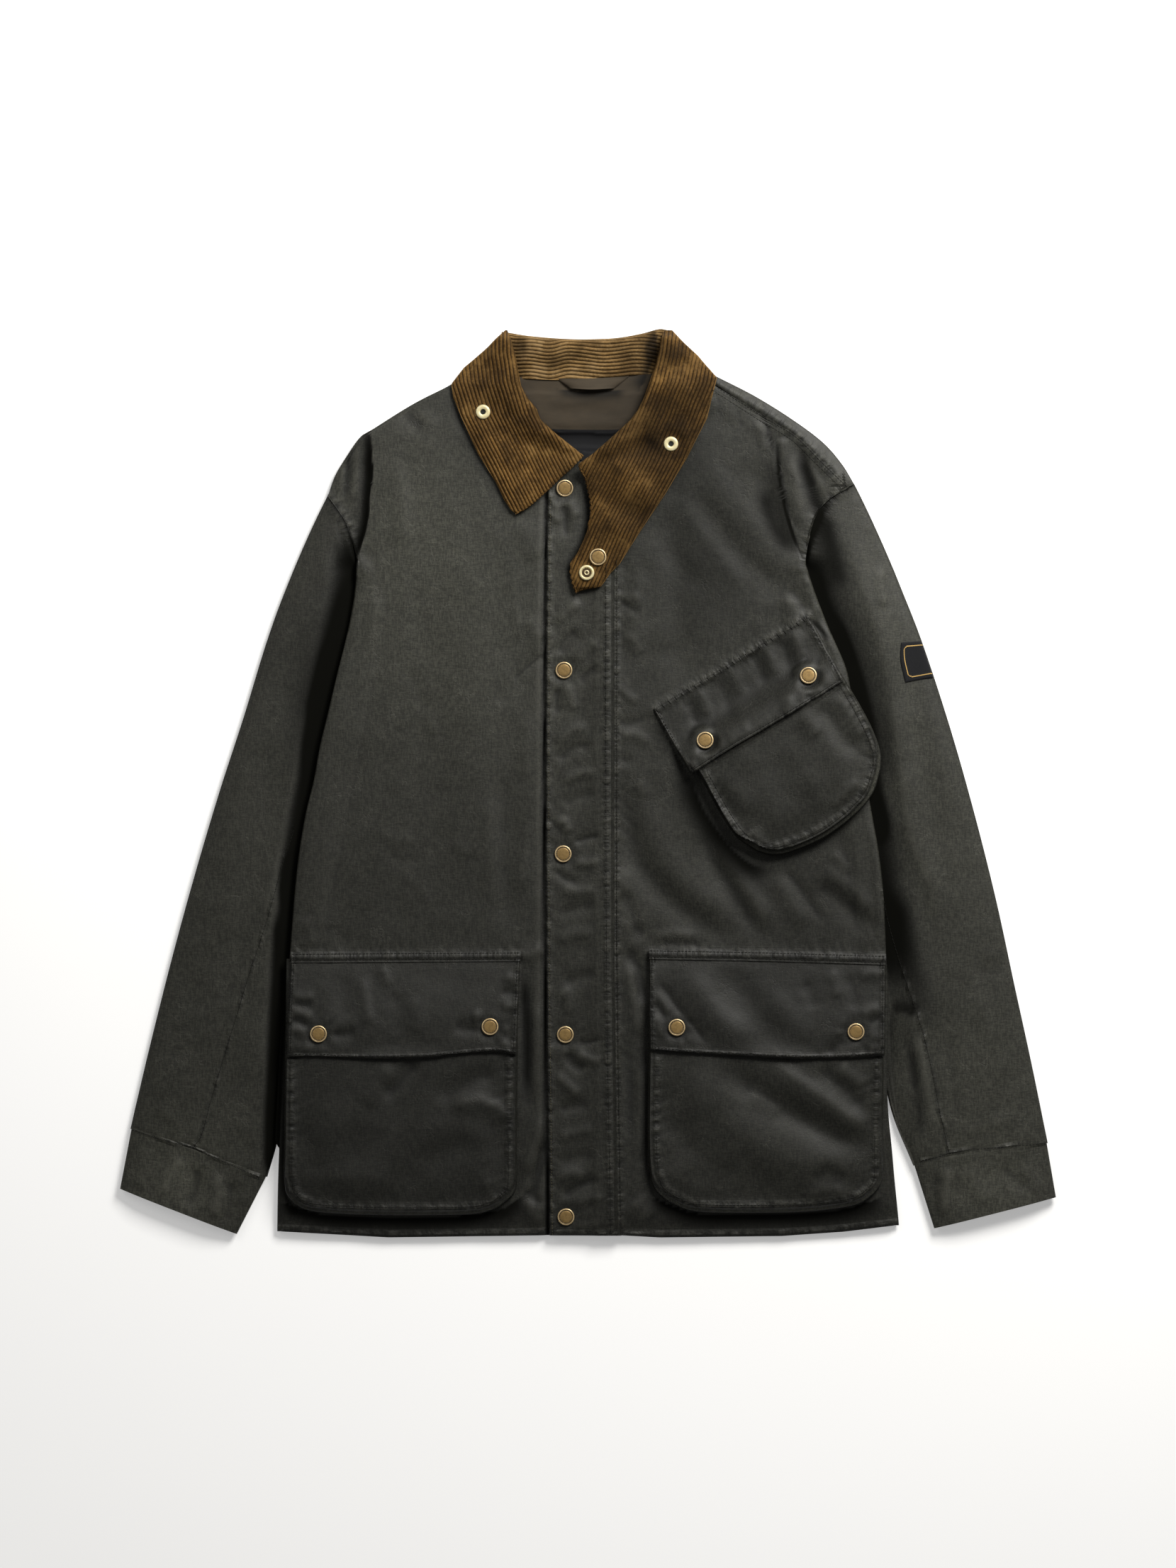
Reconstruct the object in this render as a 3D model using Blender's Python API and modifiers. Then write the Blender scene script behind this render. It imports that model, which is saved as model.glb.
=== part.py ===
# Waxed cotton jacket, laid flat on its back with the front up.
# Sizes are in millimetres and become metres in the mesh. +X runs across the body, +Y from hem
# to collar, +Z up from the surface it lies on. Left and right are as seen from above.
# Every cloth piece is a grid laid out by a function and given its wall by Solidify. A piece that
# lies on others is set on their top faces, a small gap above them.

import math
from collections import namedtuple

import bpy
from mathutils import Vector
from mathutils.bvhtree import BVHTree

MM = 0.001

# ---- walls and gaps
BODY_WALL = 2.2          # shell and lining of the body, as one wall
SLEEVE_WALL = 1.6
FLAP_WALL = 1.6
BAG_WALL = 1.3
COLLAR_WALL = 2.4        # corduroy on its under collar
TRIM_WALL = 1.0          # facing, label, loop and badge
SEAM_GAP = 0.3           # between two pieces that meet at a seam
LAY_GAP = 0.4            # between a piece and what it lies on

# ---- loft of the cloth
BODY_LOFT = 2.9          # air between front and back in the middle of the body
MAX_LOFT = 3.6
EDGE_ROLL = 16.0         # the front comes down to the back over this width
SLEEVE_EDGE = 4.2        # height of a flattened sleeve at its folds
SLEEVE_PUFF = 1.8        # and how much more it has between them
BAG_LOFT = 3.4           # hollow of a bellows pocket
BAG_WELT = 3.0           # width of its upright gusset
CLOSURE_STEP = 2.3       # the right front lies this much higher beside the placket

# ---- closure, from the top of the placket to the hem
PLACKET_LEFT = -35.6
PLACKET_RIGHT = 20.0
PLACKET_TOP = 286.0
UNDER_PLACKET = 12.5     # the left front reaches this far under it
HEM = -398.0

# ---- snaps and eyelets
SNAP_RADIUS = 7.5
SOCKET_RADIUS = 6.8
EYELET_RADIUS = 6.5
TURN_STEPS = 20

EdgeRow = namedtuple("EdgeRow", "y x")
Point = namedtuple("Point", "x y")
Station = namedtuple("Station", "outer_x outer_y inner_x inner_y seam")
Fold = namedtuple("Fold", "x0 y0 x1 y1 half_width rise")
BagRow = namedtuple("BagRow", "down left right")
Leaf = namedtuple("Leaf", "outer_x outer_y inner_x inner_y stand_up")
Span = namedtuple("Span", "x top bottom")
Snap = namedtuple("Snap", "name x y on")

# ---- outline of the body, from collar to hem
SHOULDER_LEFT = [
    EdgeRow(352.8, -120.6), EdgeRow(335.3, -155.0), EdgeRow(313.4, -190.0),
    EdgeRow(305.9, -199.4), EdgeRow(289.7, -210.0), EdgeRow(272.2, -221.9),
]
ARMHOLE_LEFT = [
    EdgeRow(253.4, -230.0), EdgeRow(241.6, -221.3), EdgeRow(230.9, -214.4), EdgeRow(219.1, -210.0),
    EdgeRow(208.4, -206.9), EdgeRow(197.2, -203.8), EdgeRow(177.0, -197.0), EdgeRow(158.4, -191.3),
]
SIDE_LEFT = [
    EdgeRow(197.2, -203.8), EdgeRow(166.6, -206.3), EdgeRow(130.3, -213.1), EdgeRow(97.2, -221.3),
    EdgeRow(62.8, -229.4), EdgeRow(31.6, -236.9), EdgeRow(3.4, -241.9), EdgeRow(-27.8, -249.4),
    EdgeRow(-76.6, -256.9), EdgeRow(-152.2, -263.1), EdgeRow(-228.4, -267.5), EdgeRow(-336.6, -273.1),
    EdgeRow(-402.0, -274.6),
]
SHOULDER_RIGHT = [
    EdgeRow(360.3, 112.5), EdgeRow(342.8, 146.9), EdgeRow(322.2, 180.0), EdgeRow(301.6, 207.5),
    EdgeRow(282.2, 224.4), EdgeRow(264.5, 234.0),
]
ARMHOLE_RIGHT = [
    EdgeRow(264.4, 235.0), EdgeRow(250.9, 213.1), EdgeRow(237.8, 201.9), EdgeRow(222.2, 196.3),
    EdgeRow(205.3, 193.1), EdgeRow(194.1, 191.9), EdgeRow(177.0, 187.0), EdgeRow(158.4, 181.9),
]
SIDE_RIGHT = [
    EdgeRow(194.1, 191.9), EdgeRow(164.7, 201.9), EdgeRow(134.7, 213.8), EdgeRow(102.8, 227.5),
    EdgeRow(76.6, 233.1), EdgeRow(40.9, 241.5), EdgeRow(-11.6, 248.0), EdgeRow(-59.1, 256.3),
    EdgeRow(-98.4, 260.6), EdgeRow(-152.8, 263.1), EdgeRow(-196.6, 265.0), EdgeRow(-255.3, 263.8),
    EdgeRow(-290.3, 265.0), EdgeRow(-327.8, 268.8), EdgeRow(-402.0, 275.0),
]
SHOULDER_SEAM = [
    EdgeRow(353.0, 112.0), EdgeRow(325.9, 154.4), EdgeRow(307.8, 183.8), EdgeRow(284.7, 207.5),
    EdgeRow(265.3, 225.6),
]
HEM_LINE = [
    Point(-276.0, -394.7), Point(-175.6, -400.3), Point(-34.4, -398.4), Point(31.3, -398.4),
    Point(63.1, -400.3), Point(171.3, -399.1), Point(225.6, -395.3), Point(276.0, -389.1),
]
NECK_LEFT = [
    EdgeRow(353.0, -88.0), EdgeRow(343.0, -76.0), EdgeRow(322.0, -60.0), EdgeRow(305.0, -42.0),
    EdgeRow(292.0, -20.0), EdgeRow(286.0, UNDER_PLACKET), EdgeRow(-402.0, UNDER_PLACKET),
]
NECK_RIGHT = [
    EdgeRow(353.0, 78.0), EdgeRow(333.0, 70.0), EdgeRow(312.0, 52.0), EdgeRow(293.0, 35.0),
    EdgeRow(283.0, PLACKET_RIGHT + SEAM_GAP), EdgeRow(-402.0, PLACKET_RIGHT + SEAM_GAP),
]
BACK_NECK = 341.0        # the back's top edge under the collar
BODY_ROWS = [
    353.0, 341.0, 325.0, 307.0, 289.0, 272.2, 264.4, 253.4, 241.6, 230.9, 219.1, 197.2, 177.0,
    158.4, 141.0, 126.0, 97.2, 62.8, 31.6, -11.6, -59.1, -98.4, -152.5, -196.6, -278.0, -327.8, HEM,
]
BACK_ROWS = [y for y in BODY_ROWS if y <= BACK_NECK]
UNDERARM_LEFT = [EdgeRow(141.0, -190.0), EdgeRow(126.0, -213.9)]
UNDERARM_RIGHT = [EdgeRow(141.0, 183.0), EdgeRow(126.0, 217.2)]
BACK_LEFT = SHOULDER_LEFT + ARMHOLE_LEFT + UNDERARM_LEFT + SIDE_LEFT[3:]
BACK_RIGHT = SHOULDER_RIGHT + ARMHOLE_RIGHT[1:] + UNDERARM_RIGHT + SIDE_RIGHT[3:]
PLACKET_ROWS = [
    PLACKET_TOP, 262.0, 230.9, 197.2, 158.4, 126.0, 97.2, 62.8, 31.6, -11.6, -59.1, -98.4, -152.5, -196.6,
    -278.0, -327.8, HEM,
]

# ---- sleeves: the outline, the fold that lies under the body, and where the front seam crosses
SLEEVE_LEFT = [
    Station(-230.0, 253.4, -191.3, 158.4, 0.93), Station(-256.3, 197.2, -192.5, 140.9, 0.93),
    Station(-281.3, 129.1, -198.8, 109.7, 0.91), Station(-303.1, 58.4, -213.1, 37.8, 0.86),
    Station(-325.0, -9.1, -226.9, -32.8, 0.78), Station(-346.9, -82.8, -240.0, -109.1, 0.71),
    Station(-366.9, -155.9, -251.3, -180.9, 0.63), Station(-385.0, -227.8, -265.0, -254.1, 0.56),
    Station(-396.9, -277.8, -274.4, -310.9, 0.50), Station(-403.1, -304.7, -282.5, -346.6, 0.45),
]
SLEEVE_RIGHT = [
    Station(235.0, 264.4, 181.9, 158.4, 0.93), Station(255.0, 222.2, 185.6, 140.9, 0.93),
    Station(275.6, 172.2, 194.4, 115.9, 0.92), Station(295.0, 122.2, 206.3, 81.6, 0.90),
    Station(319.4, 47.2, 223.1, 15.9, 0.87), Station(340.6, -27.8, 238.8, -52.8, 0.85),
    Station(359.4, -102.8, 250.0, -124.7, 0.81), Station(375.6, -177.8, 256.3, -199.7, 0.70),
    Station(390.6, -246.6, 262.5, -274.7, 0.66), Station(405.0, -317.2, 288.1, -336.6, 0.71),
]
CUFF_LEFT_HEM = Station(-413.1, -357.2, -310.0, -397.2, 0.5)
CUFF_RIGHT_HEM = Station(413.1, -364.7, 305.6, -392.2, 0.5)
BACK_SEAM = 0.32         # the seam under the sleeve, as a share of its width from the outside

# ---- the largest folds of the fronts: a line, its half width, and how far it stands up or sinks
FOLDS = [
    Fold(-194.0, 312.0, -200.0, 203.0, 7.0, -3.0),
    Fold(-207.0, 285.0, -212.0, 236.0, 6.0, 1.0),
    Fold(150.0, 330.0, 188.0, 205.0, 9.0, -1.4),
    Fold(186.0, 304.0, 203.0, 252.0, 8.0, -2.2),
    Fold(118.0, 320.0, 168.0, 212.0, 15.0, 0.7),
    Fold(60.0, 200.0, 60.0, 90.0, 14.0, -0.8),
    Fold(30.0, 0.0, 56.0, -120.0, 10.0, -1.2),
    Fold(50.0, 10.0, 86.0, -110.0, 12.0, 0.7),
    Fold(96.0, -30.0, 150.0, -125.0, 14.0, -1.0),
    Fold(-120.0, 160.0, -135.0, -90.0, 26.0, -0.7),
]

# ---- pockets; the chest pocket has its own axes, along and down its flap
LOWER_LEFT_BAG = [
    BagRow(-166.0, -262.5, -60.0), BagRow(-205.0, -264.0, -60.5), BagRow(-245.0, -265.5, -61.0),
    BagRow(-290.0, -267.0, -61.5), BagRow(-335.0, -268.0, -62.0), BagRow(-353.0, -267.5, -62.5),
    BagRow(-365.0, -260.0, -67.0), BagRow(-374.0, -249.0, -78.0), BagRow(-379.5, -229.0, -100.0),
]
LOWER_RIGHT_BAG = [
    BagRow(-164.0, 54.0, 261.0), BagRow(-205.0, 54.0, 261.0), BagRow(-245.0, 54.0, 260.5),
    BagRow(-290.0, 54.0, 260.5), BagRow(-330.0, 54.0, 260.8), BagRow(-345.0, 55.0, 259.5),
    BagRow(-358.0, 60.5, 255.0), BagRow(-368.0, 69.0, 246.0), BagRow(-376.0, 89.0, 228.0),
]
CHEST_CORNER = Point(57.5, 65.9)
CHEST_TILT = math.radians(31.5)
CHEST_BAG = [
    BagRow(16.0, 2.0, 157.0), BagRow(40.0, 3.0, 156.5), BagRow(66.0, 4.0, 155.5), BagRow(90.0, 3.0, 152.5),
    BagRow(120.0, 2.5, 150.5), BagRow(140.0, 5.5, 147.0), BagRow(157.0, 17.0, 133.0),
    BagRow(168.0, 40.0, 117.0), BagRow(174.0, 62.0, 100.0),
]
CHEST_FLAP_WIDTH = 160.0
CHEST_FLAP_DROP = 66.0
LOWER_LEFT_FLAP = [BagRow(-147.8, -261.0, -59.4), BagRow(-239.5, -264.4, -63.1)]
LOWER_RIGHT_FLAP = [BagRow(-147.0, 53.8, 261.8), BagRow(-237.5, 54.4, 261.0)]
BAND_DROP = 9.0          # depth of the stitched band on a lower flap

# ---- collar
LEAF_LEFT = [
    Leaf(-77.5, 395.4, -69.4, 398.4, 0.0), Leaf(-98.8, 377.2, -66.3, 384.2, 1.5),
    Leaf(-120.6, 353.4, -61.9, 362.8, 3.2), Leaf(-115.6, 333.4, -55.0, 343.4, 3.6),
    Leaf(-101.3, 305.3, -40.6, 322.2, 3.2), Leaf(-81.3, 274.7, -23.1, 304.7, 2.4),
    Leaf(-65.6, 239.1, -11.0, 282.8, 0.7),
]
LEAF_RIGHT = [
    Leaf(73.8, 395.4, 65.6, 398.2, 0.0), Leaf(93.8, 379.7, 61.9, 381.2, 1.5),
    Leaf(112.5, 360.9, 55.6, 359.7, 3.4), Leaf(107.5, 337.8, 48.8, 332.8, 4.0),
    Leaf(97.5, 308.4, 28.1, 311.6, 3.6), Leaf(83.8, 280.3, 8.1, 292.8, 2.6),
    Leaf(68.8, 253.4, -7.5, 281.6, 0.8), Leaf(51.3, 229.7, 0.6, 259.7, 0.7),
    Leaf(39.4, 215.9, 2.5, 239.7, 0.6), Leaf(25.0, 194.1, -7.5, 212.8, 0.3),
    Leaf(19.5, 187.0, -15.0, 194.1, 0.2), Leaf(11.9, 173.4, -11.3, 168.4, 0.0),
]
ROLL_RADIUS = 3.2        # of the fold between a leaf and the stand
STAND_SPANS = [
    Span(-66.0, 392.0, 356.5), Span(-40.0, 390.5, 358.0), Span(-2.0, 388.0, 358.5),
    Span(35.0, 390.0, 359.5), Span(60.0, 392.0, 360.5),
]
FALL_SPANS = [
    Span(-120.5, 353.4, 349.0), Span(-98.8, 377.2, 338.0), Span(-75.0, 398.5, 330.0),
    Span(-40.0, 392.5, 324.0), Span(-2.0, 389.7, 321.0), Span(35.0, 392.0, 325.0),
    Span(70.0, 398.5, 333.0), Span(93.8, 379.7, 342.0), Span(112.4, 361.0, 357.0),
]
FALL_WALL = 2.2
FALL_RAMP = 56.0         # the back comes down to the floor over this width round the fall
STAND_FOOT = 5.6         # height of the stand at the neck seam
STAND_HEAD = 7.4         # and near its top edge
STAND_ROLL = 4.4         # it then rolls down this much to the fall

FACING_ROWS = [
    BagRow(357.0, -80.0, 70.0), BagRow(343.0, -68.0, 64.0), BagRow(322.0, -52.0, 50.0),
    BagRow(305.0, -34.0, 36.0), BagRow(293.0, -16.0, 22.0),
]
LABEL_ROWS = [BagRow(311.5, -30.0, 34.0), BagRow(300.0, -24.0, 26.0), BagRow(294.5, -14.0, 18.0)]
LOOP_ROWS = [BagRow(355.5, -25.0, 32.0), BagRow(347.2, -15.6, 23.1)]

SNAPS = [
    Snap("placket_1", -20.6, 260.9, "placket"), Snap("placket_2", -21.3, 100.3, "placket"),
    Snap("placket_3", -21.9, -61.6, "placket"), Snap("placket_4", -20.0, -220.9, "placket"),
    Snap("placket_5", -19.4, -381.6, "placket"), Snap("tab", 8.8, 199.7, "collar_leaf_right"),
    Snap("chest_1", 103.1, 38.4, "flap_chest"), Snap("chest_2", 193.8, 95.3, "flap_chest"),
    Snap("lower_left_1", -236.9, -219.7, "flap_lower_left"),
    Snap("lower_left_2", -86.3, -213.4, "flap_lower_left"),
    Snap("lower_right_1", 78.1, -214.1, "flap_lower_right"),
    Snap("lower_right_2", 235.6, -217.8, "flap_lower_right"),
]
SOCKET = Snap("snap_socket_tab", -1.6, 185.5, "collar_leaf_right")
EYELETS = [
    Snap("eyelet_left", -92.5, 327.8, "collar_leaf_left"),
    Snap("eyelet_right", 73.1, 299.7, "collar_leaf_right"),
]
CAP_PROFILE = [(0, 1.5), (4.9, 1.6), (5.4, 2.1), (6.7, 2.1), (SNAP_RADIUS, 1.3), (7.2, 0), (0, 0)]
SOCKET_PROFILE = [
    (0, 1.0), (1.3, 1.0), (1.7, 0.5), (3.5, 0.5), (4.1, 1.8), (5.6, 2.0), (SOCKET_RADIUS, 1.2), (6.6, 0),
    (0, 0),
]
EYELET_PROFILE = [
    (0, 0.4), (1.7, 0.4), (2.1, 1.2), (3.8, 1.5), (5.6, 1.3), (EYELET_RADIUS, 0.5), (6.4, 0), (0, 0),
]

BADGE_AT = 0.30          # along the sleeve, from armhole to cuff
BADGE_TALL = 28.0
BADGE_FACE = 26.0        # width that shows on the front of the sleeve


# ---- small helpers

def smooth(low, high, value):
    """0 below low, 1 above high, and an even rise between them."""
    share = min(max((value - low) / (high - low), 0.0), 1.0)
    return share * share * (3 - 2 * share)


def mix(a, b, share):
    return a + (b - a) * share


def at_y(rows, y):
    """x of an edge at height y, from rows that run down the body."""
    if y >= rows[0].y:
        return rows[0].x
    for upper, lower in zip(rows, rows[1:]):
        if y >= lower.y:
            return mix(upper.x, lower.x, (upper.y - y) / (upper.y - lower.y))
    return rows[-1].x


def blend_rows(rows, share):
    """The row of a table at a share of its length, on a smooth curve through the rows."""
    place = share * (len(rows) - 1)
    index = min(int(place), len(rows) - 2)
    t = place - index
    before = rows[max(index - 1, 0)]
    after = rows[min(index + 2, len(rows) - 1)]
    values = []
    for p0, p1, p2, p3 in zip(before, rows[index], rows[index + 1], after):
        values.append(0.5 * (2 * p1 + (p2 - p0) * t + (2 * p0 - 5 * p1 + 4 * p2 - p3) * t * t
                             + (3 * p1 - p0 - 3 * p2 + p3) * t ** 3))
    return type(rows[0])(*values)


def fold_height(x, y):
    """Sum of the folds at a point of the fronts."""
    total = 0.0
    for fold in FOLDS:
        along = Vector((fold.x1 - fold.x0, fold.y1 - fold.y0))
        away = Vector((x - fold.x0, y - fold.y0))
        share = min(max(away.dot(along) / along.length_squared, 0.0), 1.0)
        distance = (away - along * share).length / fold.half_width
        fade = smooth(0.0, 0.2, share) * smooth(1.0, 0.8, share) if 0 < share < 1 else 0.0
        total += fold.rise * math.exp(-distance * distance) * mix(0.35, 1.0, fade)
    return total


def material(name, colour, roughness, metallic=0.0):
    made = bpy.data.materials.new(name)
    made.use_nodes = True
    shader = made.node_tree.nodes["Principled BSDF"]
    shader.inputs["Base Color"].default_value = (*colour, 1.0)
    shader.inputs["Roughness"].default_value = roughness
    shader.inputs["Metallic"].default_value = metallic
    return made


def put_in(collection, piece):
    for other in list(piece.users_collection):
        other.objects.unlink(piece)
    collection.objects.link(piece)


def cloth(name, columns, rows, place, wall, finish, surface="under"):
    """A grid whose corners are set by place(column, row), with its wall above an underside or a
    curled underside, or within an outside."""
    bpy.ops.mesh.primitive_grid_add(x_subdivisions=columns - 1, y_subdivisions=rows - 1, size=1)
    piece = bpy.context.object
    piece.name = name
    piece.data.name = name
    for corner in piece.data.vertices:
        column = round((corner.co.x + 0.5) * (columns - 1))
        row = round((corner.co.y + 0.5) * (rows - 1))
        corner.co = Vector(place(column, row)) * MM
    piece.data.update()
    first = min(piece.data.polygons, key=lambda face: min(face.vertices))
    if first.normal.z < 0:
        piece.data.flip_normals()
    solid = piece.modifiers.new("wall", "SOLIDIFY")
    solid.thickness = wall * MM
    solid.offset = -1 if surface == "outside" else 1
    solid.use_even_offset = surface == "under"
    piece.data.materials.append(finish)
    put_in(jacket, piece)
    return piece


def top_of(piece, x, y):
    """Height of a piece's upper face over a point, or None beside it."""
    if piece.name not in trees:
        trees[piece.name] = BVHTree.FromObject(piece, bpy.context.evaluated_depsgraph_get())
    hit = trees[piece.name].ray_cast(Vector((x, y, 200.0)) * MM, Vector((0, 0, -1)))[0]
    return hit.z / MM if hit else None


def rest_on(pieces, x, y, reach, otherwise=0.0):
    """Highest point of some pieces within reach of a point, and the gap above it."""
    heights = [otherwise]
    for dx in (-reach, 0, reach):
        for dy in (-reach, 0, reach):
            for piece in pieces:
                height = top_of(piece, x + dx, y + dy)
                if height is not None:
                    heights.append(height + LAY_GAP)
    return max(heights)


def across(left, right, left_margins, right_margins, middle):
    """Places across a panel: by its margins beside either edge and even between them."""
    scale = min(1.0, (right - left) / (1.2 * (left_margins[-1] + right_margins[-1])))
    first = [left + margin * scale for margin in left_margins]
    last = [right - margin * scale for margin in reversed(right_margins)]
    inner = [mix(first[-1], last[0], step / (middle + 1)) for step in range(1, middle + 1)]
    return first + inner + last


def along_hem(x, y):
    """The lowest row follows the hem line."""
    if y > HEM:
        return y
    for near, far in zip(HEM_LINE, HEM_LINE[1:]):
        if x <= far.x:
            return mix(near.y, far.y, (x - near.x) / (far.x - near.x))
    return HEM_LINE[-1].y


def outline_left(y):
    return at_y(SHOULDER_LEFT + ARMHOLE_LEFT[:6] + SIDE_LEFT[1:], y)


def outline_right(y):
    return at_y(SHOULDER_RIGHT + ARMHOLE_RIGHT[1:6] + SIDE_RIGHT[1:], y)


# ---- collar at the back, on the floor

def span_at(spans, x):
    for near, far in zip(spans, spans[1:]):
        if x <= far.x:
            share = (x - near.x) / (far.x - near.x)
            return mix(near.top, far.top, share), mix(near.bottom, far.bottom, share)
    return spans[-1].top, spans[-1].bottom


def make_fall():
    columns, rows = 17, 3

    def place(column, row):
        x = mix(FALL_SPANS[0].x, FALL_SPANS[-1].x, column / (columns - 1))
        top, bottom = span_at(FALL_SPANS, x)
        return x, mix(bottom, top, row / (rows - 1)), 0.0

    return cloth("collar_fall_back", columns, rows, place, FALL_WALL, corduroy)


# ---- sleeves

def armhole_point(rows, share):
    lengths = [0.0]
    for a, b in zip(rows, rows[1:]):
        lengths.append(lengths[-1] + math.hypot(b.x - a.x, b.y - a.y))
    wanted = share * lengths[-1]
    for index in range(len(rows) - 1):
        if wanted <= lengths[index + 1]:
            step = (wanted - lengths[index]) / (lengths[index + 1] - lengths[index])
            a, b = rows[index], rows[index + 1]
            return Vector((mix(a.x, b.x, step), mix(a.y, b.y, step)))
    return Vector((rows[-1].x, rows[-1].y))


class Sleeve:
    """A flattened tube from the armhole to the cuff's seam, and on to the hem as the cuff."""

    def __init__(self, side, stations, armhole, hem):
        self.side = side
        self.stations = stations
        self.armhole = armhole
        self.hem = hem
        clear = Vector((0.925 * (-1 if side == "left" else 1), -0.38))
        self.seam_shift = clear * 1.15

    def section(self, along):
        """Outer and inner fold of a section; beyond 1 it is the cuff."""
        if along <= 1:
            row = blend_rows(self.stations, along)
        else:
            last = self.stations[-1]
            row = Station(*[mix(a, b, along - 1) for a, b in zip(last, self.hem)])
        return Vector((row.outer_x, row.outer_y)), Vector((row.inner_x, row.inner_y)), row.seam

    def flat(self, along, share):
        """Where a share of the width lies on the floor plan."""
        outer, inner, _ = self.section(along)
        radius = SLEEVE_EDGE / 2
        width = (inner - outer).length
        direction = (inner - outer) / width
        straight = outer + direction * mix(radius, width - radius, share)
        shoulder = 1 - smooth(0.0, 0.2, along)
        if shoulder > 0:
            curved = armhole_point(self.armhole, mix(radius, width - radius, share) / width)
            straight = straight.lerp(curved + self.seam_shift, shoulder)
        return straight, direction

    def ring(self, along, side, share):
        """A point of the outside: side is front, back, outer or inner, share runs along it."""
        height = SLEEVE_EDGE
        if side == "front":
            flat, _ = self.flat(along, share)
            puff = SLEEVE_PUFF * max(math.sin(math.pi * share), 0.0) ** 0.8
            return flat.x, flat.y, height + puff * smooth(2.0, 1.6, along)
        if side == "back":
            flat, _ = self.flat(along, share)
            return flat.x, flat.y, 0.0
        angle = math.pi * share
        end = 0.0 if side == "outer" else 1.0
        flat, direction = self.flat(along, end)
        out = direction * (height / 2 * math.sin(angle)) * (-1 if side == "outer" else 1)
        return flat.x + out.x, flat.y + out.y, height / 2 * (1 + math.cos(angle))


def run(count, start, end):
    return [mix(start, end, step / (count - 1)) for step in range(count)]


def make_sleeve(sleeve):
    rows = 11

    def along(row):
        return row / (rows - 1)

    def upper(column, row):
        seam = sleeve.section(along(row))[2]
        width = (sleeve.section(along(row))[1] - sleeve.section(along(row))[0]).length
        gap = SEAM_GAP / width
        path = [("front", s) for s in run(8, seam - gap, 0.0)]
        path += [("outer", a) for a in (0.25, 0.5, 0.75)]
        path += [("back", s) for s in run(3, 0.0, BACK_SEAM - gap)]
        return sleeve.ring(along(row), *path[column])

    def under(column, row):
        seam = sleeve.section(along(row))[2]
        width = (sleeve.section(along(row))[1] - sleeve.section(along(row))[0]).length
        gap = SEAM_GAP / width
        path = [("front", s) for s in run(4, seam + gap, 1.0)]
        path += [("inner", a) for a in (0.25, 0.5, 0.75)]
        path += [("back", s) for s in run(4, 1.0, BACK_SEAM + gap)]
        return sleeve.ring(along(row), *path[column])

    def cuff(column, row):
        path = [("back", s) for s in run(3, BACK_SEAM + 0.004, 1.0)]
        path += [("inner", a) for a in (0.75, 0.5, 0.25)]
        path += [("front", s) for s in run(5, 1.0, 0.0)]
        path += [("outer", a) for a in (0.25, 0.5, 0.75)]
        path += [("back", s) for s in run(3, 0.0, BACK_SEAM - 0.004)]
        return sleeve.ring(mix(1.008, 2.0, row / 3), *path[column])

    cloth(f"sleeve_{sleeve.side}_upper", 14, rows, upper, SLEEVE_WALL, waxed, "outside")
    cloth(f"sleeve_{sleeve.side}_under", 11, rows, under, SLEEVE_WALL, waxed, "outside")
    made = cloth(f"cuff_{sleeve.side}", 17, 4, cuff, SLEEVE_WALL, waxed, "outside")
    made.data.flip_normals()


# ---- body

def sleeve_fold(sleeve, y):
    """x of a sleeve's hidden fold at height y."""
    rows = [EdgeRow(station.inner_y, station.inner_x) for station in sleeve.stations]
    return at_y(rows, y)


def make_back():
    margins = [0, 8, 18, 32]
    middle = 3
    sleeves = [bpy.data.objects[f"sleeve_{side}_under"] for side in ("left", "right")]
    sleeves += [bpy.data.objects[f"sleeve_{side}_upper"] for side in ("left", "right")]
    fall = bpy.data.objects["collar_fall_back"]
    underarm = ARMHOLE_LEFT[-1].y

    def under(x, y):
        if y > underarm - 1:
            ramp = 0.0
            pieces = []
            reach = 5.0
        else:
            over_left = smooth(sleeve_fold(left_sleeve, y) + 26, sleeve_fold(left_sleeve, y) + 10, x)
            over_right = smooth(sleeve_fold(right_sleeve, y) - 26, sleeve_fold(right_sleeve, y) - 10, x)
            notch_left = smooth(-330.0, -300.0, y)
            notch_right = smooth(-320.0, -282.0, y)
            ramp = (SLEEVE_EDGE + LAY_GAP) * max(over_left * notch_left, over_right * notch_right)
            pieces = sleeves
            reach = 2 + 3 * (notch_left if x < 0 else notch_right)
        if FALL_SPANS[0].x - FALL_RAMP < x < FALL_SPANS[-1].x + FALL_RAMP:
            bottom = span_at(FALL_SPANS, min(max(x, FALL_SPANS[0].x), FALL_SPANS[-1].x))[1]
            side = smooth(FALL_RAMP, 0.0, max(FALL_SPANS[0].x - x, x - FALL_SPANS[-1].x, 0.0))
            ramp = max(ramp, (FALL_WALL + LAY_GAP) * side * smooth(bottom - 18 - FALL_RAMP, bottom - 18, y))
        return rest_on(pieces + [fall], x, y, reach, ramp)

    def place(column, row):
        y = BACK_ROWS[-1 - row]
        left, right = at_y(BACK_LEFT, y) + SEAM_GAP / 2, at_y(BACK_RIGHT, y) - SEAM_GAP / 2
        x = across(left, right, margins, margins, middle)[column]
        return x, along_hem(x, y), under(x, y)

    return cloth("back", 2 * len(margins) + middle, len(BACK_ROWS), place, BODY_WALL, waxed)


def loft(x, y):
    """Air under the fronts: none at the edges, and the folds on top of an even height."""
    inward = min(x - outline_left(y), outline_right(y) - x, (y - HEM) * 0.8 + 3)
    rolled = smooth(0.0, EDGE_ROLL, inward)
    return rolled * min(max(BODY_LOFT + fold_height(x, y), 0.0), MAX_LOFT)


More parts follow.
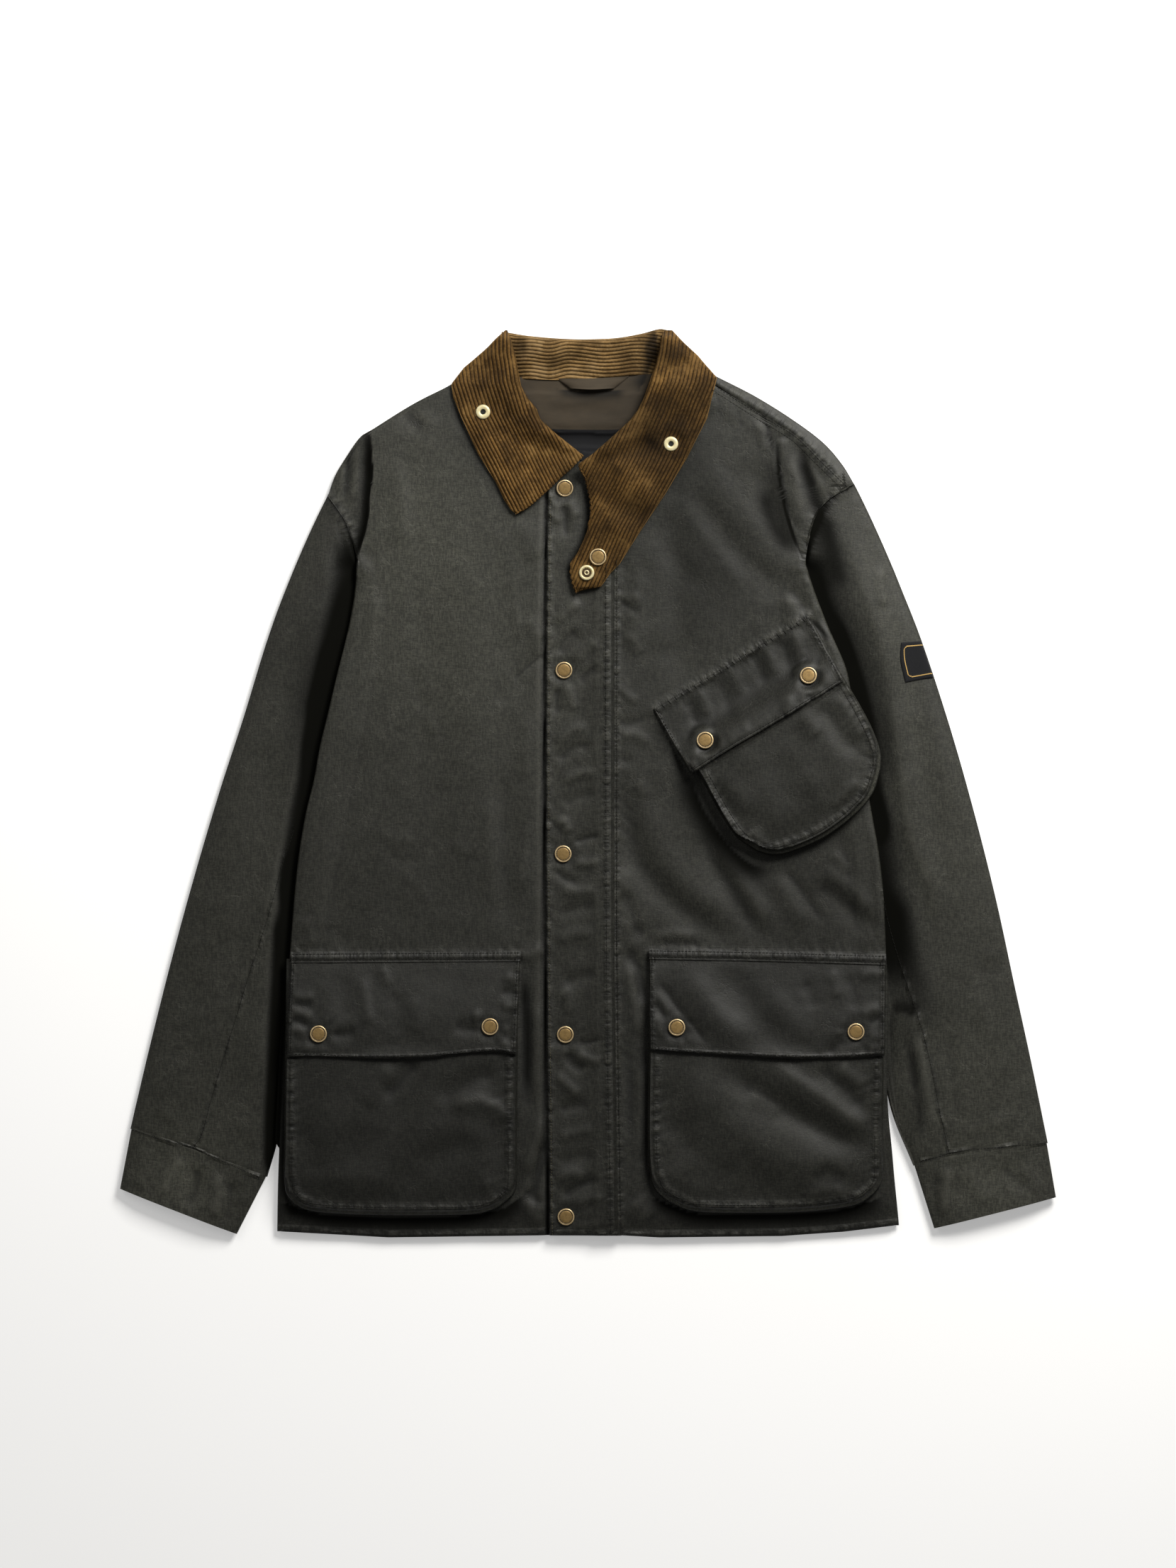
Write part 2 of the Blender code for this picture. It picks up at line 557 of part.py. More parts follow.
def under_front(x, y):
    beneath = ["back"]
    if y < SIDE_LEFT[0].y + 1:
        beneath += ["sleeve_left_upper", "sleeve_left_under", "sleeve_right_upper", "sleeve_right_under"]
    pieces = [bpy.data.objects[name] for name in beneath]
    return rest_on(pieces, x, y, 6.0, BODY_WALL + LAY_GAP) + loft(x, y)


def closure_step(x):
    return CLOSURE_STEP * smooth(62.0, 24.0, x)


def make_fronts():
    side = [0, 4, 9, 16, 28]
    closure = [0, 22]
    middle = 3
    columns = len(side) + middle + len(closure)

    def left(column, row):
        y = BODY_ROWS[-1 - row]
        x = across(outline_left(y) + SEAM_GAP / 2, at_y(NECK_LEFT, y), side, closure, middle)[column]
        return x, along_hem(x, y), under_front(x, y)

    def right(column, row):
        y = BODY_ROWS[-1 - row]
        edge = at_y(SHOULDER_SEAM, y) if y > SHOULDER_SEAM[-1].y else outline_right(y)
        corner, seam = SHOULDER_SEAM[-1], ARMHOLE_RIGHT[1]
        if corner.y >= y > seam.y:
            edge = mix(corner.x, seam.x, (corner.y - y) / (corner.y - seam.y))
        x = across(at_y(NECK_RIGHT, y), edge - SEAM_GAP / 2, closure, side, middle)[column]
        return x, along_hem(x, y), under_front(x, y) + closure_step(x)

    cloth("front_left", columns, len(BODY_ROWS), left, BODY_WALL, waxed)
    cloth("front_right", columns, len(BODY_ROWS), right, BODY_WALL, waxed)


def make_shoulder():
    rows, columns = 8, 3
    outline = [
        Point(119.5, 355.0), Point(161.0, 334.0), Point(191.0, 313.5), Point(215.0, 292.0),
        Point(233.5, 266.5),
    ]

    def place(column, row):
        share = row / (rows - 1)
        inner = blend_rows(SHOULDER_SEAM, share)
        outer = blend_rows(outline, share)
        away = Vector((outer.x - inner.x, outer.y - inner.y))
        start = Vector((inner.x, inner.y)) + away.normalized() * SEAM_GAP * 2
        end = Vector((outer.x, outer.y))
        spot = start.lerp(end, column / (columns - 1))
        return spot.x, spot.y, under_front(spot.x, spot.y)

    cloth("shoulder_right", columns, rows, place, BODY_WALL, waxed)


def make_placket():
    columns = 5
    beneath = [bpy.data.objects["front_left"]]

    def place(column, row):
        y = PLACKET_ROWS[-1 - row]
        x = mix(PLACKET_LEFT, PLACKET_RIGHT, column / (columns - 1))
        level = under_front(x, y) + BODY_WALL + LAY_GAP
        return x, along_hem(x, y), rest_on(beneath, x, y, 5.0, level)

    cloth("placket", columns, len(PLACKET_ROWS), place, FLAP_WALL, waxed)


# ---- pockets

def chest_point(along, down):
    """From the chest pocket's own axes to the body's."""
    x = CHEST_CORNER.x + along * math.cos(CHEST_TILT) + down * math.sin(CHEST_TILT)
    y = CHEST_CORNER.y + along * math.sin(CHEST_TILT) - down * math.cos(CHEST_TILT)
    return x, y


def straight_point(along, down):
    return along, down


def make_bag(name, table, to_body, front):
    """A bellows pocket: its gusset stands up round three sides, and its mouth is open."""
    margins = [0, BAG_WELT, 12]
    middle = 4
    columns = 2 * len(margins) + middle
    bottom = table[-1].down
    step = 1 if bottom > table[0].down else -1
    levels = [row.down for row in table[:-1]] + [bottom - step * BAG_WELT, bottom]
    rows = len(levels)

    def edge(down, side):
        for near, far in zip(table, table[1:]):
            if (down - near.down) * (down - far.down) <= 0:
                share = (down - near.down) / (far.down - near.down)
                return mix(getattr(near, side), getattr(far, side), share)
        return getattr(table[-1], side)

    def place(column, row):
        down = levels[-1 - row]
        left, right = edge(down, "left"), edge(down, "right")
        along = across(left, right, margins, margins, middle)[column]
        x, y = to_body(along, down)
        at_rim = column in (0, columns - 1) or row == 0
        lift = 0.0 if at_rim else BAG_LOFT
        fallback = under_front(x, y) + BODY_WALL + LAY_GAP
        return x, y, rest_on([front], x, y, 4.0, fallback) + lift

    return cloth(name, columns, rows, place, BAG_WALL, waxed)


def make_flap(name, to_body, top, bottom, bag, front):
    """A flap from its seam on the front, over the mouth of the bag."""
    margins = [0, 8, 20]
    middle = 4
    drops = [0.0, 0.10, 0.2, 0.45, 0.75, 1.0]

    def place(column, row):
        share = drops[-1 - row]
        down = mix(top.down, bottom.down, share)
        left, right = mix(top.left, bottom.left, share), mix(top.right, bottom.right, share)
        x, y = to_body(across(left, right, margins, margins, middle)[column], down)
        fallback = under_front(x, y) + BODY_WALL + LAY_GAP
        return x, y, rest_on([bag, front], x, y, 9.0, fallback)

    return cloth(name, 2 * len(margins) + middle, len(drops), place, FLAP_WALL, waxed)


def make_band(name, top, flap):
    columns = 9

    def place(column, row):
        y = top.down - (1 - row) * BAND_DROP
        x = mix(top.left, top.right, column / (columns - 1))
        return x, y, rest_on([flap], x, y, 3.0)

    cloth(name, columns, 2, place, TRIM_WALL, waxed)


def make_pockets():
    front_left = bpy.data.objects["front_left"]
    front_right = bpy.data.objects["front_right"]
    left_bag = make_bag("bag_lower_left", LOWER_LEFT_BAG, straight_point, front_left)
    right_bag = make_bag("bag_lower_right", LOWER_RIGHT_BAG, straight_point, front_right)
    chest_bag = make_bag("bag_chest", CHEST_BAG, chest_point, front_right)
    left_flap = make_flap("flap_lower_left", straight_point, *LOWER_LEFT_FLAP, left_bag, front_left)
    right_flap = make_flap("flap_lower_right", straight_point, *LOWER_RIGHT_FLAP, right_bag, front_right)
    chest_top = BagRow(0.0, 0.0, CHEST_FLAP_WIDTH)
    chest_bottom = BagRow(CHEST_FLAP_DROP, -2.0, CHEST_FLAP_WIDTH - 4)
    make_flap("flap_chest", chest_point, chest_top, chest_bottom, chest_bag, front_right)
    make_band("band_lower_left", LOWER_LEFT_FLAP[0], left_flap)
    make_band("band_lower_right", LOWER_RIGHT_FLAP[0], right_flap)


# ---- neck and collar

def table_sheet(name, table, columns, beneath, wall, finish, rise=0.0):
    """A flat trim from a table of rows, laid on what is beneath it."""
    def place(column, row):
        line = table[-1 - row]
        x = mix(line.left, line.right, column / (columns - 1))
        hump = rise * math.sin(math.pi * column / (columns - 1))
        return x, line.down, rest_on(beneath, x, line.down, 2.5) + hump

    return cloth(name, columns, len(table), place, wall, finish)


def make_neck():
    back = bpy.data.objects["back"]
    fall = bpy.data.objects["collar_fall_back"]
    facing = table_sheet("neck_facing", FACING_ROWS, 9, [back, fall], TRIM_WALL, lining)
    table_sheet("label", LABEL_ROWS, 4, [facing], TRIM_WALL, black)
    table_sheet("hanger_loop", LOOP_ROWS, 6, [facing], TRIM_WALL, lining, 0.8)


def make_stand():
    """Inside of the collar at the back: from the neck seam up to the fold over the fall."""
    columns, rows = 9, 6

    def place(column, row):
        x = mix(STAND_SPANS[0].x, STAND_SPANS[-1].x, column / (columns - 1))
        top, bottom = span_at(STAND_SPANS, x)
        share = row / (rows - 1)
        height = mix(STAND_FOOT, STAND_HEAD, smooth(0, 0.7, share)) - STAND_ROLL * smooth(0.78, 1.0, share)
        return x, mix(bottom + 1.2, top, share), height

    cloth("collar_stand", columns, rows, place, COLLAR_WALL, corduroy)


def make_leaf(name, table, rows, beneath):
    """A leaf of the collar: flat on the front at its outer edge, rolled over at its inner one."""
    turn = [0.25, 0.5, 0.75, 1.0]
    flats = 6
    columns = flats + len(turn)
    inner_radius = ROLL_RADIUS - COLLAR_WALL

    def place(column, row):
        leaf = blend_rows(table, 1 - row / (rows - 1))
        outer = Vector((leaf.outer_x, leaf.outer_y))
        inner = Vector((leaf.inner_x, leaf.inner_y))
        width = (inner - outer).length
        direction = (inner - outer) / width
        radius = min(inner_radius, width * 0.2)
        share = min(column / (flats - 1), 1.0)
        spot = outer + direction * ((width - ROLL_RADIUS if width > 20 else width * 0.7) * share)
        settle = smooth(398.0, 345.0, spot.y)
        ground = rest_on(beneath, spot.x, spot.y, 8.0, mix(FALL_WALL + LAY_GAP, 0.0, settle))
        curl = smooth(0.9, 1.6, leaf.stand_up)
        lift = leaf.stand_up * smooth(0.15, 1.0, share)
        lift += curl * (2 * radius + COLLAR_WALL) * smooth(0.55, 1.0, share)
        if column < flats:
            return spot.x, spot.y, ground + lift
        step = turn[column - flats]
        angle = math.pi * step * curl
        spot = spot + direction * (radius * math.sin(angle) + ROLL_RADIUS * step * (1 - curl))
        return spot.x, spot.y, ground + lift - radius * (1 - math.cos(angle))

    return cloth(name, columns, rows, place, COLLAR_WALL, corduroy, "curled")


def make_collar():
    make_stand()
    names = ["front_left", "front_right", "placket", "shoulder_right", "collar_fall_back", "back",
             "neck_facing", "label", "collar_stand"]
    beneath = [bpy.data.objects[name] for name in names]
    left = make_leaf("collar_leaf_left", LEAF_LEFT, 12, beneath)
    make_leaf("collar_leaf_right", LEAF_RIGHT, 17, beneath + [left])


# ---- snaps, eyelets and badge

def turned(name, profile, spot, finish):
    """A turned metal piece, seated square on the cloth under it."""
    cloth_piece = bpy.data.objects[spot.on]
    outline = bpy.data.meshes.new(name)
    corners = [(radius * MM, 0.0, height * MM) for radius, height in profile]
    outline.from_pydata(corners, [(i, i + 1) for i in range(len(corners) - 1)], [])
    piece = bpy.data.objects.new(name, outline)
    jacket.objects.link(piece)
    turn = piece.modifiers.new("turn", "SCREW")
    turn.steps = turn.render_steps = TURN_STEPS
    turn.use_merge_vertices = True
    turn.merge_threshold = 0.00001
    reach = 6.0
    heights = {}
    for dx, dy in ((reach, 0), (-reach, 0), (0, reach), (0, -reach), (0, 0)):
        heights[dx, dy] = top_of(cloth_piece, spot.x + dx, spot.y + dy)
    slope_x = (heights[reach, 0] - heights[-reach, 0]) / (2 * reach)
    slope_y = (heights[0, reach] - heights[0, -reach]) / (2 * reach)
    normal = Vector((-slope_x, -slope_y, 1.0)).normalized()
    highest = 0.0
    for (dx, dy), height in heights.items():
        highest = max(highest, height - heights[0, 0] - slope_x * dx - slope_y * dy)
    piece.location = (Vector((spot.x, spot.y, heights[0, 0] + highest)) + normal * SEAM_GAP) * MM
    piece.rotation_euler = normal.to_track_quat("Z", "Y").to_euler()
    piece.data.materials.append(finish)
    return piece


def make_metal():
    for spot in SNAPS:
        turned(f"snap_{spot.name}", CAP_PROFILE, spot, brass)
    turned(SOCKET.name, SOCKET_PROFILE, SOCKET, pale_brass)
    for spot in EYELETS:
        turned(spot.name, EYELET_PROFILE, spot, pale_brass)


def make_badge():
    """A badge sewn on the right sleeve, folded over its outer edge with it."""
    outer, inner, _ = right_sleeve.section(BADGE_AT)
    width = (inner - outer).length
    length = 640.0
    rows = 4
    off = LAY_GAP + TRIM_WALL
    path = [("front", s) for s in run(3, BADGE_FACE / width, 0.0)] + [("outer", a) for a in (0.25, 0.5)]

    def place(column, row):
        along = BADGE_AT + (row / (rows - 1) - 0.5) * BADGE_TALL / length
        side, share = path[column]
        x, y, z = right_sleeve.ring(along, side, share)
        if side == "front":
            return x, y, z + off
        out = right_sleeve.flat(along, 0.0)[1] * off * math.sin(math.pi * share)
        return x - out.x, y - out.y, z + off * math.cos(math.pi * share)

    cloth("sleeve_badge", len(path), rows, place, TRIM_WALL, black, "outside")


# ---- the whole jacket

for old in list(bpy.data.objects):
    bpy.data.objects.remove(old)

jacket = bpy.data.collections.new("waxed_cotton_jacket")
bpy.context.scene.collection.children.link(jacket)
trees = {}

waxed = material("waxed_cotton", (0.036, 0.037, 0.034), 0.5)
corduroy = material("corduroy", (0.13, 0.075, 0.028), 0.9)
lining = material("neck_lining", (0.06, 0.05, 0.04), 0.8)
black = material("black_trim", (0.012, 0.013, 0.016), 0.8)
brass = material("brass", (0.50, 0.36, 0.16), 0.35, 1.0)
pale_brass = material("pale_brass", (0.75, 0.66, 0.42), 0.3, 1.0)

left_sleeve = Sleeve("left", SLEEVE_LEFT, ARMHOLE_LEFT, CUFF_LEFT_HEM)
right_sleeve = Sleeve("right", SLEEVE_RIGHT, ARMHOLE_RIGHT, CUFF_RIGHT_HEM)

make_fall()
make_sleeve(left_sleeve)
make_sleeve(right_sleeve)
make_back()
make_neck()
make_fronts()
make_shoulder()
make_placket()
make_pockets()
make_collar()
make_metal()
make_badge()
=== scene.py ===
import math

import bpy
import numpy as np
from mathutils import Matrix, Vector


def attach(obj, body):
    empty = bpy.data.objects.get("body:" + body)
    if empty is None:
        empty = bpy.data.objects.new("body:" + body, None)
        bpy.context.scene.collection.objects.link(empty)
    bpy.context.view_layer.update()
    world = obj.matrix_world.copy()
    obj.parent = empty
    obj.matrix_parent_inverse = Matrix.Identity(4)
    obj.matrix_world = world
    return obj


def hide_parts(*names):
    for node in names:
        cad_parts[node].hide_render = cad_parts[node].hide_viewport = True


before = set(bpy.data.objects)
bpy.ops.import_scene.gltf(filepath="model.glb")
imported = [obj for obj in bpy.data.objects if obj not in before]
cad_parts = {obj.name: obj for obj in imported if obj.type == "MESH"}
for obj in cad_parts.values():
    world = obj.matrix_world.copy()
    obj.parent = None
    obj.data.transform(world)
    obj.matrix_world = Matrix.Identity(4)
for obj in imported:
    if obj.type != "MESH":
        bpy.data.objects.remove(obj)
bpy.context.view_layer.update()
mm = 0.001

# All tables are in millimetres. +X runs across the jacket, +Y from hem to collar.
# ground holds the top of everything laid so far, one cell a millimetre.
ground = {"left": -440.0, "bottom": -430.0, "height": np.zeros((861, 881))}
metalSpots = {
    "placket": [(-20.6, 260.9), (-21.2, 100.3), (-21.9, -61.6), (-20, -220.9), (-19.4, -381.6)],
    "chest": [(103.1, 38.4), (193.8, 95.3)], "lowerLeft": [(-236.9, -219.7), (-86.2, -213.4)],
    "lowerRight": [(78.1, -214.1), (235.6, -217.8)], "tab": [(8.8, 199.7)], "socket": [(-1.2, 185.9)],
    "eyelets": [(-92.5, 327.8), (73.1, 299.7)],
}


def ease(low, high, value):
    share = np.clip((np.asarray(value, dtype=float) - low) / (high - low), 0, 1)
    return share * share * (3 - 2 * share)


def mix(a, b, share):
    return a + (b - a) * share


def curve(points, steps=6):  # a smooth line through points of any width
    p = np.array(points, dtype=float)
    p = np.vstack([2 * p[0] - p[1], p, 2 * p[-1] - p[-2]])
    t = np.linspace(0, 1, steps, endpoint=False)[:, None]
    runs = []
    for a, b, c, d in zip(p, p[1:], p[2:], p[3:]):
        runs.append(0.5 * (2 * b + (c - a) * t + (2 * a - 5 * b + 4 * c - d) * t ** 2
                           + (3 * b - a - 3 * c + d) * t ** 3))
    return np.vstack(runs + [p[-2:-1]])


def edgeAt(points, y, steps=6):  # x at heights y, on a line that only runs down
    line = curve(points, steps)
    order = np.argsort(line[:, 1], kind="stable")
    return np.interp(y, line[order, 1], line[order, 0])


def alongLine(points, shares, steps=6):  # points at shares of a line's length
    line = curve(points, steps)
    lengths = np.concatenate([[0], np.cumsum(np.hypot(*np.diff(line, axis=0).T))])
    wanted = np.asarray(shares) * lengths[-1]
    return np.interp(wanted, lengths, line[:, 0]), np.interp(wanted, lengths, line[:, 1])


def toLine(line, x, y):  # distance, positive to the left of the line, place along it, and its length
    best = np.full(x.shape, 1e9)
    side = np.ones(x.shape)
    place = np.zeros(x.shape)
    run = 0.0
    for (x0, y0), (x1, y1) in zip(line, line[1:]):
        length = math.hypot(x1 - x0, y1 - y0)
        if length < 1e-6:
            continue
        share = np.clip(((x - x0) * (x1 - x0) + (y - y0) * (y1 - y0)) / length ** 2, 0, 1)
        dx, dy = x - x0 - share * (x1 - x0), y - y0 - share * (y1 - y0)
        distance = np.hypot(dx, dy)
        closer = distance < best
        best = np.where(closer, distance, best)
        side = np.where(closer, np.where((x1 - x0) * dy - (y1 - y0) * dx >= 0, 1, -1), side)
        place = np.where(closer, run + share * length, place)
        run += length
    return best * side, place, run


def nearLine(line, reach, x, y):
    return ((x > line[:, 0].min() - reach) & (x < line[:, 0].max() + reach)
            & (y > line[:, 1].min() - reach) & (y < line[:, 1].max() + reach))


# A crease is rise, width to the left of its line, width to the right, points, and a style.
# Points are pairs, or x and y in turn.
# Lines run downwards or to the right, so left is the upper or the +X side.
def creaseSum(creases, x, y):
    total = np.zeros(x.shape)
    for rise, leftWidth, rightWidth, points, *style in creases:
        line = curve(np.reshape(points, (-1, 2)), 4)
        near = nearLine(line, 40.0 if "ledge" in style else 3.2 * max(leftWidth, rightWidth), x, y)
        if not near.any():
            continue
        distance, place, length = toLine(line, x[near], y[near])
        off = np.abs(distance) / np.where(distance > 0, leftWidth, rightWidth)
        share = place / length
        style = style[0] if style else "soft"
        fade = ease(0, 0.25, share) * ease(1, 0.75, share)
        if style == "soft":
            shape = np.exp(-off * off)
        elif style == "flat":
            shape = np.exp(-off ** 4)
            fade = ease(0, 0.12, share) * ease(1, 0.88, share)
        elif style == "sharp":
            shape = np.exp(-off)
        elif style == "ledge":  # drops on the right and stays low
            shape = ease(leftWidth, -rightWidth, distance) * ease(0, 0.35, share)
            fade = 1.0
        else:  # a seam, the same all along
            shape = np.exp(-off * off)
            fade = 1.0
        total[near] += rise * fade * shape
    return total


def unevenWave(place, pitch, seed):
    rng = np.random.default_rng(seed)
    count = 2048
    knots = rng.uniform(0.25, 1.0, count) * np.where(np.arange(count) % 2, 1, -1)
    jitter = np.cumsum(rng.uniform(0.6, 1.4, count)) * pitch / 2
    at = np.searchsorted(jitter, place + 5 * pitch) % (count - 1)
    start = jitter[at - 1]
    share = ease(0, 1, (place + 5 * pitch - start) / (jitter[at] - start))
    return mix(knots[at - 1], knots[at], share)


# A pucker is depth, pitch, reach to the left, reach to the right, slant, seed and points.
def puckerSum(puckers, x, y):
    total = np.zeros(x.shape)
    for depth, pitch, leftReach, rightReach, slant, seed, points in puckers:
        line = curve(np.reshape(points, (-1, 2)), 4)
        near = nearLine(line, 3.5 * max(leftReach, rightReach), x, y)
        if not near.any():
            continue
        distance, place, length = toLine(line, x[near], y[near])
        reach = np.where(distance > 0, leftReach, rightReach) + 1e-6
        uneven = 0.7 + 0.5 * unevenWave(place, 9 * pitch, seed + 50)
        wave = unevenWave(place + slant * distance, pitch, seed) * uneven
        total[near] += depth * wave * np.exp(-np.abs(distance) / reach)
    return total


def drift(x, y, size, seed, stretch=1.0, turn=0.4):  # soft unevenness from about -1 to 1
    table = np.random.default_rng(seed).uniform(-1, 1, (97, 97))
    total = np.zeros(x.shape)
    for step in range(3):
        angle = turn * (1 - step)
        u = (x * math.cos(angle) + y * math.sin(angle)) / size + 31.3 + 7 * step
        v = (y * math.cos(angle) - x * math.sin(angle)) / (size * stretch) + 37.7 + 5 * step
        i, j = np.floor(u).astype(int), np.floor(v).astype(int)
        a, b = ease(0, 1, u - i), ease(0, 1, v - j)
        i0, i1, j0, j1 = i % 97, (i + 1) % 97, j % 97, (j + 1) % 97
        low, high = mix(table[j0, i0], table[j0, i1], a), mix(table[j1, i0], table[j1, i1], a)
        total += mix(low, high, b) * (0.6 if step else 1.0)
        size *= 0.72
    return total / 1.6


def sampleGround(height, x, y):
    u = np.clip(x - ground["left"], 0, height.shape[1] - 1.001)
    v = np.clip(y - ground["bottom"], 0, height.shape[0] - 1.001)
    i, j = u.astype(int), v.astype(int)
    a, b = u - i, v - j
    low = mix(height[j, i], height[j, i + 1], a)
    high = mix(height[j + 1, i], height[j + 1, i + 1], a)
    return mix(low, high, b)


def soften(height, radius):
    size = 2 * radius + 1
    for axis in (0, 1, 0, 1, 0, 1):
        edge = [(radius + 1, radius) if axis == side else (0, 0) for side in (0, 1)]
        sums = np.cumsum(np.pad(height, edge, mode="edge"), axis=axis)
        height = (sums[size:] - sums[:-size] if axis == 0 else sums[:, size:] - sums[:, :-size]) / size
    return height


def swell(height, reach):
    for axis in (0, 1):
        best = height.copy()
        for step in range(1, reach + 1):
            best = np.maximum(best, np.roll(height, step, axis))
            best = np.maximum(best, np.roll(height, -step, axis))
        height = best
    return height


def drape(stiff, reach=None):  # a soft cloth's underside over everything laid so far
    height = ground["height"]
    over = soften(swell(height, stiff if reach is None else reach), stiff)
    return np.maximum(over, swell(height, 1))


def denser(values):
    values = np.repeat(values, 2, axis=0)[:-1]
    values[1::2] = (values[0:-1:2] + values[2::2]) / 2
    values = np.repeat(values, 2, axis=1)[:, :-1]
    values[:, 1::2] = (values[:, 0:-1:2] + values[:, 2::2]) / 2
    return values


def layDown(x, y, z, reach=1):  # the next pieces lie on this one
    x, y, z = denser(x), denser(y), denser(z)
    rows, columns = ground["height"].shape
    i = np.rint(x - ground["left"]).astype(int).clip(0, columns - 1)
    j = np.rint(y - ground["bottom"]).astype(int).clip(0, rows - 1)
    fresh = np.full((rows, columns), -1.0)
    np.maximum.at(fresh, (j, i), z)
    ground["height"] = np.maximum(ground["height"], swell(fresh, reach))


def rubAndDipShadeMark(z, passes=3):  # positive where the cloth stands out, for paler rubbed wax; negative where it dips, for painted shade
    mean = z
    for step in range(passes):
        ring = np.pad(mean, 1, mode="edge")
        mean = (ring[:-2, 1:-1] + ring[2:, 1:-1] + ring[1:-1, :-2] + ring[1:-1, 2:] + 2 * mean) / 6
    return np.clip((z - mean) * 3.2, -1, 1)


def graded(length, margins, step):  # shares of a length: close at both ends and even between
    margins = np.array(margins, dtype=float)
    count = max(int((length - 2 * margins[-1]) / step), 1)
    middle = np.linspace(margins[-1], length - margins[-1], count + 1)[1:-1]
    return np.concatenate([margins, middle, length - margins[::-1]]) / length


def patch(bottom, right, top, left, us, vs):  # a grid inside four lines
    bx, by = alongLine(bottom, us)
    tx, ty = alongLine(top, us)
    lx, ly = alongLine(left, vs)
    rx, ry = alongLine(right, vs)
    u, v = us[None, :], vs[:, None]
    grids = []
    for b, t, l, r in ((bx, tx, lx, rx), (by, ty, ly, ry)):
        corners = (1 - u) * (1 - v) * b[0] + u * (1 - v) * b[-1] + (1 - u) * v * t[0] + u * v * t[-1]
        grids.append((1 - v) * b[None, :] + v * t[None, :] + (1 - u) * l[:, None] + u * r[:, None] - corners)
    return grids


def joinRoll(grids, rolls, before):  # a rolled edge joins its piece on one side
    if before:
        return [np.hstack([roll[:, :0:-1], grid]) for grid, roll in zip(grids, rolls)]
    return [np.hstack([grid, roll[:, 1:]]) for grid, roll in zip(grids, rolls)]


def seatSnaps(spots, x, y, z, seed, pull=0.8, spokes=0.5):
    for index, (sx, sy) in enumerate(spots):
        away = np.hypot(x - sx, y - sy)
        inner = away < 8
        if not inner.any():
            continue
        angle = np.arctan2(y - sy, x - sx)
        rays = unevenWave(angle * 14 + 60, 11.0, seed + index)
        z = z + spokes * rays * np.exp(-np.maximum(away - 8, 0) / 8) * ease(6, 10, away)
        level = z[inner].mean() - pull
        z = z + (level - z) * ease(15, 7.5, away)
    return z


class Wire:  # a node's socket that takes part in sums
    tree = None

    def __init__(self, socket):
        self.socket = socket

    @classmethod
    def node(cls, kind, settings=None, sockets=None, output=0):
        made = cls.tree.nodes.new(kind)
        for key, value in (settings or {}).items():
            if key == "stops":
                for index, (place, colour) in enumerate(value):
                    stops = made.color_ramp.elements
                    stop = stops[index] if index < 2 else stops.new(place)
                    stop.position, stop.color = place, colour
            else:
                setattr(made, key, value)
        for key, value in (sockets or {}).items():
            if isinstance(value, Wire):
                cls.tree.links.new(value.socket, made.inputs[key])
            else:
                made.inputs[key].default_value = value
        return Wire(made.outputs[output])

    def sum(self, operation, first, second):
        return Wire.node("ShaderNodeMath", {"operation": operation}, {0: first, 1: second})

    def __add__(self, other):
        return self.sum("ADD", self, other)

    __radd__ = __add__

    def __sub__(self, other):
        return self.sum("SUBTRACT", self, other)

    def __rsub__(self, other):
        return self.sum("SUBTRACT", other, self)

    def __mul__(self, other):
        return self.sum("MULTIPLY", self, other)

    __rmul__ = __mul__

    def __pow__(self, other):
        return self.sum("POWER", self, other)

    def __abs__(self):
        return Wire.node("ShaderNodeMath", {"operation": "ABSOLUTE"}, {0: self})


def startMaterial(name, constants):
    made = bpy.data.materials.new(name)
    made.use_nodes = True
    Wire.tree = made.node_tree
    shader = made.node_tree.nodes["Principled BSDF"]
    for key, value in constants.items():
        shader.inputs[key].default_value = value
    return made, shader


def feed(shader, socket, wire):
    Wire.tree.links.new(wire.socket, shader.inputs[socket])


def objectPlace(scale=(1, 1, 1), turn=0.0):
    place = Wire.node("ShaderNodeTexCoord", output="Object")
    return Wire.node("ShaderNodeMapping", {}, {"Vector": place, "Scale": scale, "Rotation": (0, 0, turn)})


def noise(place, scale, detail=3.0, roughness=0.55):
    return Wire.node("ShaderNodeTexNoise", {}, {"Vector": place, "Scale": scale, "Detail": detail,
                                                "Roughness": roughness})


def mark(name):
    return Wire.node("ShaderNodeAttribute", {"attribute_name": name}, output="Fac")


def between(low, high, value):  # 0 at low, 1 at high
    return Wire.node("ShaderNodeMapRange", {"interpolation_type": "SMOOTHSTEP"},
                     {"Value": value, "From Min": low, "From Max": high})


def blend(factor, first, second, kind="MIX"):
    colours = {}
    for key, value in ((6, first), (7, second)):
        colours[key] = value if isinstance(value, Wire) else (*value, 1.0)
    return Wire.node("ShaderNodeMix", {"data_type": "RGBA", "blend_type": kind},
                     {0: factor, **colours}, output=2)


def scaled(colour, share):
    return tuple(value * share for value in colour)


def bump(height, strength, distance):
    return Wire.node("ShaderNodeBump", {}, {"Strength": strength, "Distance": distance, "Height": height})


waxedLook = {
    "dark": (0.0066, 0.0067, 0.0048),
    "cloth": (0.0190, 0.0191, 0.0146),
    "wornAndHighlight": (0.058, 0.057, 0.046),
    "roughness": 0.58,
    "specular": 0.37,
    "hemShade": 0.60,
}


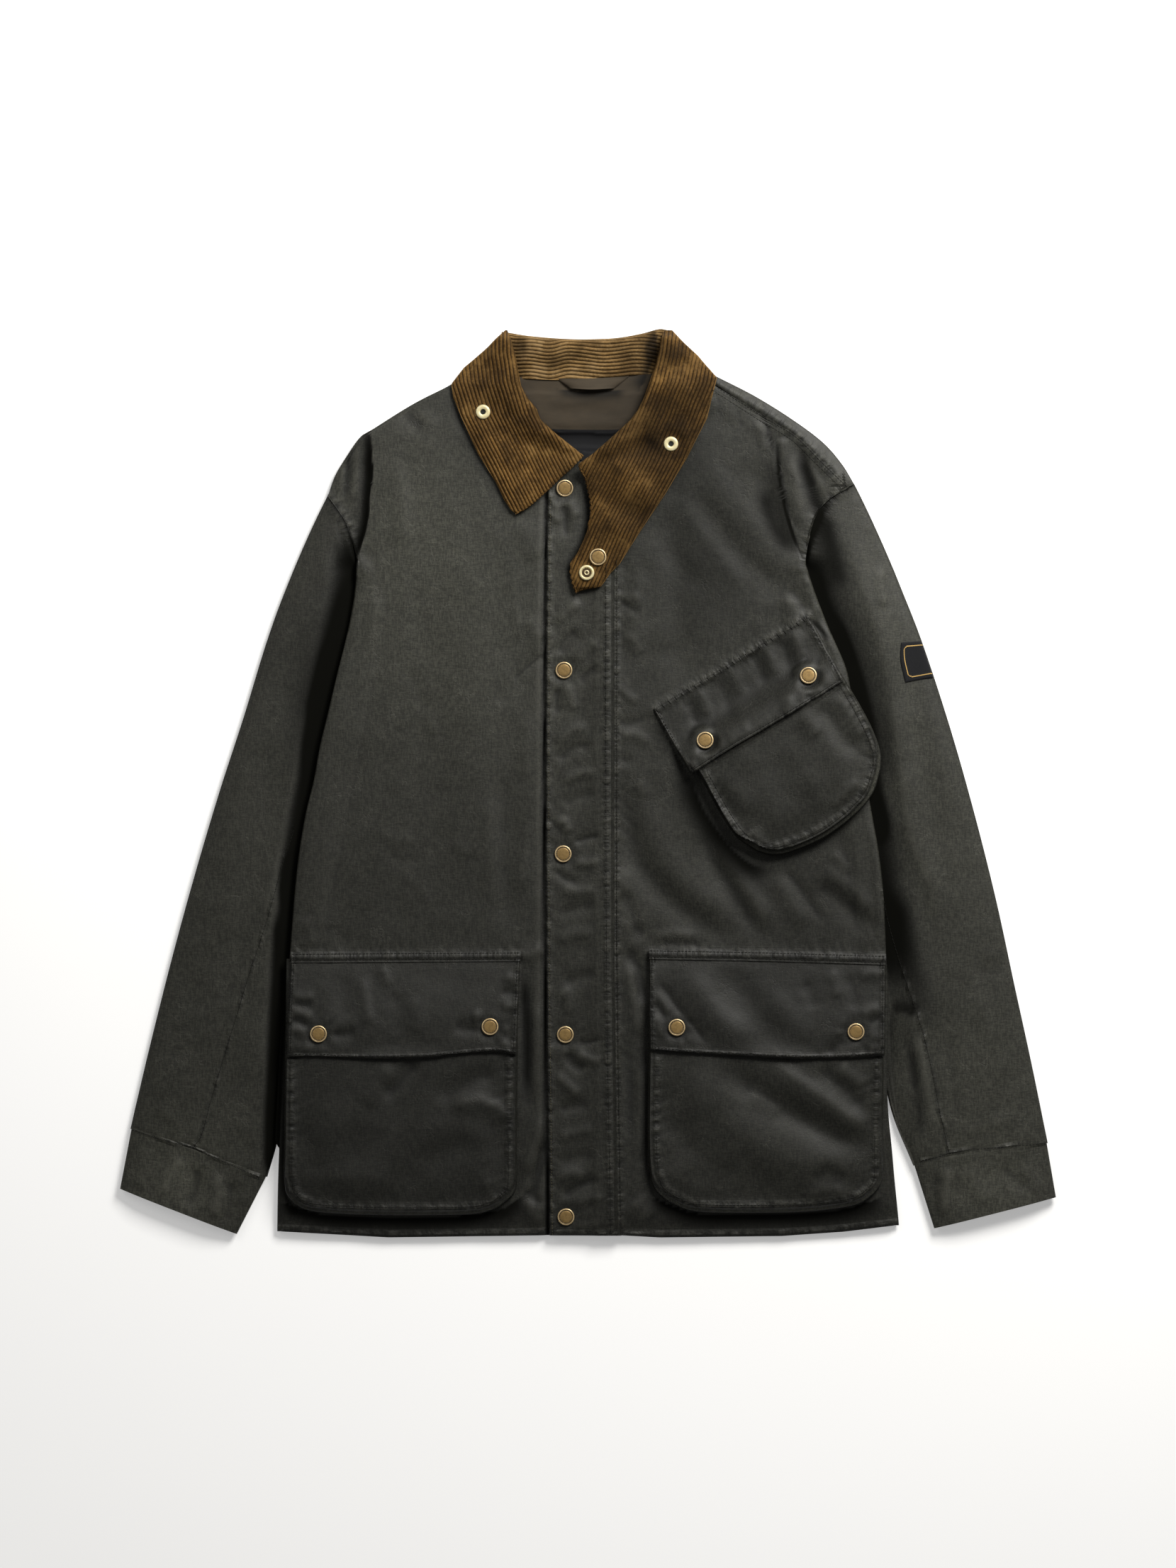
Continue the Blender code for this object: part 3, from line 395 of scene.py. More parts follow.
def waxedCotton(name, look, shade=1.0, hemShadeShare=0.0):
    made, shader = startMaterial(name, {"Specular IOR Level": look["specular"]})
    place = objectPlace()
    broad = noise(place, 8.0, 4.0)
    patches = noise(place, 46.0, 4.0, 0.62)
    warp = noise(objectPlace((1, 0.20, 1)), 780.0, 3.0, 0.7)
    weft = noise(objectPlace((0.24, 1, 1)), 840.0, 3.0, 0.7)
    weave = warp * 0.55 + weft * 0.45
    creasing = noise(place, 170.0, 6.0, 0.7)
    lines = noise(objectPlace((1, 0.7, 1), 0.5), 60.0, 4.0, 0.6)
    rub, seam = mark("rub"), mark("seam")
    along = Wire.node("ShaderNodeCombineXYZ", {}, {"X": mark("seamRun") * 0.17, "Y": seam * 0.6})
    pucker = noise(along, 1.0, 2.0, 0.5)
    cloth = scaled(look["cloth"], shade)
    dark = scaled(look["dark"], shade)
    wornAndHighlight = scaled(look["wornAndHighlight"], shade)
    colour = blend(between(0.30, 0.72, broad) * 0.30 + between(0.35, 0.68, patches) * 0.24, cloth,
                   scaled(cloth, 1.35))
    colour = blend(between(0.50, 0.72, creasing) * 0.11, colour, scaled(cloth, 1.75))
    colour = blend(between(0.50, 0.30, creasing) * 0.10, colour, scaled(cloth, 0.55))
    crackle = between(0.030, 0.0, abs(lines - 0.5)) * between(0.50, 0.64, patches)
    colour = blend(crackle * 0.38, colour, wornAndHighlight)
    colour = blend(between(0.48, 0.60, weave) * 0.52, colour, scaled(cloth, 2.2))
    colour = blend(between(0.52, 0.40, weave) * 0.56, colour, dark)
    colour = blend(between(0.10, 1.0, rub) * 0.30, colour, wornAndHighlight)
    # painted shade: colour darkened where the cloth dips
    colour = blend(between(-0.05, -0.9, rub) * 0.75, colour, dark)
    # painted highlights and painted shade on the seam puckers
    colour = blend(between(0.49, 0.62, pucker) * seam * 0.55, colour, wornAndHighlight)
    colour = blend(between(0.50, 0.38, pucker) * seam * 0.85, colour, dark)
    # painted shade: the colour darker towards the hem
    if hemShadeShare:
        height = Wire.node("ShaderNodeSeparateXYZ", {}, {0: place}, output=1)
        colour = blend(between(0.20, -0.34, height) * hemShadeShare, colour,
                       blend(1.0, colour, (look["hemShade"],) * 3, "MULTIPLY"))
    # painted light and shade multiplied into the colour
    colour = blend(1.0, colour, mark("tone"), "MULTIPLY")
    feed(shader, "Base Color", colour)
    feed(shader, "Roughness", look["roughness"] + (patches - 0.5) * 0.25 + (weave - 0.5) * 0.25)
    ripple = creasing * 0.14 + weave * 0.20 - crackle * 0.10 + patches * 0.30 + pucker * seam * 2.0
    feed(shader, "Normal", bump(ripple, 0.8, 0.0014))
    shadeShader = made.node_tree.nodes.new("ShaderNodeBsdfPrincipled")  # a near-black shader mixed in as painted shade where the light doesn't reach
    shadeShader.inputs["Base Color"].default_value = (0.0030, 0.0030, 0.0022, 1.0)
    shadeShader.inputs["Roughness"].default_value = 0.9
    shadeShader.inputs["Specular IOR Level"].default_value = 0.05
    both = made.node_tree.nodes.new("ShaderNodeMixShader")
    links = made.node_tree.links
    links.new(between(0.92, 0.12, mark("tone")).socket, both.inputs[0])
    links.new(shader.outputs[0], both.inputs[1])
    links.new(shadeShader.outputs[0], both.inputs[2])
    links.new(both.outputs[0], made.node_tree.nodes["Material Output"].inputs["Surface"])
    return made


corduroyLook = {
    "darkPileAndGrooveShade": (0.016, 0.0080, 0.0020),
    "pile": (0.078, 0.0400, 0.0095),
    "bright": (0.26, 0.150, 0.048),
    "pitch": 3.2,
}
# painted light: the stand's corduroy is a lighter copy of the collar's
standLitLook = {
    "darkPileAndGrooveShade": (0.040, 0.0220, 0.0070),
    "pile": (0.135, 0.080, 0.028),
    "bright": (0.33, 0.22, 0.105),
    "pitch": 3.2,
}


def corduroyCloth(name, look):
    made, shader = startMaterial(name, {"Specular IOR Level": 0.12, "Sheen Weight": 0.05,
                                        "Sheen Roughness": 0.45, "Sheen Tint": (0.9, 0.62, 0.32, 1)})
    wale, run = mark("wale"), mark("run")
    streakPlace = Wire.node("ShaderNodeCombineXYZ", {}, {"X": wale * (0.55 / look["pitch"]),
                                                         "Y": run * 0.035})
    streak = noise(streakPlace, 1.0, 3.0, 0.6)
    tuftPlace = Wire.node("ShaderNodeCombineXYZ", {}, {"X": wale * 0.9, "Y": run * 0.5})
    tuft = noise(tuftPlace, 1.0, 4.0, 0.7)
    patches = noise(objectPlace(), 34.0, 4.0, 0.66)
    phase = Wire.node("ShaderNodeMath", {"operation": "SINE"}, {0: wale * (math.pi / look["pitch"])})
    ridge = abs(phase)
    colour = blend(between(0.30, 0.72, streak), scaled(look["pile"], 0.80),
                   scaled(look["pile"], 1.5))
    colour = blend(between(0.44, 0.78, tuft) * 0.6, colour, look["bright"])
    colour = blend(between(0.50, 0.22, tuft) * 0.5, colour, look["darkPileAndGrooveShade"])
    # painted shade in the grooves between the wales
    colour = blend(between(0.75, 0.12, ridge) * between(0.15, 0.62, streak + tuft * 0.2), colour,
                   look["darkPileAndGrooveShade"])
    colour = blend(between(0.52, 0.36, patches) * 0.60, colour, look["darkPileAndGrooveShade"])
    colour = blend(between(0.52, 0.66, patches) * 0.38, colour, look["bright"])
    colour = blend(between(0.1, 1.0, mark("rub")) * 0.6, colour, look["bright"])
    # painted light and shade multiplied into the colour
    colour = blend(1.0, colour, mark("tone"), "MULTIPLY")
    feed(shader, "Base Color", colour)
    feed(shader, "Roughness", 0.78 + (tuft - 0.5) * 0.2)
    feed(shader, "Normal", bump(ridge ** 0.7 + tuft * 0.35, 0.9, 0.0007))
    return made


def plainWeave(name, colour, thread, strength=0.5, roughness=0.8):
    made, shader = startMaterial(name, {"Specular IOR Level": 0.25})
    warp = Wire.node("ShaderNodeTexWave", {"bands_direction": "X"},
                     {"Vector": objectPlace(), "Scale": thread, "Distortion": 0.6, "Detail Scale": 3.0})
    weft = Wire.node("ShaderNodeTexWave", {"bands_direction": "Y"},
                     {"Vector": objectPlace(), "Scale": thread * 0.93, "Distortion": 0.6,
                      "Detail Scale": 3.0})
    weave = warp * 0.5 + weft * 0.5
    patches = noise(objectPlace((1, 2.5, 1)), 70.0, 4.0)
    tint = blend(between(0.3, 0.7, patches) * 0.6, colour, scaled(colour, 1.5))
    tint = blend(between(0.75, 0.25, weave) * strength, tint, scaled(colour, 0.6))
    # painted light and shade multiplied into the colour
    tint = blend(1.0, tint, mark("tone"), "MULTIPLY")
    feed(shader, "Base Color", tint)
    feed(shader, "Roughness", roughness + (patches - 0.5) * 0.2)
    feed(shader, "Normal", bump(weave, 0.4, 0.0002))
    return made


def agedBrass(name, colour, dark, roughness, metallic=1.0):
    made, shader = startMaterial(name, {"Specular IOR Level": 0.5})
    patches = noise(objectPlace(), 420.0, 4.0, 0.6)
    fine = noise(objectPlace(), 2400.0, 2.0, 0.6)
    feed(shader, "Base Color", blend(between(0.40, 0.66, patches) * 0.6, colour, dark))
    feed(shader, "Metallic", metallic - between(0.60, 0.80, patches) * 0.3)
    feed(shader, "Roughness", roughness + (patches - 0.5) * 0.25)
    feed(shader, "Normal", bump(fine, 0.25, 0.0001))
    return made


materials = {
    "waxed": waxedCotton("waxedCotton", waxedLook),
    # the body copy is painted darker towards the hem, as shade; the pocket copy is darker still, as painted
    # shade
    "waxedBodyHemShaded": waxedCotton("waxedBodyHemShaded", waxedLook, 1.0, 1.0),
    "waxedPocketShaded": waxedCotton("waxedPocketShaded", waxedLook, 0.80, 1.0),
    "corduroy": corduroyCloth("corduroy", corduroyLook),
    "corduroyStandLit": corduroyCloth("corduroyStandLit", standLitLook),
    "lining": plainWeave("neckLining", (0.041, 0.0315, 0.0205), 900.0),
    "label": plainWeave("wovenLabel", (0.0045, 0.0047, 0.0058), 1400.0, 0.4, 0.75),
    "brassFace": agedBrass("brassFace", (0.33, 0.215, 0.082), (0.17, 0.105, 0.036), 0.44, 0.55),
    "brassRim": agedBrass("brassRim", (0.66, 0.50, 0.28), (0.36, 0.25, 0.11), 0.40, 0.55),
    "brassHollowsAndBaseShadow": agedBrass("brassHollowsAndBaseShadow", (0.075, 0.046, 0.018), (0.03, 0.019, 0.008), 0.6, 0.5),
    "paleRing": agedBrass("paleRing", (0.78, 0.70, 0.43), (0.62, 0.50, 0.24), 0.42, 0.35),
    "goldThread": plainWeave("goldThread", (0.42, 0.27, 0.085), 1500.0, 0.5, 0.55),
}


def threadMaterial(name, look):
    made, shader = startMaterial(name, {"Specular IOR Level": 0.3})
    twist = noise(objectPlace(), 1800.0, 2.0)
    feed(shader, "Base Color", blend(between(0.3, 0.7, twist), look["colour"],
                                     scaled(look["colour"], 1.7)))
    feed(shader, "Roughness", look["roughness"] + (twist - 0.5) * 0.2)
    return made


materials["threadPale"] = threadMaterial("paleThread", {"colour": (0.085, 0.076, 0.044), "roughness": 0.6})
materials["threadDarkAndHoleShade"] = threadMaterial("darkThreadAndHoleShade", {"colour": (0.0065, 0.0065, 0.0050), "roughness": 0.7})


# seams, folds and edges that several tables share
leftSeam = [(-259.4, -40.3), (-268.8, -68.4), (-278.1, -102.8), (-287.5, -134.1), (-300, -171.6),
    (-309.4, -202.8), (-321.9, -243.4), (-333.1, -280.9), (-340.6, -309.1), (-348.1, -320.3)]
rightSeam = [(259.4, -93.4), (265, -121.6), (273.8, -152.8), (285, -187.2), (296.9, -224.7),
    (304.4, -259.1), (310.6, -290.3), (318.8, -325.9)]
leftCuffSeam = [(-403.1, -304.7), (-371.9, -314.7), (-348.8, -320.3), (-323.1, -332.2), (-290, -346.6)]
rightCuffSeam = [(293.8, -332.2), (312.5, -327.8), (321.9, -324.7), (356.2, -320.9), (405, -316.6)]
leftArmhole = [(-230, 254.7), (-221.2, 241.6), (-214.4, 230.9), (-208.1, 212.8), (-203.8, 197.2)]
leftSleeveHead = [(-230, 253.4), (-221.2, 241.6), (-214.4, 230.9), (-208.1, 212.8), (-203.8, 197.2)]
rightArmhole = [(229.4, 265.3), (213.1, 250.9), (203.1, 234.7), (198.1, 222.2), (192.5, 206.6),
    (189.4, 194.1)]
rightFold = [(163.8, 315.9), (166.9, 294.7), (170, 268.4), (175, 240.9), (181.9, 217.2), (190.6, 194.1)]
leftSide = [(-203.8, 197.2), (-206.2, 166.6), (-213.1, 130.3), (-221.2, 97.2), (-229.4, 62.8),
    (-236.9, 31.6), (-241.9, 3.4), (-249.4, -27.8), (-256.9, -76.6), (-261.2, -121.6)]
rightSide = [(200, 165.9), (206.2, 150.3), (212.5, 132.8), (221.9, 109.7), (228.1, 94.1), (233.1, 76.6),
    (240.6, 40.9), (247.5, -11.6), (256.2, -59.1)]


# painted light and shade in spots, where the colour is made lighter or darker: x, y, reach and share
lightAndShadeSpots = [
    (-150.0, 230.0, 85.0, 0.62), (-120.0, 110.0, 90.0, 0.36), (100.0, 190.0, 75.0, -0.34),
    (160.0, 300.0, 40.0, -0.14), (137.0, 303.0, 35.0, 0.08), (-192.0, 192.0, 13.0, -0.20),
    (-350.0, -340.0, 9.0, 0.25), (-330.0, -352.0, 9.0, -0.15), (190.0, -100.0, 75.0, -0.15),
    (255.0, 150.0, 70.0, 0.12), (320.0, -40.0, 80.0, 0.22), (-260.0, 130.0, 60.0, -0.12),
    (-365.0, -350.0, 45.0, 0.80), (355.0, -355.0, 45.0, 0.75), (352.0, -250.0, 60.0, 0.30),
    (180.0, -310.0, 60.0, 0.15), (195.0, 95.0, 40.0, -0.10), (45.0, -210.0, 45.0, -0.08),
    (45.0, 60.0, 40.0, -0.05), (170.0, -180.0, 50.0, -0.10), (10.0, 375.0, 40.0, 0.15),
    (72.0, 330.0, 45.0, -0.18), (-100.0, 345.0, 28.0, -0.22), (-58.8, 385.0, 7.0, -0.6),
    (55.0, 384.0, 8.0, -0.55), (-30.0, 374.0, 9.0, -0.18), (10.0, 366.0, 10.0, 0.15),
    (26.0, 386.0, 8.0, -0.30), (39.0, 90.0, 34.0, -0.16), (39.0, -20.0, 40.0, -0.16),
    (230.0, -100.0, 45.0, -0.12), (37.5, 266.0, 13.0, 0.30), (59.0, 300.0, 15.0, -0.30),
    (37.5, 241.0, 13.0, -0.30), (64.0, 353.0, 12.0, 0.40), (72.0, 379.0, 9.0, -0.45),
    (150.0, 40.0, 110.0, -0.12), (62.0, 300.0, 55.0, -0.32), (150.0, 275.0, 60.0, -0.10),
    (-85.0, 318.0, 14.0, -0.15), (-60.0, 268.0, 22.0, 0.18), (25.0, 215.0, 18.0, -0.12),
]


# painted shade beside the body's edges, on the sleeves and the back, with one band of painted light on the
# right sleeve
sleeveShadeAndLight = [
    (-0.66, 1.0, 31, [(-200.0, 365.9), (-201.9, 284.7), (-203.1, 234.7), (-203.8, 209.7)] + leftSide[1:8]),
    (-0.85, 1.0, 14, [-263.1, -102.8, -267.5, -177.8, -270, -234.1, -272.5, -290.3, -274.4, -359.1],
        "flat"),
    (-0.9, 1.3, 1.3, [-380.6, -364.1, -370, -369.1, -358.1, -374.1]),
    (-0.45, 1.0, 20, [(-202.5, 225.3)] + leftSide[:5] + [(-233.1, 47.2)], "flat"),
    (-0.25, 1.0, 16, leftSide[:7]), (-0.85, 1.0, 15, leftSide[2:], "flat"),
    (-0.85, 1.2, 10, [-253.1, -52.8, -256.9, -76.6, -261.2, -121.6, -263.1, -152.2]),
    (-0.88, 2.0, 8, [-258.1, -77.8, -263.1, -134.1, -266.2, -184.1, -268.8, -234.1, -272.5, -284.1,
        -273.8, -334.1], "seam"),
    (-0.45, 4, 16, [226.2, 260.9, 213.1, 250.9, 203.1, 234.7, 198.1, 222.2, 192.5, 206.6, 190, 190.9],
        "seam"),
    (-0.80, 12, 1.2, [(191.9, 203.4)] + rightSide[:5]),
    (-0.40, 32, 1.2, [(181.2, 259.7), (190.0, 215.9)] + rightSide[:8], "flat"),
    (-0.80, 14, 1.2, rightSide[1:], "flat"),
    (-0.75, 19, 1.2, [245, 15.9, 251.2, -27.8, 256.2, -59.1, 259.4, -90.3, 262.5, -134.1, 265.6, -184.1,
        266.9, -202.8]),
    (-0.40, 12, 16, [270, -84.1, 281.2, -134.1, 293.8, -184.1, 301.2, -227.8]),
    (-0.40, 6, 2, [266.2, -209.1, 265.6, -234.1, 264.4, -279.7], "seam"),
    (-0.45, 5, 5, [281.2, -215.3, 287.5, -246.6, 292.5, -284.1, 295, -321.6]),
    (-0.55, 8, 4, [265.6, -199.1, 278.1, -199.1, 291.2, -205.3]),
    (-0.35, 8, 10, [206.2, 247.2, 216.2, 209.7, 228.8, 165.9]),
    (0.30, 12, 14, [240.6, 240.9, 256.2, 190.9, 273.8, 128.4, 287.5, 65.9, 306.2, -21.6]),
    (-0.45, 1.6, 1.6, leftArmhole, "seam"),
]
# painted shadows under pockets, placket and collar, and painted shade and light in the folds beside the
# armholes
shadeLines = [
    (-0.62, 0.3, 8, [-200, 340.9, -194.4, 322.2, -190.6, 300.3, -190, 284.7, -190, 270.3, -191.9, 253.4,
        -194.4, 229.7, -200, 209.7, -203.8, 197.2], "flat"),
    (-0.62, 0.3, 20, [-194.4, 322.2, -190, 284.7, -191.9, 253.4, -194.4, 229.7, -200, 209.7, -203.8, 190.9,
        -208.8, 140.9]),
    (-0.45, 3, 3, [-210.6, 303.4, -212.5, 278.4, -214.4, 253.4]),
    (0.25, 2, 2, [-204.4, 297.2, -205.6, 265.9, -208.1, 234.7]), (-0.55, 1.2, 1.2, leftArmhole, "seam"),
    (-0.56, 2, 13, [82.5, 20.9, 91.2, 0.9, 100, -21.6, 113.8, -42.8, 128.8, -60.9, 147.5, -74.1,
        171.9, -76.6]),
    (-0.13, 4, 24, [90.6, 12.8, 96.9, -2.8, 108.1, -25.3, 125, -50.3, 143.8, -64.1, 163.8, -70.3], "flat"),
    (-0.40, 0.5, 8, [59.4, 60.9, 73.8, 33.4, 90, 5.9]),
    (-0.55, 0.5, 6, [53.1, -209.1, 52.5, -309.7, 54.4, -343.4, 58.8, -360.3, 67.5, -372.8]),
    (-0.75, 0.5, 13, [67.5, -369.1, 96.9, -379.1, 143.8, -380.3, 193.8, -379.1, 228.8, -374.7,
        247.5, -368.4], "seam"),
    (-0.75, 0.5, 13, [-258.8, -372.8, -228.8, -380.9, -181.2, -382.8, -131.2, -382.8, -81.2, -376.6,
        -67.5, -369.7], "seam"),
    (-0.6, 0.5, 5, [-265.6, -154.1, -266.9, -246.6, -267.8, -309.1, -268.1, -340.3, -266.2, -361.6,
        -258.8, -372.8], "seam"),
    (-0.6, 4, 4, [-58.1, -156.6, -55, -196.6, -53.8, -246.6, -55, -284.1]),
    (-0.9, 0.4, 1.8, [-36.6, 253.4, -37.5, 159.7, -38.1, 65.9, -38.1, -90.3, -36.9, -246.6, -35, -398.4],
        "seam"),
    (-0.55, 0.3, 7, [-120.6, 350.3, -111.2, 320.9, -96.9, 289.7, -81.2, 264.7, -68.1, 240.3, -63.8, 236.6]),
    (-0.6, 0.3, 7, [-8.1, 278.4, -2.5, 267.8, 1.9, 249.1, 0, 224.1, -9.4, 202.2, -15.6, 191.6, -15, 180.3,
        -10.6, 167.2]),
    (-0.45, 1.2, 2.4, rightFold), (-0.35, 1, 10, rightFold[1:]),
    (-0.55, 6, 6, [186.2, 295.9, 195, 265.9, 201.2, 245.9, 208.8, 225.3]),
    (-0.40, 1.5, 1.5, [155.6, 323.4, 158.1, 313.4, 161.2, 303.4, 163.8, 290.9]),
    (-0.35, 6, 7, [155, 264.7, 158.1, 242.2, 170.6, 214.1, 183.1, 200.9]),
    (-0.5, 4, 4, [196.9, 145.9, 205, 135.9, 213.8, 125.3]),
    (-0.85, 0.5, 7, [-18.8, 347.8, -7.5, 345.9, 3.1, 345.3, 13.8, 345.9, 24.4, 347.2], "seam"),
    (-0.80, 2, 8, [60, 394.7, 58.1, 381.6, 53.1, 365.9, 48.8, 355.3], "seam"),
    (-0.5, 1, 9, [-58.8, 350.3, -53.1, 339.7, -45, 330.3, -41.9, 320.9, -28.1, 308.4], "seam"),
    (-0.4, 9, 1, [52.5, 350.3, 48.8, 339.7, 43.8, 329.7, 37.5, 320.9, 26.2, 308.4], "seam"),
]


# painted light and shade for each piece, from the lines and spots above, multiplied into its colour
def paintedLightShadeMark(x, y, name):
    lines = shadeLines
    if name.startswith(("sleeve", "cuff", "back")):
        lines = sleeveShadeAndLight
    elif name.startswith(("bag", "flap", "band", "collarLeaf")):
        lines = []
    tone = 1.0 + creaseSum(lines, x, y)
    for spotX, spotY, reach, share in lightAndShadeSpots:
        tone += share * np.exp(-((x - spotX) ** 2 + (y - spotY) ** 2) / reach ** 2)
    return np.clip(tone, 0.12, 1.8)


# stitched seams pucker: reach and points
seamLines = [
    (6.5, leftArmhole), (6.0, rightArmhole),
    (5.0, [114.4, 353.4, 140.6, 339.7, 162.5, 324.7, 184.4, 307.2, 200, 290.3, 215.6, 272.8, 226.9, 262.2]),
    (2.6, [-33.8, 254.1, -34.4, 159.7, -35, 65.9, -35, -90.3, -33.8, -246.6, -31.9, -398.4]),
    (3.2, [16.2, 197.2, 16.2, 65.9, 16.2, -121.6, 17.5, -246.6, 20, -398.4]),
    (2.6, [25, 197.2, 25, 65.9, 25, -121.6, 26.2, -246.6, 28.8, -398.4]),
    (4.0, [-262.5, -152.2, -162.5, -151.6, -59.4, -150.9]),
    (4.0, [53.8, -149.1, 156.2, -150.9, 262.5, -154.1]),
    (2.4, [-260, -154.1, -261.9, -196.6, -261.9, -238.4]),
    (1.4, [-261.9, -238.4, -206.2, -239.1, -143.8, -238.4, -85, -233.4, -65, -235.9]),
    (2.4, [-61.9, -152.8, -63.8, -196.6, -65.6, -235.9]), (2.4, [56.2, -152.8, 56.2, -190.3, 56.9, -232.8]),
    (1.4, [56.9, -232.8, 101.2, -235.3, 153.8, -237.8, 206.9, -239.1, 258.8, -236.6]),
    (2.4, [260, -154.1, 259.4, -190.3, 258.8, -236.6]),
    (3.4, [-261.2, -243.4, -261.2, -309.1, -260.6, -340.3, -257.5, -355.9, -250, -365.3, -228.8, -371.6,
        -181.2, -373.4, -131.2, -373.4, -93.8, -370.9, -78.8, -364.1, -71.2, -354.7, -69.4, -334.1,
        -69.4, -243.4]),
    (3.4, [60.6, -243.4, 60, -309.7, 61.9, -337.8, 66.2, -351.6, 75, -360.9, 96.9, -369.7, 143.8, -370.9,
        193.8, -369.7, 228.8, -365.3, 246.2, -355.9, 252.5, -343.4, 253.1, -309.1, 253.8, -243.4]),
    (4.2, [57.5, 64.7, 106.2, 94.1, 150, 121.6, 194.4, 148.4]), (2.4, [60, 63.4, 75, 37.2, 92.5, 10.9]),
    (2.4, [92.5, 10.9, 143.8, 40.9, 187.5, 68.4, 223.8, 89.7]),
    (2.4, [192.5, 145.9, 207.5, 119.1, 222.5, 92.2]),
    (3.2, [103.8, 8.4, 111.2, -12.2, 125, -32.8, 138.8, -47.8, 162.5, -55.3, 200, -41.6, 231.2, -20.3,
        247.5, 5.9, 251.2, 28.4, 241.2, 56.6, 228.8, 81.6]),
    (1.0, leftSeam), (1.0, rightSeam), (0.8, leftCuffSeam), (0.8, rightCuffSeam),
    (2.2, [-273.1, -391.6, -175.6, -397.2, -34.4, -395.3]),
    (2.2, [-31.2, -395.3, 63.1, -397.2, 171.2, -395.9, 225.6, -392.2, 272.5, -386.6]),
]


def seamMarks(x, y):
    near, run = np.zeros(x.shape), np.zeros(x.shape)
    for index, (reach, points) in enumerate(seamLines):
        line = curve(np.reshape(points, (-1, 2)), 3)
        close = nearLine(line, 2.6 * reach, x, y)
        if close.any():
            distance, place, _ = toLine(line, x[close], y[close])
            share = np.exp(-(distance / reach) ** 2)
            run[close] = np.where(share > near[close], place + 97.0 * index, run[close])
            near[close] = np.maximum(share, near[close])
    return {"seam": near, "seamRun": run}


def outwardShare(mesh, ring):  # positive when the faces look up, or out of a tube
    count = len(mesh.polygons)
    normals, centres, areas = np.empty(count * 3), np.empty(count * 3), np.empty(count)
    mesh.polygons.foreach_get("normal", normals)
    mesh.polygons.foreach_get("center", centres)
    mesh.polygons.foreach_get("area", areas)
    normals, centres = normals.reshape(-1, 3), centres.reshape(-1, 3)
    toward = centres[:, 2] - centres[:, 2].mean() if ring else 1.0
    return float((normals[:, 2] * areas * toward).sum())


def clothPiece(name, x, y, z, wall, look, nodes, marks=None, ring=False):
    rows, columns = x.shape
    bpy.ops.object.select_all(action="DESELECT")
    bpy.ops.mesh.primitive_grid_add(x_subdivisions=columns - 1, y_subdivisions=rows - 1, size=1)
    piece = bpy.context.object
    piece.name = piece.data.name = name
    flat = np.empty(rows * columns * 3)
    piece.data.vertices.foreach_get("co", flat)
    flat = flat.reshape(-1, 3)
    column = np.rint((flat[:, 0] + 0.5) * (columns - 1)).astype(int)
    row = np.rint((flat[:, 1] + 0.5) * (rows - 1)).astype(int)
    place = np.stack([x[row, column], y[row, column], z[row, column]], 1) * mm
    piece.data.vertices.foreach_set("co", place.ravel())
    marks = {"shade": 1.0, "rub": rubAndDipShadeMark(z), **seamMarks(x, y), **(marks or {})}
    # painted light and shade from the lines and spots, scaled by the piece's painted shade factor
    marks["tone"] = paintedLightShadeMark(x, y, name) * marks.pop("shade")
    for key, values in marks.items():
        layer = piece.data.attributes.new(key, "FLOAT", "POINT")
        layer.data.foreach_set("value", np.ascontiguousarray(values[row, column], dtype=np.float32))
    if outwardShare(piece.data, ring) < 0:
        piece.data.flip_normals()
    if ring:
        bpy.ops.object.mode_set(mode="EDIT")
        bpy.ops.mesh.select_all(action="SELECT")
        bpy.ops.mesh.remove_doubles(threshold=0.00002)
        bpy.ops.object.mode_set(mode="OBJECT")
    solid = piece.modifiers.new("wall", "SOLIDIFY")
    solid.thickness = wall * mm
    solid.offset = -1
    bpy.ops.object.modifier_apply(modifier="wall")
    piece.data.materials.append(materials[look])
    bpy.ops.object.shade_smooth_by_angle(angle=math.radians(60))
    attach(piece, "root")
    if nodes:
        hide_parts(*nodes)
    return piece


# the collar at the back lies under everything
collarFall = {
    "top": [(-120.5, 353.4), (-98.8, 377.2), (-75, 398), (-40, 391), (-2, 388), (35, 390.5), (70, 397.5),
        (93.8, 379.7), (112.4, 361)],
    "bottom": [(-120, 349), (-98.8, 338), (-75, 330), (-40, 324), (-2, 321), (35, 325), (70, 333),
        (93.8, 342), (112, 357)],
    "wall": 2.0,
}


def makeFall(part):
    us, vs = np.linspace(0, 1, 90), np.linspace(0, 1, 60)
    lines = [np.array(part[key]) for key in ("bottom", "top")]
    x = mix(lines[0][0, 0], lines[0][-1, 0], us)[None, :] + 0 * vs[:, None]
    low = np.interp(x, lines[0][:, 0], lines[0][:, 1])
    high = np.interp(x, lines[1][:, 0], lines[1][:, 1])
    y = mix(low, high - 1.5, vs[:, None])
    wale = high - y
    z = part["wall"] + 0.2 + 0.25 * np.abs(np.sin(math.pi * wale / corduroyLook["pitch"]))
    clothPiece("collarFall", x, y, z, part["wall"], "corduroy", ["collar_fall_back"],
               {"wale": wale, "run": x})
    layDown(x, y, z)


makeFall(collarFall)
print("collar fall laid")


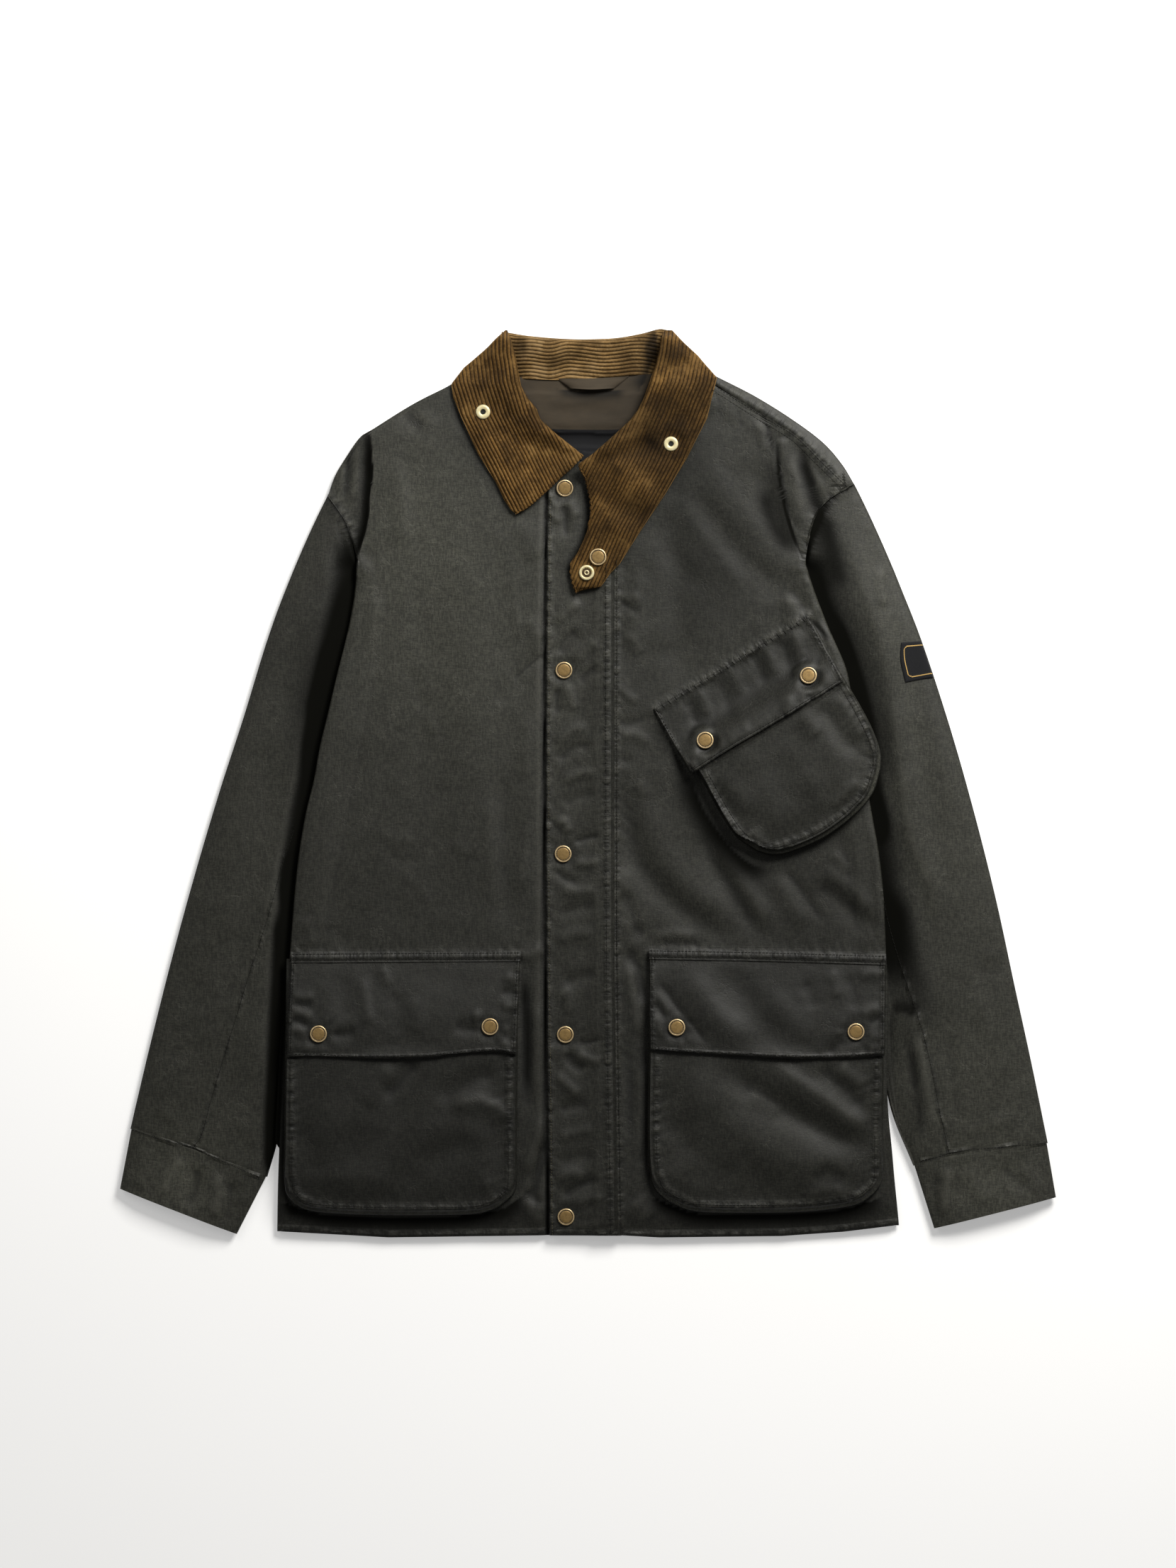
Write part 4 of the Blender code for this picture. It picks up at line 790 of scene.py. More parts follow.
sleeves = {
    "wall": 1.3, "middle": 9.5, "valley": 2.9, "round": 2.5,
    "left": [
        (-230.0, 253.4, -191.3, 158.4), (-256.3, 197.2, -192.5, 140.9), (-281.3, 129.1, -198.8, 109.7),
        (-303.1, 58.4, -213.1, 37.8), (-325.0, -9.1, -226.9, -32.8), (-346.9, -82.8, -240.0, -109.1),
        (-366.9, -155.9, -251.3, -180.9), (-385.0, -227.8, -265.0, -254.1),
        (-396.9, -277.8, -274.4, -310.9), (-403.1, -304.7, -284.2, -346.6),
    ],
    "right": [
        (235.0, 264.4, 181.9, 158.4), (255.0, 222.2, 185.6, 140.9), (275.6, 172.2, 194.4, 115.9),
        (295.0, 122.2, 206.3, 81.6), (319.4, 47.2, 223.1, 15.9), (340.6, -27.8, 238.8, -52.8),
        (359.4, -102.8, 250.0, -124.7), (375.6, -177.8, 256.3, -199.7), (390.6, -246.6, 266.6, -279.5),
        (405.0, -317.2, 288.1, -336.6),
    ],
    "leftHem": (-413.1, -357.2, -310.0, -397.2), "rightHem": (413.1, -364.7, 305.6, -392.2),
    "leftArmhole": [(-230, 253.4), (-221.3, 241.6), (-214.4, 230.9), (-210, 219.1), (-206.9, 208.4),
        (-203.8, 197.2), (-197, 177), (-191.3, 158.4)],
    "rightArmhole": [(235, 264.4), (213.1, 250.9), (201.9, 237.8), (196.3, 222.2), (193.1, 205.3),
        (191.9, 194.1), (187, 177), (181.9, 158.4)],
}
sleeveCreases = {
    "left": [
        (1.7, 8, 20, [-222.5, 250.3, -227.5, 215.9, -236.2, 159.7, -247.5, 103.4, -257.5, 40.9,
            -265.6, -15.3]),
        (0.8, 9, 14, [-267.5, -46.6, -275, -109.1, -286.2, -171.6, -291.2, -234.1, -288.8, -309.1]),
        (-1.0, 10, 8, [-212.5, 253.4, -216.2, 215.9, -225, 159.7, -236.2, 103.4, -245.6, 40.9,
            -253.8, -15.3]),
        (0.7, 22, 26, [-265.6, 178.4, -281.2, 103.4, -306.2, -9.1, -331.2, -121.6, -355, -246.6]),
        (-0.5, 16, 16, [-243.8, 153.4, -262.5, 65.9, -287.5, -34.1, -312.5, -134.1]),
        (0.7, 3, 5, [-225, 231.6, -220, 212.8, -216.9, 190.9], "sharp"),
        (0.6, 4, 7, [-268.8, -68.4, -278.1, -102.8, -293.8, -152.8, -306.2, -196.6, -321.9, -246.6]),
        (-0.6, 1.8, 1.8, leftSeam, "seam"), (-0.8, 1.8, 1.8, leftCuffSeam, "seam"),
        (0.5, 5, 6, [-355, -209.1, -331.2, -199.7, -303.1, -190.3]),
        (-0.4, 5, 6, [-375, -240.3, -350, -234.1, -331.2, -224.7]),
        (0.55, 5, 5, [-384.4, -284.1, -368.8, -293.4, -355, -309.1]),
        (0.5, 5, 6, [-315.6, -174.7, -303.1, -166.6, -284.4, -164.1]),
        (-0.4, 4, 4, [-331.2, -143.4, -312.5, -135.3, -298.8, -135.3]),
        (0.4, 8, 8, [-368.8, -152.8, -343.8, -140.3, -318.8, -137.2]),
    ],
    "right": [
        (2.0, 16, 8, [217.5, 244.1, 231.2, 209.7, 245, 172.2, 258.1, 128.4, 270, 78.4, 278.1, 15.9,
            287.5, -46.6, 305, -96.6, 320, -165.3]),
        (-1.2, 9, 10, [209.4, 234.7, 218.8, 190.9, 228.8, 147.2, 240.6, 103.4, 253.1, 59.7, 262.5, 9.7,
            270, -59.1]),
        (0.7, 22, 22, [262.5, 215.9, 287.5, 140.9, 312.5, 40.9, 337.5, -59.1, 368.8, -196.6]),
        (-0.6, 14, 12, [240.6, 215.9, 259.4, 165.9, 275, 109.7, 290.6, 40.9, 306.2, -46.6, 325, -140.3]),
        (0.55, 10, 10, [312.5, -15.3, 325, -84.1, 340.6, -165.3, 350, -234.1]),
        (1.0, 3, 6, [258.1, 194.1, 259.4, 172.2, 262.5, 153.4]), (-0.6, 1.8, 1.8, rightSeam, "seam"),
        (-0.8, 1.8, 1.8, rightCuffSeam, "seam"),
        (1.6, 4, 9, [265.6, -204.1, 278.1, -202.8, 288.8, -206.6, 296.9, -212.8], "sharp"),
        (1.3, 6, 6, [287.5, -216.6, 295, -246.6, 301.2, -284.1, 306.2, -315.3]),
        (-1.2, 6, 5, [276.2, -215.3, 284.4, -246.6, 288.8, -277.8]),
        (-0.8, 7, 7, [315.6, -209.1, 321.9, -259.1, 326.2, -309.1]),
        (0.6, 8, 8, [337.5, -180.9, 356.2, -221.6, 365.6, -271.6]),
        (0.5, 5, 4, [343.8, -152.8, 362.5, -149.7, 381.2, -154.1]),
        (-0.4, 4, 4, [340.6, -162.2, 356.2, -165.3, 375, -160.3]),
        (0.5, 5, 5, [321.9, -309.1, 343.8, -302.8, 381.2, -293.4]),
    ],
}
sleevePuckers = {
    "left": [
        (0.75, 7, 9, 2.5, 0.3, 11, leftSleeveHead), (0.16, 5, 4, 5, 0, 12, leftSeam),
        (0.35, 13, 14, 9, 0.3, 13, leftCuffSeam),
    ],
    "right": [
        (0.7, 7, 7, 3, 0.3, 21, rightArmhole), (0.16, 5, 4, 5, 0, 22, rightSeam),
        (0.28, 13, 12, 9, 0.3, 23, rightCuffSeam),
    ],
}


bodyEdges = {
    "shoulderLeft": [(-120.6, 352.8), (-155, 335.3), (-190, 313.4), (-201, 306.6), (-212.5, 290.5),
        (-223.3, 272.4), (-230, 253.4)],
    "armholeLeft": [(-230, 253.4), (-221.3, 241.6), (-214.4, 230.9), (-210, 219.1), (-206.9, 208.4),
        (-203.8, 197.2)],
    "sideLeft": [(-203.8, 197.2), (-206.3, 166.6), (-213.1, 130.3), (-221.3, 97.2), (-229.4, 62.8),
        (-236.9, 31.6), (-241.9, 3.4), (-249.4, -27.8), (-256.9, -76.6), (-263.1, -152.2), (-267.5, -228.4),
        (-273.1, -336.6), (-274.6, -402)],
    "shoulderRight": [(112.5, 360.3), (146.9, 342.8), (180, 322.2), (207.5, 301.6), (224.4, 282.2),
        (235, 264.5)],
    "armholeRight": [(235, 264.4), (213.1, 250.9), (201.9, 237.8), (196.3, 222.2), (193.1, 205.3),
        (191.9, 194.1)],
    "sideRight": [(191.9, 194.1), (201.9, 164.7), (213.8, 134.7), (227.5, 102.8), (233.1, 76.6),
        (241.5, 40.9), (248, -11.6), (256.3, -59.1), (260.6, -98.4), (263.1, -152.8), (265, -196.6),
        (263.8, -255.3), (265, -290.3), (268.8, -327.8), (275, -402)],
    "underarmLeft": [(-203.8, 197.2), (-197, 177), (-191.3, 158.4), (-190, 141), (-213.9, 126),
        (-221.3, 97.2)],
    "underarmRight": [(191.9, 194.1), (187, 177), (181.9, 158.4), (183, 141), (217.2, 126), (227.5, 102.8)],
    "shoulderSeam": [(112, 353), (154.4, 325.9), (183.8, 307.8), (207.5, 284.7), (230.4, 262.4)],
    "neckLeft": [(-88, 353), (-76, 343), (-60, 322), (-42, 305), (-20, 292), (12.5, 286)],
    "neckRight": [(78.0, 353.0), (70.0, 333.0), (52.0, 312.0), (35.0, 293.0), (10.0, 283.0)],
    "hem": [(-276, -394.7), (-175.6, -400.3), (-34.4, -398.4), (31.3, -398.4), (63.1, -400.3),
        (171.3, -399.1), (225.6, -395.3), (276, -389.1)],
    "bottom": -398.0,
}


def straightAt(points, y):
    line = np.array(sorted(points, key=lambda point: point[1]))
    return np.interp(y, line[:, 1], line[:, 0])


def sleeveRing(side, stations, rows, part, shoulder=True):
    table = curve(stations, rows)
    outer, inner = table[:, 0:2], table[:, 2:4]
    front = 0.5 - 0.5 * np.cos(np.linspace(0, math.pi, 60))
    under = 0.5 + 0.5 * np.cos(np.linspace(0, math.pi, 26))
    share = np.concatenate([front, under[1:]])
    isTop = np.concatenate([np.ones(60), np.zeros(25)])
    place = outer[:, None, :] + (inner - outer)[:, None, :] * share[None, :, None]
    if shoulder:
        along = np.linspace(0, 1, len(table))
        near = 1 - ease(0.0, 0.2, along)
        ax, ay = alongLine(part[side + "Armhole"], share)
        shift = np.array([1.0 if side == "right" else -1.0, -0.35])
        hole = np.stack([ax, ay], 1)[None] + shift * -1.0
        place = mix(place, hole, near[:, None, None])
    width = np.hypot(*(inner - outer).T)[:, None]
    edge = np.abs(2 * share[None, :] - 1) + 0 * width
    profile = (1 - edge ** part["round"]) ** (1 / part["round"])
    return place[..., 0], place[..., 1], profile, isTop[None, :] + 0 * profile


def makeSleeve(side, part):
    x, y, profile, isTop = sleeveRing(side, part[side], 20, part)
    half = part["middle"] / 2
    swellOut = 0.9 * drift(x, y, 60, 31 if side == "left" else 32, 2.0, 0.25 if side == "left" else -0.25)
    creases = creaseSum(sleeveCreases[side], x, y) + puckerSum(sleevePuckers[side], x, y)
    creases += 0.22 * drift(x, y, 15, 33, 1.6) + 0.5 * drift(x, y, 32, 36, 1.6)
    top = half + half * profile + (creases + swellOut) * ease(0.25, 0.85, profile)
    low = half - half * profile
    edge = straightAt(bodyEdges["side" + side.title()], y)
    outside = edge - x if side == "left" else x - edge
    reach = (20.0 if side == "left" else 32.0) + 4.0 * drift(x, y, 70, 37)
    valley = ease(0, 1, outside / reach) ** 0.8
    valley = np.minimum(mix(1.0, valley, ease(204, 188, y)), ease(-2, 6, outside))
    top = mix(part["valley"], top, valley)
    along = np.linspace(0, 1, len(x))[:, None]
    top = mix(np.minimum(top, 8.2), top, ease(0, 0.07, along))
    z = np.where(isTop > 0, np.maximum(top, low + 0.6), np.minimum(low, top - 0.8))
    upper = isTop[0] > 0
    clothPiece(f"sleeve{side.title()}", x, y, z, part["wall"], "waxed",
               [f"sleeve_{side}_upper", f"sleeve_{side}_under"],
               ring=True)
    layDown(x[:, upper], y[:, upper], z[:, upper])


def makeCuff(side, part):
    last = part[side][-1]
    stations = [mix(np.array(last), np.array(part[side + "Hem"]), step) for step in (-0.02, 0.3, 0.65, 1.0)]
    x, y, profile, isTop = sleeveRing(side, stations, 6, part, shoulder=False)
    half = part["middle"] / 2 + 0.25
    along = np.linspace(0, 1, len(x))[:, None]
    creases = 1.5 * creaseSum(cuffCreases[side], x, y) + puckerSum(sleevePuckers[side][2:], x, y)
    lift = 1.6 * ease(0.3, 1.0, along) * ease(0.6, 1.0, profile)
    top = half + half * profile + 0.4 + (creases + lift) * ease(0.2, 0.8, profile)
    low = half - half * profile
    z = np.where(isTop > 0, top, low)
    upper = isTop[0] > 0
    clothPiece(f"cuff{side.title()}", x, y, z, part["wall"], "waxed", [f"cuff_{side}"],
               ring=True)
    layDown(x[:, upper], y[:, upper], z[:, upper])


cuffCreases = {
    "left": [
        (0.9, 7, 6, [-357.5, -325.3, -368.8, -346.6, -376.2, -365.3]),
        (-0.8, 6, 6, [-343.8, -334.1, -346.9, -359.1, -355, -374.7]),
        (1.0, 6, 7, [-328.1, -340.3, -326.2, -365.3, -332.5, -384.1]),
        (-0.6, 7, 6, [-312.5, -346.6, -315.6, -371.6, -320, -390.3]),
        (0.5, 6, 6, [-387.5, -318.4, -393.8, -340.3, -398.8, -359.1]),
    ],
    "right": [
        (1.0, 6, 6, [317.5, -334.1, 316.2, -359.1, 313.8, -384.1]),
        (-0.7, 6, 6, [306.2, -340.3, 305, -365.3, 307.5, -387.2]),
        (0.6, 8, 8, [334.4, -334.1, 340.6, -352.8, 356.2, -371.6]),
        (-0.5, 6, 6, [362.5, -334.1, 375, -346.6, 390.6, -359.1]),
        (0.4, 6, 6, [381.2, -334.1, 390.6, -346.6, 403.1, -362.2]),
    ],
}
for armSide in ("left", "right"):
    makeSleeve(armSide, sleeves)
    makeCuff(armSide, sleeves)
print("sleeves laid")


def hemShift(x, y):
    line = np.array(bodyEdges["hem"])
    return (np.interp(x, line[:, 0], line[:, 1]) - bodyEdges["bottom"]) * ease(-340, -398, y)


def spread(left, right, leftMargins, rightMargins, middle):  # one row of places for each y
    room = (right - left)[:, None]
    leftMargins, rightMargins = np.atleast_2d(leftMargins), np.atleast_2d(rightMargins)
    scale = np.minimum(1.0, room / (1.2 * (leftMargins[:, -1:] + rightMargins[:, -1:])))
    first = left[:, None] + leftMargins * scale
    last = right[:, None] - rightMargins[:, ::-1] * scale
    steps = np.linspace(0, 1, middle + 2)[1:-1][None]
    inner = first[:, -1:] + (last[:, :1] - first[:, -1:]) * steps
    return np.hstack([first, inner, last])


backPanel = {"wall": 1.6}


def makeBack(part):
    ys = np.linspace(-398.0, 341.0, 150)
    upperLeft = bodyEdges["shoulderLeft"] + bodyEdges["armholeLeft"][1:] + bodyEdges["underarmLeft"][1:]
    upperRight = bodyEdges["shoulderRight"] + bodyEdges["armholeRight"][1:] + bodyEdges["underarmRight"][1:]
    left = straightAt(upperLeft + bodyEdges["sideLeft"][4:], ys) + 1.5
    right = straightAt(upperRight + bodyEdges["sideRight"][4:], ys) - 1.5
    left -= 5.5 * ease(-322, -316, ys) * ease(-180, -230, ys)
    x = spread(left, right, [0, 2, 5, 9, 14], [0, 2, 5, 9, 14], 86)
    y = ys[:, None] + hemShift(x, ys[:, None]) + 0 * x
    z = sampleGround(drape(4, 5), x, y) + part["wall"] + 0.25
    z += 0.25 * (drift(x, y, 45, 41) + 1) * ease(3, 6, z)
    z = mix(z, part["wall"] + 0.25, ease(192, 202, y) * ease(318, 300, y))
    clothPiece("backPanel", x, y, z, part["wall"], "waxedBodyHemShaded", ["back"])
    layDown(x, y, z, 3)


makeBack(backPanel)
print("back laid")

fronts = {
    "wall": 1.5, "loft": 5.6, "plateau": 9.6, "rollWidth": 7.0, "curl": 3.0,
    "foldShares": [0, 0.05, 0.11, 0.18, 0.26, 0.34, 0.42, 0.50, 0.58, 0.66, 0.74, 0.82, 0.90, 0.96, 1.0],
    "foldMargins": [0.7, 1.6, 3, 5, 7.5, 10.5, 14],
    "foldLeft": [(-194.4, 322.2), (-190.6, 300.3), (-190, 284.7), (-190, 270.3), (-191.9, 253.4),
        (-194.4, 229.7), (-200, 209.7), (-203.8, 199.7)],
    "foldRight": rightFold, "closureMargins": [0, 2, 4, 6, 8.5, 11, 14, 17],
}
frontCreases = [
    (-2.4, 3, 3.5, [-35.9, 253.4, -37.5, 159.7, -38.1, 65.9, -38.1, -90.3, -36.9, -246.6, -35, -398.4],
        "seam"),
    (-3.0, 0.3, 4, [-194.4, 322.2, -190.6, 300.3, -190, 284.7, -190, 270.3, -191.9, 253.4, -194.4, 229.7,
        -200, 209.7, -203.8, 198.4], "ledge"),
    (1.0, 2.5, 3, [-204.4, 303.4, -204.4, 278.4, -206.9, 247.2]),
    (-0.8, 2.5, 2.5, [-211.2, 297.2, -212.5, 272.2, -215, 249.7]),
    (0.8, 2.5, 3, [-216.2, 290.9, -217.5, 272.2, -218.8, 253.4]),
    (1.0, 7, 9, [-170.6, 290.9, -165, 253.4, -163.8, 203.4]),
    (-0.9, 6, 6, [-162.5, 331.6, -155, 322.2, -143.8, 313.4]),
    (0.7, 6, 6, [-150, 331.6, -143.8, 322.2, -131.2, 314.7]),
    (1.1, 26, 24, [-109.4, 253.4, -105, 153.4, -101.2, 34.7, -96.2, -109.1]),
    (-0.9, 22, 22, [-143.8, 215.9, -140, 90.9, -137.5, -46.6, -136.2, -134.1]),
    (1.3, 13, 12, [-208.1, 128.4, -221.2, 59.7, -236.2, -15.3, -245, -84.1, -247.5, -140.3]),
    (-1.2, 12, 10, [-73.8, 19.1, -73.8, -46.6, -71.2, -96.6, -67.5, -140.3]),
    (0.9, 8, 9, [-87.5, 3.4, -85, -59.1, -81.2, -115.3]),
    (1.0, 6, 7, [-51.2, 65.9, -53.8, 34.7, -56.2, -2.8]),
    (0.9, 6, 7, [-51.2, -27.8, -55, -59.1, -59.4, -96.6]),
    (-1.5, 4, 6, [-36.2, 114.7, -45.6, 109.7, -57.5, 99.7, -67.5, 89.7], "sharp"),
    (1.0, 6, 7, [-55, 148.4, -47.5, 135.9, -38.8, 125.3]),
    (-0.8, 7, 8, [-55, 95.9, -67.5, 84.7, -81.2, 69.1]),
    (1.2, 12, 10, [-63.8, 234.7, -53.8, 215.9, -43.8, 197.2]),
    (0.6, 8, 8, [-73.8, 228.4, -70, 197.2, -65, 159.7]),
    (0.6, 4, 5, [-63.8, 165.9, -62.5, 147.2, -58.8, 125.3]),
    (-0.8, 9, 9, [-225, -121.6, -218.8, -134.1, -206.2, -140.3]),
    (0.9, 7, 7, [-251.2, -115.3, -247.5, -130.9, -243.8, -145.3]),
    (0.45, 5, 5, [-187.5, -37.2, -168.8, -49.7, -150, -46.6]),
    (-0.4, 5, 5, [-181.2, -59.1, -162.5, -68.4, -143.8, -65.3]),
    (0.4, 4, 5, [-143.8, 65.9, -136.2, 47.2, -130, 28.4]),
    (0.4, 5, 5, [-168.8, -77.8, -150, -90.3, -136.2, -109.1]),
    (0.5, 5, 6, [-118.8, -46.6, -109.4, -59.1, -95, -52.8]),
    (-0.4, 5, 4, [-159.4, 103.4, -150, 81.6, -143.8, 59.7]),
    (-2.4, 6, 8, [-55, -165.3, -54.4, -196.6, -52.5, -246.6, -51.2, -296.6]),
    (2.0, 5, 6, [-45, -184.1, -45.6, -234.1, -48.8, -284.1]),
    (1.5, 4, 7, [-38.8, -290.3, -45, -315.3, -51.2, -334.1, -55, -346.6]),
    (-2.6, 4, 5, [-37.5, -309.1, -42.5, -340.3, -48.8, -371.6]),
    (1.4, 6, 6, [-59.4, -152.8, -48.8, -149.7, -37.5, -143.4]),
    (1.0, 4, 5, [-53.1, -365.3, -48.8, -379.1, -41.2, -389.1]),
    (-1.4, 4, 4, [-56.2, -356.6, -48.8, -365.3, -40, -371.6]),
    (-0.9, 12, 16, [-250, -385.3, -193.8, -390.3, -118.8, -390.3, -56.2, -385.3]),
    # right front, round the shoulder
    (0.9, 1.2, 4, [165, 300.3, 166.2, 284.7, 168.1, 268.4, 173.1, 240.9, 180, 217.2, 188.8, 194.1]),
    (-1.5, 1.6, 1.6, rightFold, "sharp"),
    (-1.0, 8, 13, [143.8, 290.9, 153.8, 259.7, 162.5, 231.6, 178.8, 198.4]),
    (1.2, 13, 16, [96.9, 303.4, 113.8, 264.1, 143.8, 232.8, 180, 190.9, 197.5, 167.2]),
    (-1.4, 10, 13, [88.8, 265.9, 106.2, 239.7, 128.8, 209.7, 158.1, 181.6, 180, 159.7]),
    (0.7, 10, 10, [75, 259.7, 96.9, 225.3, 118.8, 197.2, 143.8, 169.1]),
    (-0.6, 8, 9, [65.6, 215.9, 84.4, 190.9, 106.2, 165.9]),
    (-1.4, 1.8, 2.2, [154.4, 328.4, 157.5, 317.8, 160.6, 308.4, 163.1, 295.9], "sharp"),
    (0.5, 3, 4, [148.8, 322.2, 153.1, 308.4, 157.5, 290.9]),
    (0.4, 3, 3, [166.9, 318.4, 170.6, 304.7, 172.5, 284.7]),
    (-0.7, 2.2, 2.6, [165, 307.8, 171.2, 305.9, 178.8, 308.4]),
    (-0.5, 3, 3, [113.8, 343.4, 116.9, 333.4, 115.6, 320.9]),
    (-0.4, 3, 3, [131.2, 331.6, 135, 322.2, 136.2, 312.2]),
    (-2.4, 6, 6, [182.5, 303.4, 190, 284.7, 196.2, 262.2, 202.5, 242.2, 211.2, 220.9]),
    (0.9, 4, 6, [176.2, 290.9, 183.8, 265.9, 187.5, 244.1, 192.5, 220.9]),
    (-0.9, 2.5, 3, [173.8, 253.4, 180, 234.7, 186.2, 220.9]),
    (0.5, 3, 4, [192.5, 290.9, 200, 270.9, 206.2, 253.4]),
    (-0.5, 3, 3, [196.2, 290.9, 203.8, 275.9, 210, 263.4]),
    (-1.8, 16, 16, [71.9, 253.4, 75, 190.9, 78.1, 128.4, 81.2, 78.4]),
    (1.3, 14, 14, [59.4, 228.4, 62.5, 165.9, 65.6, 109.7]),
    (1.6, 5, 8, [192.5, 187.2, 200, 164.7, 207.5, 145.9]),
    (-1.4, 3, 4, [195.6, 145.9, 201.2, 138.4, 211.2, 129.7], "sharp"),
    (0.45, 7, 8, [168.8, 168.4, 180, 154.7, 187.5, 140.9]),
    (-0.9, 5, 5, [176.2, 174.7, 186.2, 162.2, 193.8, 149.7]),
    (1.2, 4, 6, [203.8, 142.2, 213.8, 125.9, 222.5, 104.7]),
    (1.4, 4, 7, [218.8, 112.8, 226.2, 94.1, 230, 75.3]),
    # beside the placket
    (-1.4, 8, 9, [33.8, 215.9, 30, 172.2, 28.8, 128.4, 31.2, 90.9]),
    (0.9, 8, 8, [46.9, 190.9, 43.8, 153.4, 45, 115.9]),
    (0.9, 4, 5, [26.2, 169.1, 36.2, 164.7, 46.9, 167.2]),
    (-0.8, 4, 4, [26.2, 159.7, 37.5, 154.7, 46.9, 149.7]),
    (0.9, 4, 5, [30, 133.4, 40.6, 125.3, 46.9, 112.8]), (0.9, 4, 5, [26.2, 90.9, 35, 78.4, 45, 72.2]),
    (-1.0, 5, 5, [25, 59.7, 37.5, 53.4, 53.1, 59.7]), (1.0, 4, 6, [25, 40.9, 40.6, 44.1, 56.2, 34.7]),
    (-1.0, 5, 6, [26.2, 27.2, 37.5, 15.9, 43.8, -2.8]), (1.0, 5, 6, [33.8, 22.2, 43.8, 3.4, 53.1, -15.3]),
    # below the chest pocket
    (-2.6, 11, 13, [26.2, 15.9, 35, -27.8, 46.9, -71.6, 75, -102.8, 106.2, -125.3, 134.4, -144.1]),
    (1.5, 9, 9, [28.8, -69.1, 33.8, -97.8, 43.8, -137.2]),
    (1.9, 15, 15, [46.9, -2.8, 59.4, -46.6, 81.2, -84.1, 112.5, -115.3, 131.2, -132.8]),
    (-1.9, 7, 10, [96.9, -37.2, 113.8, -71.6, 135, -105.3, 158.8, -141.6]),
    (2.0, 8, 10, [109.4, -46.6, 128.8, -76.6, 147.5, -106.6, 162.5, -131.6]),
    (-1.5, 4, 7, [170, -69.1, 187.5, -92.8, 201.2, -111.6, 211.2, -125.3], "sharp"),
    (1.3, 7, 9, [163.8, -77.8, 178.8, -102.8, 193.8, -127.8]),
    (-1.8, 8, 11, [195, -84.1, 218.8, -100.3, 238.8, -116.6, 256.2, -135.3]),
    (1.5, 8, 8, [206.2, -72.8, 228.8, -90.3, 251.2, -115.3]),
    (1.0, 4, 5, [213.8, -59.1, 222.5, -67.8, 231.2, -79.1]),
    (1.6, 12, 6, [251.2, -21.6, 256.2, -59.1, 260, -102.8, 262.5, -140.3]),
    (0.9, 4, 6, [55, -135.3, 75, -131.6, 96.9, -135.3]),
    (-0.7, 4, 4, [56.2, -141.6, 81.2, -140.3, 106.2, -142.8]),
    # between the placket and the lower right pocket
    (-2.0, 6, 6, [31.2, -90.3, 38.8, -115.3, 47.5, -140.3]),
    (1.8, 6, 6, [36.2, -152.8, 41.2, -190.3, 45, -227.8]),
    (-1.9, 5, 6, [32.5, -140.3, 43.8, -165.3, 48.8, -196.6]),
    (-1.4, 7, 7, [31.2, -215.3, 37.5, -271.6, 40.6, -321.6]),
    (1.2, 6, 6, [46.9, -240.3, 45, -290.3, 43.8, -334.1]),
    (1.3, 10, 9, [38.8, -365.3, 46.9, -375.3, 55, -385.3]),
    (-0.9, 12, 16, [62.5, -386.6, 131.2, -391.6, 218.8, -389.1, 262.5, -379.1]),
]
frontPuckers = [
    (1.1, 8, 7, 5, 0.2, 51, leftSleeveHead),
    (0.4, 8, 0.5, 7, 0.4, 52, [125, 347.8, 140.6, 339.7, 162.5, 324.7, 184.4, 307.2, 200, 290.3,
        215.6, 272.8, 228.1, 260.9]),
    (0.6, 8, 5, 4, 0.2, 53, rightArmhole),
    (0.7, 9, 7, 0.5, 0.5, 54, [-261.2, -149.1, -162.5, -147.8, -61.2, -146.6]),
    (0.7, 9, 8, 0.5, 0.5, 55, [53.8, -144.1, 156.2, -146.6, 261.2, -149.1]),
    (0.55, 11, 9, 0.5, -0.8, 56, [26.2, 190.9, 26.2, 65.9, 26.2, -90.3, 27.5, -246.6, 28.8, -390.3]),
]


